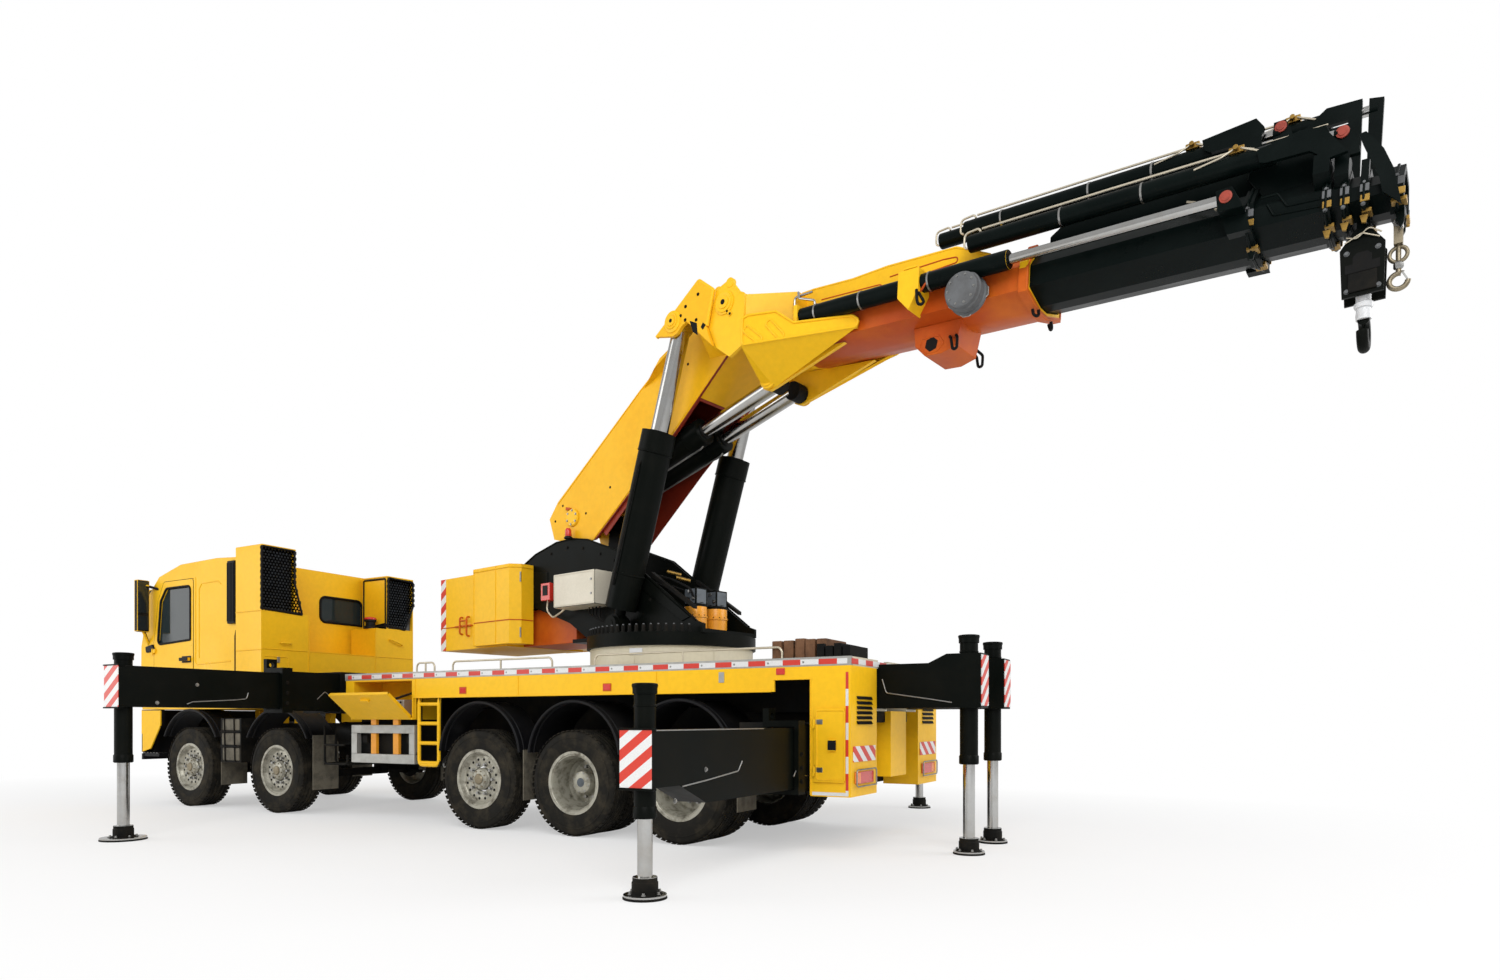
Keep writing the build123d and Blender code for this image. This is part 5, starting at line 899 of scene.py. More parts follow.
def body_sides():
    """Lamps, seams, tape borders, latches and handles of the yellow sides and rear boxes."""
    for on in both():
        lamps = [(-5.37, 1.51), (-7.41, 1.51)]
        marks, rims = Piece(on), Piece(on)
        for x, z in lamps + [(-4.0, 1.56) if on.side < 0 else (-9.4, 1.62)]:
            marks.block(x - 0.045, x + 0.045, HALF, HALF + 0.01, z - 0.03, z + 0.03)
        marks.ready("marker_lamps", RED, 0.006)
        for x, z in lamps:
            rims.block(x - 0.055, x + 0.055, HALF, HALF + 0.005, z - 0.04, z + 0.04)
        rims.ready("marker_frames", ORANGE, 0.003)
        seams = [[(-6.2, 1.445), (-6.2, 1.655)], [(-8.02, 1.445), (-8.02, 1.655)],
                 [(-4.6, 1.19), (-4.6, 1.655)], [(-9.33, 1.545), (-9.7, 1.545)], [(-9.7, 1.545), (-9.7, 0.5)]]
        on.pipes("side_seams", YELLOW, [at_across(HALF + 0.002, run) for run in seams], 0.005, sides=6)
        shape = Piece(on).block(-8.8, -8.74, HALF, HALF + 0.006, 1.53, 1.63)
        shape.ready("side_reflector", GALVANISED, 0.003)
        on.pipes("skirt_edge", YELLOW, [at_across(HALF + 0.002, [(-4.58, 1.437), (-9.3, 1.437)])], 0.007,
                 sides=8)
        box_rear(on)
    tape = Piece(Bench()).block(-10.07, -9.72, HALF, HALF + 0.004, 0.5, 0.53)
    tape.block(-10.07, -10.045, HALF, HALF + 0.004, 0.53, 1.6)
    tape.ready("box_tape", edge_tape("box_tape", UP, 0.3))
    door = Bench("locker_door")
    shape = Piece(door).block(-9.965, -9.885, HALF + 0.03, HALF + 0.042, 0.905, 0.995)
    shape.ready("box_latch", PLASTIC, 0.006)
    leaf = [(-10.04, 0.64), (-9.77, 0.64), (-9.77, 1.26), (-10.04, 1.26)]
    door.pipes("box_door_edge", YELLOW, [closed(at_across(HALF + 0.021, leaf))], 0.006, 0.02, 8)
    straps = Piece(door)
    for z in (0.728, 1.158):
        straps.block(-9.83, -9.762, HALF + 0.019, HALF + 0.026, z - 0.022, z + 0.022)
    straps.ready("box_hinge_straps", STEEL, 0.003)


LOCKER = (-4.56, -3.5)   # rear and front end of the side locker


def locker():
    """Open flap with its struts and latch, and the control panel inside."""
    hinge_y, hinge_z, turn = HALF + 0.015, 1.192, math.radians(50.0)

    def on_flap(x, up, out):
        """A place on the open flap: along the hinge line, up the leaf, out of its outside face."""
        return carrier(x, hinge_y + up * math.sin(turn) + out * math.cos(turn),
                       hinge_z + up * math.cos(turn) - out * math.sin(turn))

    flap, on = Bench("panel_flap", on_flap), Bench()
    x0, x1 = LOCKER[0] + 0.015, LOCKER[1] - 0.015
    fold = Piece(flap)
    for low, high, start in ((x0, x0 + 0.018, 0.02), (x1 - 0.018, x1, 0.02), (x0, x1, 0.425)):
        fold.plate(oblong(start, 0.44, -0.03, -0.008), low, high, "x")
    fold.ready("flap_fold", YELLOW, 0.002)
    Piece(flap).block(-4.03, -3.97, 0.22, 0.3, -0.03, -0.008).ready("flap_latch", STEEL, 0.005)
    # the struts are pinned to the flap's inside face and follow it
    struts = Piece(Bench("panel_flap"))
    for x in (LOCKER[0] + 0.045, LOCKER[1] - 0.045):
        foot = Vector((x, 1.195, 1.5))
        way = Vector((x, 1.265 + 0.33 * math.sin(turn), 1.192 + 0.33 * math.cos(turn))) - foot
        struts.turned(foot, way, [(0.0, 0.014), (way.length, 0.014)], 16)
    struts.ready("flap_struts", PLASTIC)
    cases = Piece(on).block(-4.26, -3.86, 0.93, 1.13, 1.225, 1.42)
    cases.block(-3.84, -3.7, 0.97, 1.12, 1.225, 1.37).ready("control_case", GALVANISED, 0.012)
    Piece(on).block(-4.16, -4.0, 1.129, 1.134, 1.26, 1.39).ready("control_screen", SCREEN, 0.003)
    keys = [(x, 1.131, z) for x in (-3.97, -3.935, -3.9) for z in (1.27, 1.31, 1.35, 1.38)]
    keys += [(-4.21, 1.131, z) for z in (1.27, 1.31, 1.35, 1.39)]
    on.studs("control_keys", PLASTIC, keys, 0.01, 0.01, Sides=12, Washer=1.2)
    levers = [(-3.8 + 0.035 * k, 1.122, 1.3) for k in range(4)]
    on.studs("control_levers", RED, levers, 0.006, 0.04, Sides=10, Washer=2.0)


def guard_rims():
    """Rolled rims of the wheel guards."""
    for station, number, _ in AXLES:
        centre_z, radius, rise = (0.61, 0.708, 0.33) if number < 3 else (0.764, 0.608, 0.06)
        start = math.asin(rise / radius)
        arc = [start + (math.pi - 2 * start) * k / 24 for k in range(25)]
        for on in both():
            on.tail = f"_{number}{on.tail}"
            runs = [[(station + radius * math.cos(t), y, centre_z + radius * math.sin(t)) for t in arc]
                    for y in (HALF - 0.012, HALF - 0.085)]
            on.pipes("guard_rims", PLASTIC, runs, 0.017, 0.0, 8)


def side_gear(on):
    """Mud flaps, strapped step tower, cage and the ends of the reservoirs on one side."""
    flaps, tower, ends = Piece(on), Piece(on), Piece(on)
    for x, z0, z1 in ((-0.735, 0.28, 0.98), (-2.7, 0.28, 0.98), (-6.255, 0.3, 0.85), (-8.93, 0.3, 0.85)):
        flaps.block(x - 0.006, x + 0.006, 0.86, HALF - 0.02, z0, z1)
    flaps.ready("mud_flaps", MUD, 0.002)
    for low, high, x0, x1 in ((0.62, 0.8, -1.19, -0.8), (0.83, 1.0, -1.205, -0.785),
                              (1.03, 1.19, -1.19, -0.8)):
        tower.block(x0, x1, 1.1, HALF + 0.006, low, high)
    tower.ready("step_tower", MUD, 0.018)
    face = HALF + 0.012
    bands = [[(x, face, 0.61), (x + 0.02, face + 0.002, 1.2)] for x in (-1.1, -0.88)]
    bands += [at_across(face, [(-1.215, z), (-0.775, end)]) for z, end in ((0.815, 0.815), (1.01, 1.02))]
    on.pipes("tower_bands", CHASSIS, bands, 0.009)
    cage = [at_across(y, [(-2.84, top), (-2.84, 0.62), (-3.28, 0.62), (-3.28, 0.74)])
            for y, top in ((1.16, 1.1), (1.0, 1.0))]
    cage += [at_across(1.16, [(-2.84, 0.86), (-3.22, 0.86)])]
    cage += [[(x, 1.16, 0.62), (x, 0.6, 0.62)] for x in (-2.84, -3.28)]
    on.pipes("step_cage", CHASSIS, cage, 0.014, 0.05)
    ends.turned((-2.72, 0.76, 1.0), AHEAD, [(0.0, 0.152), (0.014, 0.152), (0.02, 0.1)], 32)
    ends.turned((-3.15, 0.76, 1.0), AHEAD, [(0.0, 0.152), (0.014, 0.152), (0.02, 0.1)], 32)
    ends.ready("reservoir_ends", CHASSIS)


def under_gear():
    """Guards' rims, step towers, guard frame, ladder and tanks."""
    guard_rims()
    for on in both():
        side_gear(on)
    on = Bench()
    guard, posts = Piece(on), Piece(on)
    for x0, x1, z0, z1 in ((-4.585, -3.475, 0.655, 0.765), (-4.585, -3.475, 1.015, 1.115),
                           (-4.585, -4.495, 0.765, 1.015), (-3.575, -3.475, 0.765, 1.015)):
        guard.block(x0, x1, HALF - 0.062, HALF + 0.006, z0, z1)
    guard.ready("guard_frame", GALVANISED, 0.005)
    for x in (-4.25, -3.86):
        posts.block(x - 0.047, x + 0.047, HALF - 0.052, HALF - 0.008, 0.76, 1.185)
    posts.ready("guard_posts", GEARBOX, 0.006)
    y = HALF - 0.03
    rails = [[(x, y - 0.011, 1.43), (x, y, 1.36), (x, y, 0.7), (x - 0.03 * s, y, 0.65),
              (x - 0.16 * s, y, 0.65)] for x, s in ((-4.63, 1), (-4.955, -1))]
    rails += [[(-4.63, y, z), (-4.955, y, z)] for z in (0.675, 0.905, 1.135, 1.36)]
    on.pipes("ladder", YELLOW, rails, 0.022, 0.05)
    tanks, bands = Piece(on), Piece(on)
    for length, z, r in ((0.45, 0.66, 0.11), (0.5, 0.92, 0.12)):
        tanks.turned((-4.7, 0.86, z), (-1, 0, 0), [(0.0, r * 0.5), (0.02, r * 0.85), (0.05, r),
                                                   (length - 0.05, r), (length - 0.02, r * 0.85),
                                                   (length, r * 0.5)])
    tanks.ready("air_tanks", STEEL)
    for x in (-4.8, -5.05):
        for z, r in ((0.66, 0.113), (0.92, 0.123)):
            bands.turned((x, 0.86, z), (-1, 0, 0), [(0.0, r), (0.03, r)])
        bands.block(x - 0.03, x, 0.42, 0.8, 0.86, 0.95)
    bands.block(-5.03, -4.83, 0.84, 0.88, 0.7, 0.9).ready("tank_bands", CHASSIS)


# ---------------------------------------------------------------- outriggers
def lateral(name, on, x, low, high, joint, reach, width, round_r, cut=0.0):
    """Lines, end plate, nuts and welds of a lateral outrigger; cut shortens its arm's end from below."""
    arm = Bench(f"{name}_arm{on.tail}", carrier, on.side)
    beam = Bench(f"{name}_beam{on.tail}", carrier, on.side)
    half, face = width / 2 - 0.024, reach + round_r + 0.03
    near = x - half - 0.001
    shape = Piece(arm).block(x - half - 0.006, x + half + 0.006, face + 0.0006, face + 0.006,
                             low + 0.024 + cut, high - 0.024)
    shape.ready(f"{arm.body}_stripes", END_STRIPES)
    lips = Piece(arm)
    for z0, z1 in ((high - 0.023, high - 0.01), (low + 0.008 + cut, low + 0.023 + cut)):
        lips.block(x - half - 0.018, x + half + 0.018, face - 0.04, face + 0.012, z0, z1)
    lips.ready(f"{arm.body}_lips", BLACK, 0.003)
    bent = [(3.08, low + 0.06), (3.02, low + 0.085), (2.55, low + 0.115), (2.42, low + 0.13),
            (2.4, low + 0.2)]
    if cut:
        bent = [(3.289, 0.705), (2.951, 0.731), (2.487, 0.775), (2.422, 0.851)]
    arm.pipes(f"{arm.body}_line", STEEL, [[(near, *p) for p in bent]], 0.006, 0.03, 8)
    weld = [(near, 2.06, high - 0.026), (near, reach + 0.05, high - 0.026)]
    arm.pipes(f"{arm.body}_weld", STEEL if cut else CHASSIS, [weld], 0.005, sides=6)
    bent = [(1.55, low + 0.14), (1.44, low + 0.24), (1.33, low + 0.14), (1.1, low + 0.11)]
    beam.pipes(f"{beam.body}_line", STEEL, [[(x - width / 2 - 0.001, *p) for p in bent]], 0.006, 0.03, 8)
    arm.studs(f"{arm.body}_nuts", STEEL, [(near, 2.97, low + 0.27), (near, 3.38, low + 0.07)], 0.013, 0.012,
              (-1, 0, 0))
    knobs = [(x - width / 2 - 0.03, joint - 0.065, low + 0.09 + 0.12 * k) for k in range(3)]
    beam.studs(f"{beam.body}_bolts", CHASSIS, knobs, 0.015, 0.012, (-1, 0, 0))


def jack(name, tail, holder, leg, centre, cap, barrel_low, barrel, pad):
    """Cap rim and gland of a jack, and its ball joint and ribbed pad."""
    def place(u, v, z):
        return carrier(centre[0] + u, centre[1] + v, z)

    top = Bench(holder + tail, place, tail=f"{tail}_rims")
    rims = Piece(top).turned((0, 0, cap - 0.03), UP,
                             [(0.0, barrel + 0.011), (0.018, barrel + 0.016), (0.03, barrel + 0.012),
                              (0.034, barrel - 0.01)])
    rims.turned((0, 0, barrel_low + 0.004), UP, [(0.0, barrel - 0.002), (0.002, barrel + 0.007),
                                                 (0.07, barrel + 0.007), (0.08, barrel + 0.001)])
    rims.turned((0, 0, cap - 0.16), UP, [(0.0, barrel + 0.001), (0.004, barrel + 0.005),
                                         (0.012, barrel + 0.005), (0.016, barrel + 0.001)])
    rims.ready(name, BLACK)
    low = Bench(leg + tail, place, tail=f"{tail}_foot")
    foot = [(0.0005, pad + 0.004), (0.012, pad + 0.004), (0.018, pad), (0.034, 0.115), (0.046, 0.092),
            (0.112, 0.092), (0.12, 0.0865), (0.146, 0.0865), (0.149, 0.08)]
    Piece(low).turned((0, 0, -LIFT), UP, foot).ready(name, CHASSIS, angle=25)
    low.tail += "_bolts"
    low.studs(name, STEEL, [(u, v, -0.012) for u, v in circle(0.112, 6)], 0.01, 0.016, UP)


def outriggers():
    """Dressing of the four lateral and the two rearward outriggers."""
    for on, front_x, rear_x in zip(both(), (-3.08, -2.7), (-9.525, -9.135)):
        side, tail = on.side, on.tail
        lateral("front", on, front_x, 1.285, 1.75, 2.02, 3.64, 0.3, 0.08)
        jack("front_jack", tail, "front_arm", "front_leg", (front_x, side * 3.64), 1.86, 0.74, 0.08, 0.205)
        lateral("rear", on, rear_x, 0.54, 1.13, 1.5, 3.56, 0.3, 0.076, cut=0.15)
        jack("rear_jack", tail, "rear_arm", "rear_leg", (rear_x, side * 3.56), 1.425, 0.5, 0.076, 0.15)
        jack("tail_jack", tail, "tail_beam", "tail_leg", (-10.92, side * 0.44), 1.95, 0.77, 0.082, 0.14)
        beam = Bench("tail_beam" + tail, carrier, side, tail)
        shape = Piece(beam).block(-11.0705, -11.0622, 0.322, 0.558, 1.305, 1.765)
        shape.ready("tail_stripes", warning(f"tail_stripe{tail}", (0.0, -0.72, -1.0)))
        line = [(-10.13, 1.56), (-10.17, 1.43), (-10.594, 1.368), (-10.8, 1.335)]
        beam.pipes("tail_line", STEEL, [at_across(0.571, line)], 0.006, 0.03, 8)


cab()
bumper()
towers()
deck()
body_sides()
locker()
under_gear()
outriggers()


# ---------------------------------------------------------------- slewing base and counterweight
FOOT_PIN = (-1.25, 3.6)
RING_TOP = 2.1


def slewing_ring():
    """Ring bolts, and the skirt, seams and tag of the pedestal."""
    base, pedestal = Bench("slewing_base", upper), Bench("carrier", upper)
    ring = [(u, v, RING_TOP + 0.001) for u, v in circle(0.925, 72) if not (abs(v) < 0.47 and abs(u) > 0.8)]
    base.studs("ring_bolts", CHASSIS, ring, 0.021, 0.075, UP, Washer=1.3)
    tips = [(u, v, z + 0.074) for u, v, z in ring]
    base.studs("ring_bolt_tips", IRON, tips, 0.01, 0.014, UP, Sides=10, Washer=1.1)
    skirt = [(0.0, 0.924), (0.012, 0.924), (0.016, 0.921), (0.225, 0.921), (0.229, 0.927), (0.243, 0.927)]
    Piece(pedestal).turned((0, 0, 1.715), UP, skirt, 96).ready("pedestal_skirt", BEIGE)
    turns = [(0.9225 * math.cos(t), 0.9225 * math.sin(t)) for t in (0.3, 1.25, 2.2, 3.4, 4.6, 5.6)]
    pedestal.pipes("pedestal_seams", BEIGE, [[(u, v, 1.74), (u, v, 1.95)] for u, v in turns], 0.005, sides=6)
    tag = [(0.24, 0.893), (0.38, 0.843), (0.382, 0.848), (0.242, 0.898)]
    Piece(pedestal).plate(tag, 1.86, 1.93, "z").ready("pedestal_tag", WHITE)


def side_plates():
    """Edge beads, doublers, rails, bolts and the foot pin's heads on the two side plates."""
    base = Bench("slewing_base", upper)
    edge = [(-2.24, 3.07), (-1.9, 3.225), (-1.5, 3.325), (-1.2, 3.335), (-0.93, 3.29), (-0.39, 3.09),
            (0.78, 2.225)]
    base.pipes("plate_beads", BLACK, [at_across(side * 0.449, edge) for side in (1, -1)], 0.01, 0.1, 8)
    doublers = Piece(base).pair([(-0.3, 2.98), (0.7, 2.27), (0.58, 2.23), (-0.36, 2.86)], 0.448, 0.462)
    doublers.pair([(-2.19, 2.62), (-1.66, 2.62), (-1.66, 2.98), (-2.19, 3.02)], 0.448, 0.456)
    doublers.ready("plate_doublers", BLACK, 0.004)
    rail = [(0.06, 2.82), (0.7, 2.4), (0.7, 2.36), (0.06, 2.77)]
    Piece(base).pair(rail, 0.405, 0.34).ready("gusset_rails", CHASSIS, 0.004)
    bolts = [(r, side * 0.456, h) for side in (1, -1) for r, h in ((-1.955, 2.83), (-1.975, 2.67))]
    base.studs("plate_bolts", BRASS, bolts, 0.02, 0.018, [ACROSS] * 2 + [(0, -1, 0)] * 2)
    nuts = [(-1.6, 3.2), (-1.3, 3.24), (-1.02, 3.2), (-0.72, 3.1), (-0.48, 3.0), (0.1, 2.5), (-0.1, 2.2)]
    base.studs("plate_nuts", CHASSIS, at_across(0.449, nuts), 0.014, 0.012)
    r, h = FOOT_PIN
    head = [(0.0, 0.105), (0.014, 0.105), (0.018, 0.099), (0.025, 0.097), (0.027, 0.07), (0.03, 0.068),
            (0.03, 0.03)]
    for on in both("slewing_base", upper):
        Piece(on).turned((r, 0.402, h), ACROSS, head, 48).ready("foot_pin_head", YELLOW)
        bolts = [(r + u, 0.428, h + v) for u, v in circle(0.082, 6, 0.4)]
        on.studs("foot_pin_bolts", STEEL, bolts, 0.01, 0.01)


def control_gear():
    """Control box, isolator, conduit and hoses on the operator's side."""
    base = Bench("slewing_base", upper)
    Piece(base).block(-1.213, -0.489, 0.44, 0.733, 2.477, 2.873).ready("control_box", CREAM, 0.016)
    lid = closed(at_across(0.735, oblong(-1.19, -0.51, 2.5, 2.85)))
    base.pipes("control_box_seam", CREAM, [lid], 0.0035, 0.02, 6)
    base.studs("control_box_locks", STEEL, at_across(0.735, [(-0.55, 2.6), (-0.55, 2.76)]), 0.01, 0.01,
               Sides=12)
    Piece(base).block(-1.61, -1.44, 0.457, 0.6, 2.61, 2.82).ready("isolator_box", RED, 0.008)
    Piece(base).block(-1.57, -1.48, 0.598, 0.606, 2.67, 2.79).ready("isolator_face", PLASTIC, 0.003)
    conduit = [(-1.56, 0.53, 2.62), (-1.58, 0.53, 2.5), (-1.44, 0.55, 2.4), (-1.27, 0.57, 2.45),
               (-1.14, 0.56, 2.52), (-1.06, 0.56, 2.55)]
    base.pipes("conduit", RAIL, [conduit], 0.011, 0.08)
    lines = [[(0.06 * k - 0.8, 0.54, 2.48), (0.06 * k - 0.8, 0.54, 2.4 - 0.02 * k),
              (0.04 * k - 0.6, 0.5, 2.3 - 0.02 * k), (-0.47, 0.47, 2.27 - 0.02 * k)] for k in range(4)]
    base.pipes("control_lines", SEAL, lines, 0.009, 0.05, 8)


def slewing_drives():
    """Two gearboxes with their motors, and the hoses that feed them."""
    case = [(0.0, 0.14), (0.03, 0.14), (0.035, 0.127), (0.19, 0.127), (0.195, 0.136), (0.215, 0.136),
            (0.22, 0.127), (0.31, 0.127), (0.33, 0.115), (0.342, 0.1)]
    for number, w in ((1, 0.15), (2, -0.19)):
        on = Bench("slewing_base", upper, tail=f"_{number}")
        Piece(on).turned((0.5, w, RING_TOP), UP, case).ready("gearbox", GEARBOX)
        bolts = [(0.5 + u, w + v, RING_TOP + 0.212) for u, v in circle(0.131, 12)]
        on.studs("gearbox_bolts", CHASSIS, bolts, 0.006, 0.012, UP)
        Piece(on).block(0.408, 0.592, w - 0.092, w + 0.092, 2.432, 2.622).ready("motor", MOTOR, 0.022)
        shape = Piece(on).turned((0.5, w, 2.42), UP, [(0.0, 0.085), (0.03, 0.085), (0.04, 0.1)], 24)
        shape.ready("motor_neck", CHASSIS)
        ports = at_across(w + 0.093, [(0.44, 2.5), (0.56, 2.5), (0.5, 2.58)])
        on.studs("motor_ports", STEEL, ports, 0.016, 0.022, Washer=1.2)
    base = Bench("slewing_base", upper)
    feed = [[(0.5, 0.24, 2.5), (0.4, 0.28, 2.52), (0.22, 0.28, 2.62), (0.0, 0.28, 2.72)],
            [(0.56, 0.245, 2.5), (0.56, 0.29, 2.6), (0.3, 0.31, 2.72), (0.02, 0.31, 2.8)],
            [(0.44, -0.09, 2.5), (0.3, -0.02, 2.6), (0.05, 0.05, 2.7)]]
    base.pipes("motor_lines", SEAL, feed, 0.013, 0.08)
    unions = [[(0.12, 0.2, 2.84), (0.24, 0.1, 2.8)], [(0.26, 0.2, 2.76), (0.38, 0.1, 2.72)]]
    base.pipes("swivel_unions", BRASS, unions, 0.02)


def counterweight():
    """Seam line, hinges, latch and striped corner of the ballast boxes."""
    edge = [(-3.7, 0.622), (-2.902, 0.622), (-2.762, 0.752), (-2.03, 0.752), (-1.928, 0.642), (-1.928, 0.47)]
    for on in both("slewing_base", upper):
        for label, h, size, finish, start in (("seam", 2.405, 0.007, ORANGE, 0),
                                              ("top_edge", 3.052, 0.01, YELLOW, 2),
                                              ("low_edge", 2.118, 0.008, YELLOW, 2)):
            on.pipes(f"ballast_{label}", finish, [[(r, w, h) for r, w in edge[start:]]], size, sides=8)
        stripes = warning(f"ballast_stripe{on.tail}", (0.72, 0.0, 1.0), 0.2)
        Piece(on).block(-3.699, -3.585, 0.6, 0.624, 2.102, 3.058).ready("ballast_stripes", stripes)
        hinges = [at_across(0.655, [(-1.93, h - 0.06), (-1.93, h + 0.06)]) for h in (2.93, 2.25)]
        on.pipes("ballast_hinges", STEEL, hinges, 0.01)
        latch = [[(r, 0.624, 2.52), (r, 0.665, 2.52), (r, 0.665, low), (r, 0.624, low)]
                 for r, low in ((-3.2, 2.3), (-3.05, 2.27))]
        latch += [at_across(0.64, [(-3.34, 2.405), (-2.98, 2.405)]),
                  at_across(0.665, [(-3.2, 2.47), (-3.05, 2.47)])]
        on.pipes("ballast_latch", ORANGE, latch, 0.012, 0.03)
        folds = [at_across(w, [(r, 2.125), (r, 3.085)]) for r, w in ((-2.3, 0.7525), (-2.76, 0.752))]
        on.pipes("ballast_folds", YELLOW, folds, 0.006, sides=8)
    base = Bench("slewing_base", upper)
    link = [(-2.27, 2.105), (-1.24, 2.105), (-1.24, 2.335), (-1.88, 2.55), (-2.27, 2.55)]
    Piece(base).plate(link, -0.356, 0.356).ready("ballast_link", ORANGE, 0.006)
    Piece(base).block(-3.55, -2.45, -0.5, 0.5, 3.055, 3.068).ready("ballast_lid", YELLOW, 0.006)


# ---------------------------------------------------------------- main boom and its cylinders
def boss(on, r, w, h, sizes):
    """Stepped round boss: rings of (height, radius) standing on a plate."""
    steps = [step for height, radius in sizes for step in ((height - 0.01, radius), (height, radius - 0.003))]
    return Piece(on).turned((r, w, h), ACROSS, [(0.0, sizes[0][1])] + steps + [(sizes[-1][0], 0.012)], 48)


def boom_painted_shade():
    """Painted shade: dark red strips along the main boom's lower edges, and dark red sheets inside its open
    head, where shade falls.
    """
    boom = Bench("main_boom", upper)
    edge = [(-0.86, 3.3), (0.43, 4.305), (1.15, 4.935), (1.258, 5.022), (1.262, 5.012), (1.152, 4.924),
            (0.434, 4.294), (-0.856, 3.29)]
    Piece(boom).plate(edge, -0.398, -0.372).plate(edge, 0.372, 0.398).ready("underside_shade_edges", PAINTED_SHADE_RED)
    inner = [(-0.7, 3.32), (0.43, 4.28), (0.76, 4.58), (0.92, 5.16), (0.92, 5.4), (0.43, 5.12), (-0.1, 4.78),
             (-1.3, 3.9)]
    roof = [(-1.3, 3.88), (-0.1, 4.76), (0.43, 5.1), (0.92, 5.38), (0.93, 5.4), (0.43, 5.125), (-0.1, 4.785),
            (-1.31, 3.9)]
    end = [(0.74, 4.58), (0.915, 5.2), (0.925, 5.2), (0.755, 4.57)]
    # dark red sheets inside the open head stand for its shade: painted shade
    shade_sheets = Piece(boom).plate(inner, 0.36, 0.369).plate(inner, -0.369, -0.36)
    shade_sheets.plate(roof, -0.366, 0.366).plate(end, -0.366, 0.366).ready("boom_shade_sheets", PAINTED_SHADE_RED)


def boom_side(on):
    """Welds, boss, bolts, black plates painted as the shade of the head's pockets, edge, sling lugs and plugs
    on one side of the main boom.
    """
    weld = [[(-0.87, 3.31), (0.42, 4.315), (0.93, 4.76)],
            [(-1.52, 3.81), (-0.11, 4.855), (0.44, 5.22), (0.98, 5.575)]]
    on.pipes("boom_welds", BOOM_YELLOW, [at_across(0.401, run) for run in weld], 0.008, 0.15, 8)
    shape = boss(on, 0.75, 0.772, 5.27, [(0.01, 0.112), (0.026, 0.078), (0.034, 0.052)])
    shape.ready("lift_pin_boss", YELLOW)
    bolts = [(0.93, 5.375), (0.86, 5.3), (0.925, 5.24), (1.075, 5.2), (1.1, 5.45)]
    on.studs("head_bolts", CHASSIS, at_across(0.772, bolts), 0.012, 0.01)
    # flat black plates stand for the shade inside the head's pockets: painted shade
    pocket = Piece(on).plate([(0.985, 5.215), (1.085, 5.165), (1.095, 5.04), (1.03, 5.09)], 0.77, 0.7745)
    pocket.plate([(1.165, 5.15), (1.205, 5.115), (1.165, 5.075), (1.135, 5.11)], 0.77, 0.7745)
    pocket.ready("head_pocket_shades", SEAL, 0.004)
    edge = at_across(0.752, [(0.505, 5.178), (1.1, 5.592), (1.285, 5.445), (1.2, 5.11)])
    on.pipes("head_edge", YELLOW, [edge], 0.021, 0.02, 10)
    lugs = Piece(on)
    for r, h in ((1.055, 5.62), (0.55, 5.3)):
        lugs.turned((r, 0.385, h), ACROSS, [(0.0, 0.055), (0.03, 0.055)], 24)
    lugs.ready("sling_lugs", YELLOW, 0.003)
    stop = [(-1.36, 3.7), (-1.28, 3.7), (-1.28, 3.72), (-1.36, 3.74)]
    Piece(on).plate(stop, 0.4, 0.425).ready("foot_stop", ORANGE, 0.003)
    plugs = [(-1.02, 3.62), (-0.6, 3.86), (-1.44, 3.77), (-1.58, 3.6), (0.18, 4.62), (0.62, 4.98)]
    on.studs("boom_plugs", CHASSIS, at_across(0.4005, plugs), 0.01, 0.006, Sides=12)


def main_boom():
    """Painted shade under and inside the main boom, both sides of the main boom, the beacon and the boom
    lamp.
    """
    boom_painted_shade()
    for on in both("main_boom", upper):
        boom_side(on)
    base, boom = Bench("slewing_base", upper), Bench("main_boom", upper)
    foot = [(0.0, 0.05), (0.02, 0.05), (0.022, 0.036), (0.035, 0.034)]
    Piece(base).turned((-1.25, 0.475, 3.335), UP, foot, 24).ready("beacon_base", PLASTIC)
    lens = [(0.0, 0.038), (0.022, 0.042), (0.026, 0.038), (0.07, 0.038), (0.095, 0.024)]
    Piece(base).turned((-1.25, 0.475, 3.365), UP, lens, 24).ready("beacon_lens", RED)
    lamp = [(0.0, 0.035), (0.05, 0.035), (0.055, 0.03), (0.1, 0.03), (0.115, 0.015)]
    Piece(boom).turned((-1.4, 0.2, 3.86), (-0.22, 0.0, 0.24), lamp, 24).ready("boom_lamp", RED)
    Piece(boom).block(-1.5, -1.38, 0.12, 0.32, 3.83, 3.9).ready("lamp_bracket", PLASTIC, 0.01)


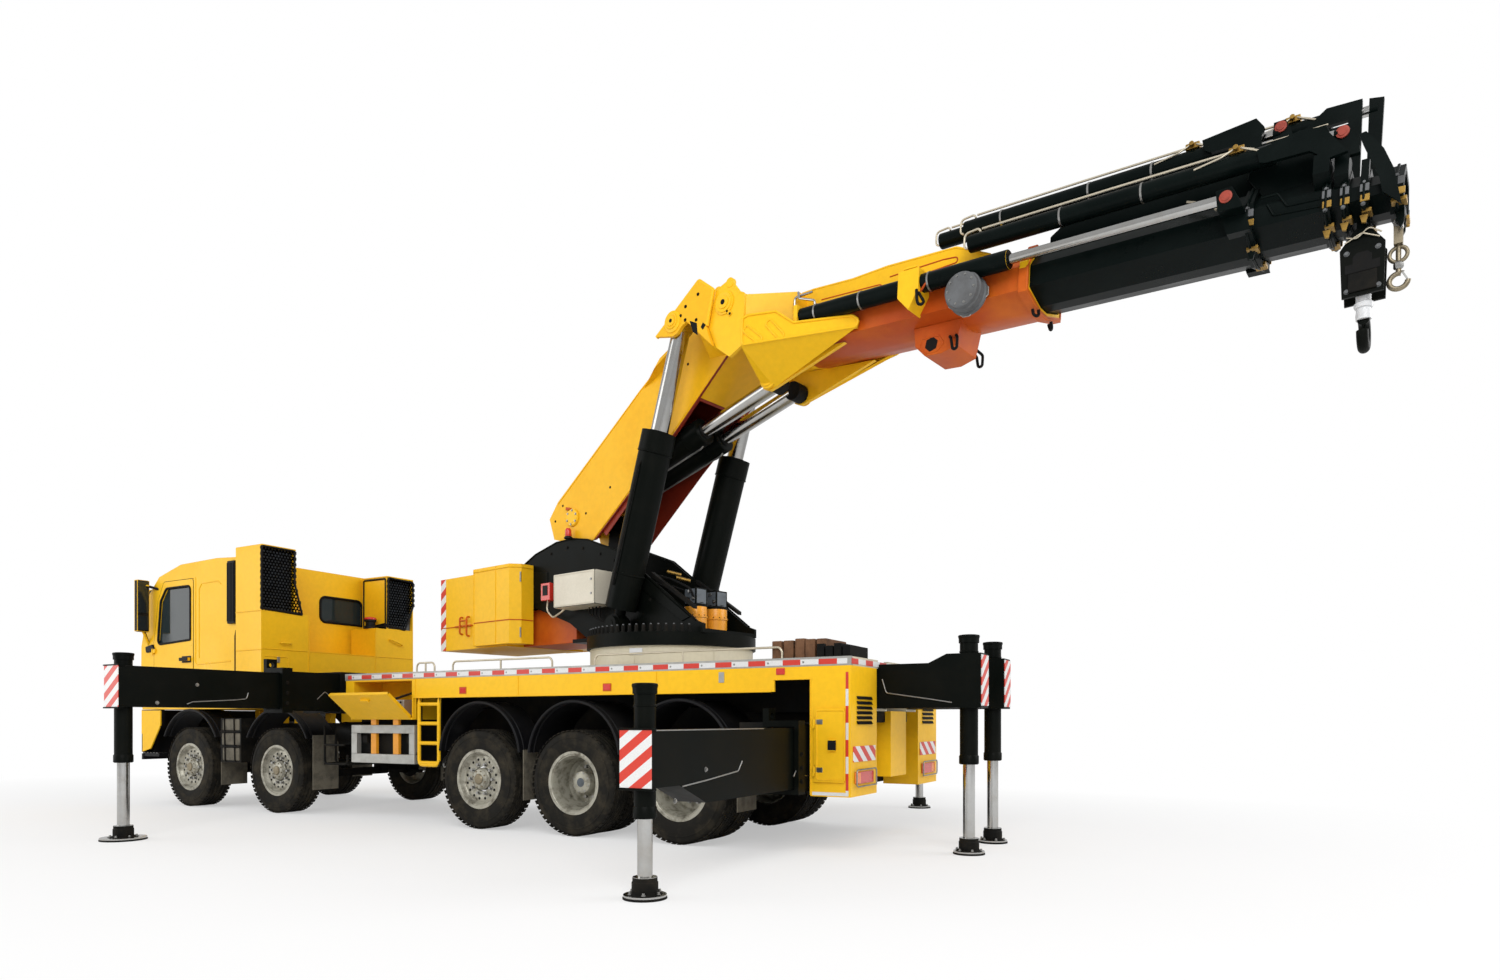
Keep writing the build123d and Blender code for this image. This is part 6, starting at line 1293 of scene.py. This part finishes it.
def cylinder(on, part, base, eye, spacing, radius, barrel, strap):
    """Bands and gland of one cylinder; its eye cover and its pipe."""
    length = math.dist(base, eye)
    along, up = (eye[0] - base[0]) / length, (eye[1] - base[1]) / length

    def at(reach, u=0.0, v=0.0):
        """A place that far along the cylinder, off its axis upwards by u and outwards by v."""
        return base[0] + along * reach - up * u, spacing + v, base[1] + up * reach + along * u

    way, foot = (along, 0, up), at(0)
    rim = [(barrel - 0.003, radius - 0.02), (barrel - 0.001, radius + 0.002),
           (barrel + 0.004, radius - 0.004), (barrel + 0.005, radius - 0.05)]
    bands = Piece(on).turned(foot, way, rim, 48)
    for reach in (barrel - 0.225, strap):
        high = radius + (0.013 if reach > 1 else 0.006)
        bands.turned(foot, way, [(reach, radius + 0.0005), (reach + 0.006, high), (reach + 0.016, high),
                                 (reach + 0.022, radius + 0.0005)], 48)
    bands.ready(f"{part}_bands", BLACK)
    gland = [(barrel - 0.01, radius * 0.62), (barrel + 0.014, radius * 0.62), (barrel + 0.016, radius * 0.58)]
    Piece(on).turned(foot, way, gland).ready(f"{part}_wiper", SEAL)
    if part == "lift":
        run = [at(0.42, v=0.19), at(0.5, v=0.195), at(1.7, v=0.195), at(1.76, v=0.17)]
        on.pipes("lift_pipe", CHASSIS, [run], 0.012, 0.03)
    else:
        rods = Bench("fold_rods", upper, tail=on.tail)
        cover = [(0.0, 0.05), (0.001, 0.0965), (0.153, 0.0965), (0.154, 0.05)]
        shape = Piece(rods).turned((eye[0], on.side * spacing - 0.077, eye[1]), ACROSS, cover)
        shape.ready("fold_eye", CHASSIS)
        run = [at(0.25, -0.15), at(0.32, -0.162), at(1.3, -0.162), at(1.34, -0.145)]
        on.pipes("fold_pipe", STEEL, [run], 0.01, 0.03)


def cylinders():
    """Both lift cylinders and both folding cylinders."""
    for on in both("lift_barrels", upper):
        cylinder(on, "lift", (-0.23, 2.24), (0.75, 5.27), 0.628, 0.175, 2.09, 0.55)
    for on in both("fold_barrels", upper):
        cylinder(on, "fold", (-0.7, 3.925), (1.64, 4.605), 0.165, 0.14, 1.4, 0.3)


# ---------------------------------------------------------------- outer boom
BASE_SECTION = [(0.19, -0.07), (0.345, -0.24), (0.345, -0.43), (0.07, -0.512)]
EXTENSION = (0.455, -0.215)   # across and height of the extension cylinders


def gusset(x, z, out=0.0):
    """Places on the gusset skin of the outer boom, out of its face."""
    return x + 0.2873 * out, 0.74 - 0.3 * (x - 0.17) + 0.9579 * out, z


def base_tube():
    """Painted shade: a red-orange skin over the base tube's sides and underside, with its mouth collar and
    lip in the same colour.
    """
    boom = Bench("outer_boom", outer)
    ring = BASE_SECTION + [(-w, z) for w, z in reversed(BASE_SECTION)]

    def section(x, grow):
        """The tube's section at a place along it, grown outwards."""
        return [(x, w * (1 + grow / 0.345), z + (grow if z > -0.2 else -grow)) for w, z in ring]

    tube = [section(0.6, -0.004), section(0.61, 0.0025), section(2.885, 0.0025)]
    # the red-orange skin, collar and lip stand for the shade of the yellow paint on the tube: painted shade
    Piece(boom).sweep(tube, closed=False).ready("base_tube_shade_skin", ORANGE)
    collar = [section(2.884, 0.0), section(2.886, 0.0385), section(2.962, 0.0385), section(2.964, 0.01)]
    Piece(boom).sweep(collar, closed=False).ready("mouth_collar", ORANGE)
    boom.pipes("mouth_lip", ORANGE, [closed(section(2.955, 0.03))], 0.012, 0.03, 8)


def knuckle_side(on):
    """Boss, keeper, eye and edge of the knuckle cheek, with the gusset's edge and slots."""
    boss(on, 0.0, 0.724, 0.0, [(0.012, 0.118), (0.024, 0.098), (0.032, 0.064)]).ready("knuckle_boss", YELLOW)
    keeper = [(0.02, -0.085), (0.075, -0.15), (0.105, -0.125), (0.05, -0.06)]
    Piece(on).plate(keeper, 0.724, 0.736).ready("pin_keeper", YELLOW, 0.003)
    on.studs("keeper_bolts", CHASSIS, at_across(0.736, [(0.045, -0.092), (0.082, -0.125)]), 0.009, 0.008)
    shape = Piece(on).turned((0.06, 0.684, 0.185), ACROSS, [(0.0, 0.048), (0.046, 0.048)], 28)
    shape.ready("cheek_eye", YELLOW, 0.003)
    cheek = [(-0.12, 0.146), (0.06, 0.215), (0.19, 0.06), (0.235, 0.04)]
    on.pipes("cheek_edge", YELLOW, [at_across(0.715, cheek)], 0.012, 0.06, 8)
    rim = [(0.235, -0.205), (0.289, -0.178), (0.567, -0.174), (0.745, -0.302), (1.3, -0.302), (1.352, -0.345),
           (1.338, -0.408), (0.24, -0.458)]
    on.pipes("gusset_edge", YELLOW, [closed(gusset(x, z, 0.003) for x, z in rim)], 0.012, 0.03, 8)
    slots = []
    for (xa, za), (xb, zb) in (((0.262, -0.3), (0.43, -0.44)), ((0.485, -0.262), (0.64, -0.43))):
        length = math.dist((xa, za), (xb, zb)) / 0.034
        nx, nz = (za - zb) / length, (xb - xa) / length
        loop = [(xa + nx, za + nz), (xb + nx, zb + nz), (xb - nx, zb - nz), (xa - nx, za - nz)]
        slots.append(closed(gusset(x, z, 0.002) for x, z in loop))
    on.pipes("gusset_slots", YELLOW, slots, 0.009, 0.033, 8)
    boss(on, 0.2655, 0.318, -0.672, [(0.012, 0.1), (0.03, 0.078), (0.036, 0.045)]).ready("lug_boss", YELLOW)
    keeper = [(0.34, -0.6), (0.46, -0.565), (0.465, -0.585), (0.345, -0.62)]
    Piece(on).plate(keeper, 0.318, 0.33).ready("lug_keeper", YELLOW, 0.003)
    bolts = [(0.36, 0.33, -0.606), (0.45, 0.33, -0.578), (0.335, 0.318, -0.73)]
    on.studs("lug_bolts", CHASSIS, bolts, 0.009, 0.008)


def extension_barrel(on):
    """Painted barrel of an extension cylinder with its straps, pipes, clamp, tongue and rest."""
    w, z = EXTENSION
    barrel = [(0.0, 0.058), (0.006, 0.0775), (2.128, 0.0775), (2.136, 0.07), (2.136, 0.042)]
    Piece(on).turned((0.698, w, z), AHEAD, barrel, 48).ready("extension_barrel", STAGE_BLACK, angle=28)
    straps = Piece(on)
    for x in (0.93, 1.42, 2.115):
        straps.turned((x, w, z), AHEAD, [(0.0, 0.078), (0.001, 0.0825), (0.017, 0.0825), (0.018, 0.078)])
    straps.ready("barrel_straps", STEEL)
    elbows = [[(0.71, 0.4, -0.13), (0.62, 0.4, -0.1), (0.62, 0.4, 0.02), (0.8, 0.36, 0.05)],
              [(0.9, w, -0.137), (0.9, w, -0.09), (0.7, 0.44, -0.02), (0.66, 0.4, 0.06)]]
    on.pipes("barrel_elbows", CHROME, elbows, 0.012, 0.035)
    clamp = [(1.85, -0.105), (2.053, -0.105), (2.053, -0.298), (1.962, -0.452), (1.85, -0.332)]
    Piece(on).plate(clamp, 0.325, 0.549).ready("barrel_clamp", YELLOW, 0.006)
    tongue = Piece(on).block(1.9, 2.03, 0.2, 0.549, -0.1, -0.085)
    tongue.turned((1.965, 0.36, -0.085), UP, [(0.0, 0.03), (0.045, 0.03)], 24)
    tongue.ready("clamp_tongue", YELLOW, 0.004)
    Piece(on).block(0.718, 0.762, 0.3, 0.549, -0.302, -0.128).ready("barrel_rest", YELLOW, 0.004)


def hose_drum():
    """Hose drum and its flange on the operator's side."""
    boom = Bench("outer_boom", outer)
    drum = [(0.0, 0.11), (0.06, 0.11), (0.06, 0.168), (0.075, 0.168), (0.085, 0.15), (0.155, 0.15),
            (0.16, 0.162), (0.172, 0.162), (0.18, 0.15), (0.215, 0.146), (0.222, 0.135), (0.224, 0.1),
            (0.219, 0.06)]
    Piece(boom).turned((2.46, 0.34, -0.4), ACROSS, drum, 56).ready("side_drum", IRON, angle=28)
    bolts = [(2.46 + u, 0.562, -0.4 + v) for u, v in circle(0.118, 10)]
    boom.studs("drum_bolts", STEEL, bolts, 0.008, 0.008)
    flange = [(2.29, -0.36), (2.34, -0.31), (2.58, -0.31), (2.645, -0.37), (2.645, -0.43), (2.54, -0.52),
              (2.48, -0.575), (2.42, -0.575), (2.28, -0.46)]
    Piece(boom).plate(flange, 0.402, 0.417).ready("drum_flange", STEEL, 0.003)


def top_box_side(on):
    """Pressed outline on one side of the top box."""
    top = [(0.56, 0.146), (0.7, 0.153), (1.15, 0.141), (1.53, 0.163), (2.22, 0.15), (2.54, 0.004)]
    on.pipes("top_edge", YELLOW, [at_across(0.196, top)], 0.012, 0.08, 8)
    press = [[(1.56, 0.06), (2.1, 0.075), (2.22, 0.065), (2.3, 0.02), (1.98, 0.0)],
             [(0.8, 0.03), (1.46, 0.015), (1.5, -0.03)]]
    on.pipes("top_press", ORANGE, [at_across(0.2015, run) for run in press], 0.007, 0.03, 8)


def on_both_sides(runs):
    """Runs, each followed by its mirror image."""
    return [[(x, side * w, z) for x, w, z in run] for run in runs for side in (1, -1)]


def outer_boom():
    """Painted shade skin of the base tube, knuckle, cylinders, drum, top box, under bracket, shackles and
    pipes of the outer boom.
    """
    base_tube()
    for on in both("outer_boom", outer):
        knuckle_side(on)
        extension_barrel(on)
    hose_drum()
    for on in both("outer_boom", outer):
        top_box_side(on)
    boom = Bench("outer_boom", outer)
    top = [(0.55, 0.1), (0.55, 0.145), (0.7, 0.1535), (1.15, 0.1415), (1.53, 0.1635), (2.23, 0.1515),
           (2.56, 0.0035), (2.6, -0.07), (0.55, -0.07)]
    Piece(boom).plate(top, -0.2025, 0.2025).ready("top_box", YELLOW, 0.005)
    shape = Piece(boom).plate([(1.52, 0.162), (1.56, 0.185), (2.18, 0.178), (2.22, 0.15)], -0.15, 0.15)
    shape.ready("top_step", YELLOW, 0.006)
    # flat dark hexagons on the under bracket stand for the shade inside its holes: painted shade
    holes = Piece(boom)
    for side in (1, -1):
        holes.turned((2.02, side * 0.2005, -0.65), (0, side, 0), [(0.0, 0.066), (0.004, 0.066)], 6)
    holes.ready("bracket_hole_shades", SEAL)
    rim = [(1.93, -0.585), (2.09, -0.585), (2.14, -0.66), (2.08, -0.72), (1.95, -0.72), (1.9, -0.65)]
    boom.pipes("bracket_rims", ORANGE, [closed(at_across(side * 0.202, rim)) for side in (1, -1)], 0.009,
               0.02, 8)
    bracket = [(1.835, -0.478), (2.305, -0.478), (2.262, -0.702), (2.12, -0.748), (1.958, -0.743),
               (1.856, -0.642)]
    Piece(boom).plate(bracket, -0.2035, 0.2035).ready("under_bracket", ORANGE, 0.006)
    ties = [[(2.2, 0.205, -0.62), (2.24, 0.26, -0.66), (2.26, 0.26, -0.76), (2.3, 0.26, -0.76),
             (2.3, 0.26, -0.66), (2.26, 0.205, -0.62)],
            [(2.935, 0.18, -0.545), (2.95, 0.19, -0.6), (2.98, 0.15, -0.6), (2.97, 0.14, -0.545)],
            [(2.04, 0.55, -0.3), (2.06, 0.57, -0.4), (2.09, 0.56, -0.5), (2.11, 0.54, -0.41),
             (2.05, 0.53, -0.32)]]
    boom.pipes("shackles", SEAL, on_both_sides(ties), 0.013, 0.03)
    stays = [[(2.05, 0.5, -0.3), (2.12, 0.52, -0.24), (2.28, 0.44, -0.27)]]
    boom.pipes("drum_pipes", ORANGE, on_both_sides(stays), 0.01, 0.04)


# ---------------------------------------------------------------- telescope
# each stage's mouth and the length of its collar
STAGES = [(4.58, 0.07), (5.04, 0.05), (5.14, 0.05), (5.25, 0.05), (5.44, 0.08)]
# upper cylinders: stage, across, height, barrel from and to, rod's eye, places of the straps
UPPER_BARRELS = [(1, -0.15, 0.47, 2.13, 4.29, 4.64, (2.475, 3.238, 3.737)),
                 (2, 0.3, 0.085, 2.4, 4.7, 5.089, (3.182, 3.802)),
                 (3, -0.38, 0.56, 1.76, 4.93, 5.21, (2.45, 3.35))]


def stage_ring(level, grow):
    """Eight-sided section of a stage as (across, height), about 22 mm smaller on every side each time."""
    step = 0.022 * level - grow
    right = [(0.19 - 0.46 * step, -0.07 - step), (0.345 - step, -0.24 - 0.43 * step),
             (0.345 - step, -0.43 + 0.75 * step), (0.07 - 0.14 * step, -0.512 + step)]
    return right + [(-w, z) for w, z in reversed(right)]


def stage_mouth(level, mouth, collar):
    """Bead, wear pads, keepers, bolts and pad tongue at the mouth of a stage."""
    on = Bench(f"stage_{level}", outer, tail=f"_{level}")
    middle = mouth - collar * 0.5
    rim = closed((middle, w, z) for w, z in stage_ring(level, 0.028))
    on.pipes("collar_bead", STAGE_BLACK, [rim], 0.01, 0.02, 8)
    pads, shoes = Piece(on), Piece(on)
    half, low = 0.369 - 0.022 * level, 0.022 * level - 0.536
    for side in (1, -1):
        pads.block(mouth - collar + 0.006, mouth + 0.01, side * (half - 0.002), side * (half + 0.009), -0.395,
                   -0.35)
        pads.block(mouth - collar + 0.01, mouth + 0.016, side * 0.1, side * 0.2, low + 0.02, low + 0.045)
        shoes.block(mouth - collar + 0.002, mouth + 0.004, side * (half - 0.004), side * (half + 0.01), -0.33,
                    -0.28)
    pads.ready("wear_pads", BRASS, 0.003)
    shoes.ready("pad_keepers", IRON, 0.003)
    rows = [(middle, side * (half + 0.004), z) for side in (1, -1) for z in (-0.27, -0.41)]
    on.studs("collar_bolts", IRON, rows, 0.009, 0.014, [ACROSS] * 2 + [(0, -1, 0)] * 2)
    if level < 5:
        tongue = [(mouth - 0.05, low + 0.004), (mouth, low + 0.004), (mouth - 0.012, low - 0.051),
                  (mouth - 0.036, low - 0.046)]
        Piece(on).plate(tongue, 0.18, 0.2).ready("pad_tongue", BRASS if level > 1 else STAGE_BLACK, 0.002)


def upper_cylinder(level, w, z, start, end, eye, straps):
    """Barrel, straps, rod, bent pipes and valve of an upper extension cylinder."""
    on = Bench(f"stage_{level}", outer, tail=f"_{level}")
    length = end - start
    skin = [(0.0, 0.05), (0.006, 0.07), (0.02, 0.0705), (length - 0.02, 0.0705), (length + 0.002, 0.07),
            (length + 0.004, 0.04)]
    Piece(on).turned((start - 0.002, w, z), AHEAD, skin, 44).ready("upper_barrel", STAGE_BLACK, angle=28)
    bands = Piece(on)
    for x in straps:
        bands.turned((x, w, z), AHEAD, [(0.0, 0.071), (0.001, 0.0755), (0.016, 0.0755), (0.017, 0.071)], 36)
    bands.ready("upper_straps", STEEL)
    rod = Bench(f"stage_{level + 1}", outer, tail=on.tail)
    shape = Piece(rod).turned((end + 0.01, w, z), AHEAD, [(0.0, 0.0358), (eye - end - 0.06, 0.0358)], 32)
    shape.ready("upper_rod", CHROME)
    elbows = [[(start + x, w + 0.02, z + up) for x, up in ((0.1, 0.07), (0.1, 0.105), (-0.045, 0.09),
                                                           (-0.045, -0.05), (0.0, -0.04))]]
    elbows.append([(x, w + 0.03, z + up) for x, up in ((start + 0.12, 0.088), (start + 0.5 * length, 0.09),
                                                       (end - 0.2, 0.086), (end - 0.14, 0.06))])
    on.pipes("upper_pipes", RAIL, elbows, 0.009, 0.04)
    valve = Piece(on).block(end - 0.3, end - 0.2, w - 0.03, w + 0.05, z + 0.066, z + 0.11)
    valve.turned((end - 0.25, w + 0.01, z + 0.09), ACROSS, [(0.0, 0.018), (0.075, 0.018)], 16)
    valve.ready("valve_block", BRASS, 0.004)
    branch = [[(-0.25, 0.05, 0.1), (-0.34, 0.07, 0.05), (-0.52, 0.07, 0.02)],
              [(-0.22, 0.05, 0.09), (-0.1, 0.07, 0.02), (-0.02, 0.05, 0.0)]]
    branch = [[(end + x, w + v, z + up) for x, v, up in run] for run in branch]
    on.pipes("valve_pipes", RAIL, branch, 0.007, 0.03, 8)


def hose_channel(level, outline):
    """Hose channel on a stage's top with its raised line."""
    on = Bench(f"stage_{level}", outer, tail=f"_{level}")
    shape = Piece(on).plate(outline, 0.085 * level - 0.07, 0.085 * level + 0.009)
    shape.ready("hose_channel", STAGE_BLACK, 0.006)
    line = [(x + 0.01, 0.08 * level, z + 0.006) for x, z in outline[1:4]]
    on.pipes("hose_channel_line", RAIL, [line], 0.006, 0.03, 8)


def telescope():
    """Mouths, upper cylinders, hose channels, lugs, pins and pipes of the telescope."""
    for level, (mouth, collar) in enumerate(STAGES, 1):
        stage_mouth(level, mouth, collar)
    for sizes in UPPER_BARRELS:
        upper_cylinder(*sizes)
    hose_channel(1, [(3.02, -0.1), (3.02, 0.06), (3.12, 0.13), (4.47, 0.165), (4.52, 0.12), (4.565, -0.108)])
    hose_channel(2, [(4.5, 0.02), (4.52, 0.2), (4.6, 0.25), (4.97, 0.25), (5.025, 0.14), (5.025, -0.13),
                     (4.6, -0.13)])
    first, second, third = (Bench(f"stage_{level}", outer) for level in (1, 2, 3))
    web = [(4.79, 0.475), (5.045, 0.475), (5.062, -0.1), (4.93, -0.1), (4.86, 0.1)]
    Piece(third).plate(web, -0.335, -0.306).ready("bracket_web", STAGE_BLACK, 0.003)
    for on in both("stage_1", outer):
        rod = [(0.0, 0.0388), (1.53, 0.0388)]
        Piece(on).turned((2.842, *EXTENSION), AHEAD, rod, 36).ready("extension_rod", CHROME)
        pin = [(0.0, 0.042), (0.01, 0.042), (0.012, 0.03), (0.016, 0.028)]
        Piece(on).turned((4.435, 0.505, -0.225), ACROSS, pin, 28).ready("extension_pin", PIN_RED)
        lug = [(4.366, -0.165), (4.471, -0.162), (4.527, -0.269), (4.548, -0.319), (4.386, -0.313)]
        Piece(on).plate(lug, 0.49, 0.508).ready("extension_lug", STAGE_BLACK, 0.004)
    for label, on, place in (("1", second, (4.64, -0.128, 0.5)), ("2", third, (5.089, 0.32, 0.085))):
        pin = [(0.0, 0.04), (0.012, 0.04), (0.014, 0.028), (0.018, 0.026)]
        Piece(on).turned(place, ACROSS, pin, 28).ready(f"bracket_pin_{label}", PIN_RED)
    runs = [[(4.1, 0.19, -0.02), (4.2, 0.24, -0.08), (4.3, 0.3, -0.15), (4.34, 0.331, -0.21)],
            [(3.4, 0.1, -0.085), (3.46, 0.19, -0.085), (4.1, 0.19, -0.085), (4.2, 0.12, -0.085)]]
    first.pipes("stage_pipes", RAIL, runs, 0.009, 0.04)
    ribs = [[(4.62, 0.305, -0.2), (4.72, 0.305, -0.2), (4.78, 0.303, -0.3), (4.98, 0.303, -0.31)],
            [(4.66, 0.304, -0.26), (4.7, 0.304, -0.34), (4.98, 0.303, -0.36)]]
    second.pipes("stage_ribs", STAGE_BLACK, ribs, 0.008, 0.02, 8)


def hanging(x, z):
    """Place system whose middle is a place of the outer boom, with its axes level."""
    r, h = KNUCKLE[0] + x * TILT_COS + z * TILT_SIN, KNUCKLE[1] - x * TILT_SIN + z * TILT_COS
    return lambda u, v, t: upper(r + u, v, h + t)


def hooks():
    """Painted crosshead and white swivel of the main hook, wire pins, and the small hook's nut."""
    hook = Bench("hook_block", hanging(5.21, -0.515))
    head = [(0.0, 0.052), (0.014, 0.058), (0.03, 0.058), (0.04, 0.046), (0.1, 0.046)]
    Piece(hook).turned((0, 0, -0.485), UP, head, 32).ready("hook_swivel", WHITE)
    shape = Piece(hook).turned((0, 0, -0.565), UP, [(0.0, 0.046), (0.03, 0.048), (0.085, 0.042)], 32)
    shape.ready("hook_shank", WHITE)
    seats = ((-0.09, -0.12), (0.09, -0.12), (-0.09, -0.38), (0.09, -0.38), (0.0, -0.335))
    bolts = [(u, side * 0.0905, v) for side in (1, -1) for u, v in seats]
    hook.studs("hook_block_bolts", IRON, bolts, 0.012, 0.012, [ACROSS] * 5 + [(0, -1, 0)] * 5)
    arch = [(-0.1, -0.2), (-0.055, -0.2), (-0.055, -0.155), (-0.03, -0.13), (0.03, -0.13), (0.055, -0.155),
            (0.055, -0.2), (0.1, -0.2), (0.1, -0.26), (-0.1, -0.26)]
    Piece(hook).pair(arch, 0.0895, 0.0925).ready("hook_block_arches", SEAL)
    block = oblong(-0.085, 0.085, -0.395, -0.265)
    Piece(hook).pair(block, 0.089, 0.104).ready("hook_trunnion", CHASSIS, 0.01)
    wires = [[(-0.09, 0.095, -0.01), (-0.03, 0.11, -0.04), (0.04, 0.11, 0.02), (0.11, 0.095, -0.03)],
             [(-0.1, 0.1, -0.05), (0.0, 0.115, -0.01), (0.1, 0.1, -0.06)]]
    hook.pipes("hook_pin_clips", RAIL, wires, 0.005, 0.03, 8)
    tip = Bench("tip_hook", hanging(5.405, -0.481))
    nut = Piece(tip).turned((0, 0, -0.3), UP, [(0.0, 0.022), (0.01, 0.03), (0.04, 0.03), (0.05, 0.022)], 6)
    nut.turned((0, -0.048, 0), ACROSS, [(0.0, 0.028), (0.096, 0.028)], 20).ready("tip_hook_nut", STEEL)
    latch = [(0.018, -0.325), (0.028, -0.325), (0.052, -0.375), (0.044, -0.38)]
    Piece(tip).plate(latch, -0.008, 0.008).ready("tip_hook_latch", STEEL)


def pin_ends():
    """Painted shade: dark discs standing for the centre bores of the pins on the head, the knuckle and the
    lug.
    """
    for head, boom in zip(both("main_boom", upper), both("outer_boom", outer)):
        shape = Piece(head).turned((0.75, 0.805, 5.27), ACROSS, [(0.0, 0.02), (0.0025, 0.02)], 20)
        shape.ready("lift_pin_bore_shade", SEAL)
        bores = Piece(boom).turned((0.0, 0.7555, 0.0), ACROSS, [(0.0, 0.026), (0.0025, 0.026)], 20)
        bores.turned((0.2655, 0.3535, -0.672), ACROSS, [(0.0, 0.024), (0.0025, 0.024)], 20)
        bores.ready("pin_bore_shades", SEAL)


slewing_ring()
side_plates()
control_gear()
slewing_drives()
counterweight()
main_boom()
cylinders()
outer_boom()
telescope()
hooks()
pin_ends()


# ---------------------------------------------------------------- studio
FLOOR_HALF = 90.0
WHITE_LIGHT = (1.0, 1.0, 1.0, 1.0)
CLEAR_ZONE, FADE_END = 3.6, 8.0   # the floor fades into the backdrop between these distances
LENS_MM = 21.7128                 # focal length for a frame 36 mm wide
LOOK_UP = 0.15333333              # upward shift of the lens, in frame widths
EYE = (-13.153, 8.66, 1.175)
LOOK_ALONG = (0.4818, -0.8763, 0.0)


def studio_floor():
    """Pale floor that fades into the backdrop as the camera sees it."""
    mesh = bpy.data.meshes.new("floor")
    corners = oblong(-FLOOR_HALF, FLOOR_HALF, -FLOOR_HALF, FLOOR_HALF)
    mesh.from_pydata([(x, y, -0.001) for x, y in corners], [], [(0, 1, 2, 3)])
    floor = bpy.data.objects.new("floor", mesh)
    bpy.context.scene.collection.objects.link(floor)
    mat, out = shader("studio_floor", 0.9, colour=(0.86, 0.86, 0.86))
    tree = mat.node_tree
    place = node(tree, "ShaderNodeTexCoord").outputs["Object"]
    near = node(tree, "ShaderNodeVectorMath", {0: place, 1: (0.5, 1.0, 0.0)}, operation="MULTIPLY").outputs[0]
    far = node(tree, "ShaderNodeVectorMath", {0: near}, operation="LENGTH").outputs["Value"]
    fade = stepped(tree, far, CLEAR_ZONE, FADE_END, 0.45, 1.0)
    direct = node(tree, "ShaderNodeLightPath").outputs["Is Camera Ray"]
    seen = node(tree, "ShaderNodeMath", {0: fade, 1: direct}, operation="MULTIPLY").outputs[0]
    glow = node(tree, "ShaderNodeEmission", {"Color": WHITE_LIGHT, "Strength": 1.0}).outputs[0]
    blend = node(tree, "ShaderNodeMixShader", {0: seen, 1: out.outputs[0], 2: glow}).outputs[0]
    tree.links.new(blend, tree.nodes["Material Output"].inputs["Surface"])
    mesh.materials.append(mat)


def studio_world():
    """White backdrop for the camera, and softer light from all round."""
    world = bpy.data.worlds.new("studio")
    bpy.context.scene.world = world
    world.use_nodes = True
    tree = world.node_tree
    soft = tree.nodes["Background"]
    soft.inputs["Color"].default_value = WHITE_LIGHT
    soft.inputs["Strength"].default_value = 0.62
    seen = node(tree, "ShaderNodeBackground", {"Color": WHITE_LIGHT, "Strength": 1.0}).outputs[0]
    direct = node(tree, "ShaderNodeLightPath").outputs["Is Camera Ray"]
    mix = node(tree, "ShaderNodeMixShader", {0: direct, 1: soft.outputs[0], 2: seen}).outputs[0]
    tree.links.new(mix, tree.nodes["World Output"].inputs["Surface"])


def lamp(name, place, target, width, power):
    """Square lamp of a width in metres that points at a target."""
    data = bpy.data.lights.new(name, "AREA")
    data.size = width
    data.energy = power
    thing = bpy.data.objects.new(name, data)
    thing.location = place
    thing.rotation_euler = (Vector(target) - Vector(place)).to_track_quat("-Z", "Y").to_euler()
    bpy.context.scene.collection.objects.link(thing)


def camera():
    """Camera that looks level at the machine from its left rear, with the lens shifted up."""
    data = bpy.data.cameras.new("camera")
    data.sensor_width = 36.0
    data.lens = LENS_MM
    data.shift_y = LOOK_UP
    data.clip_end = 400.0
    cam = bpy.data.objects.new("camera", data)
    cam.location = carrier(*EYE)
    cam.rotation_euler = Vector(LOOK_ALONG).to_track_quat("-Z", "Y").to_euler()
    bpy.context.scene.collection.objects.link(cam)
    bpy.context.scene.camera = cam


studio_floor()
studio_world()
lamp("key", (-11.0, 16.0, 13.0), (-1.0, 0.0, 2.0), 12.0, 2300.0)
lamp("fill", (15.0, 12.0, 7.0), (1.0, 0.0, 2.0), 12.0, 900.0)
lamp("back", (-17.0, -6.0, 9.0), (-1.0, 0.0, 2.0), 10.0, 1000.0)
camera()
view = bpy.context.scene.view_settings
view.view_transform = "Standard"
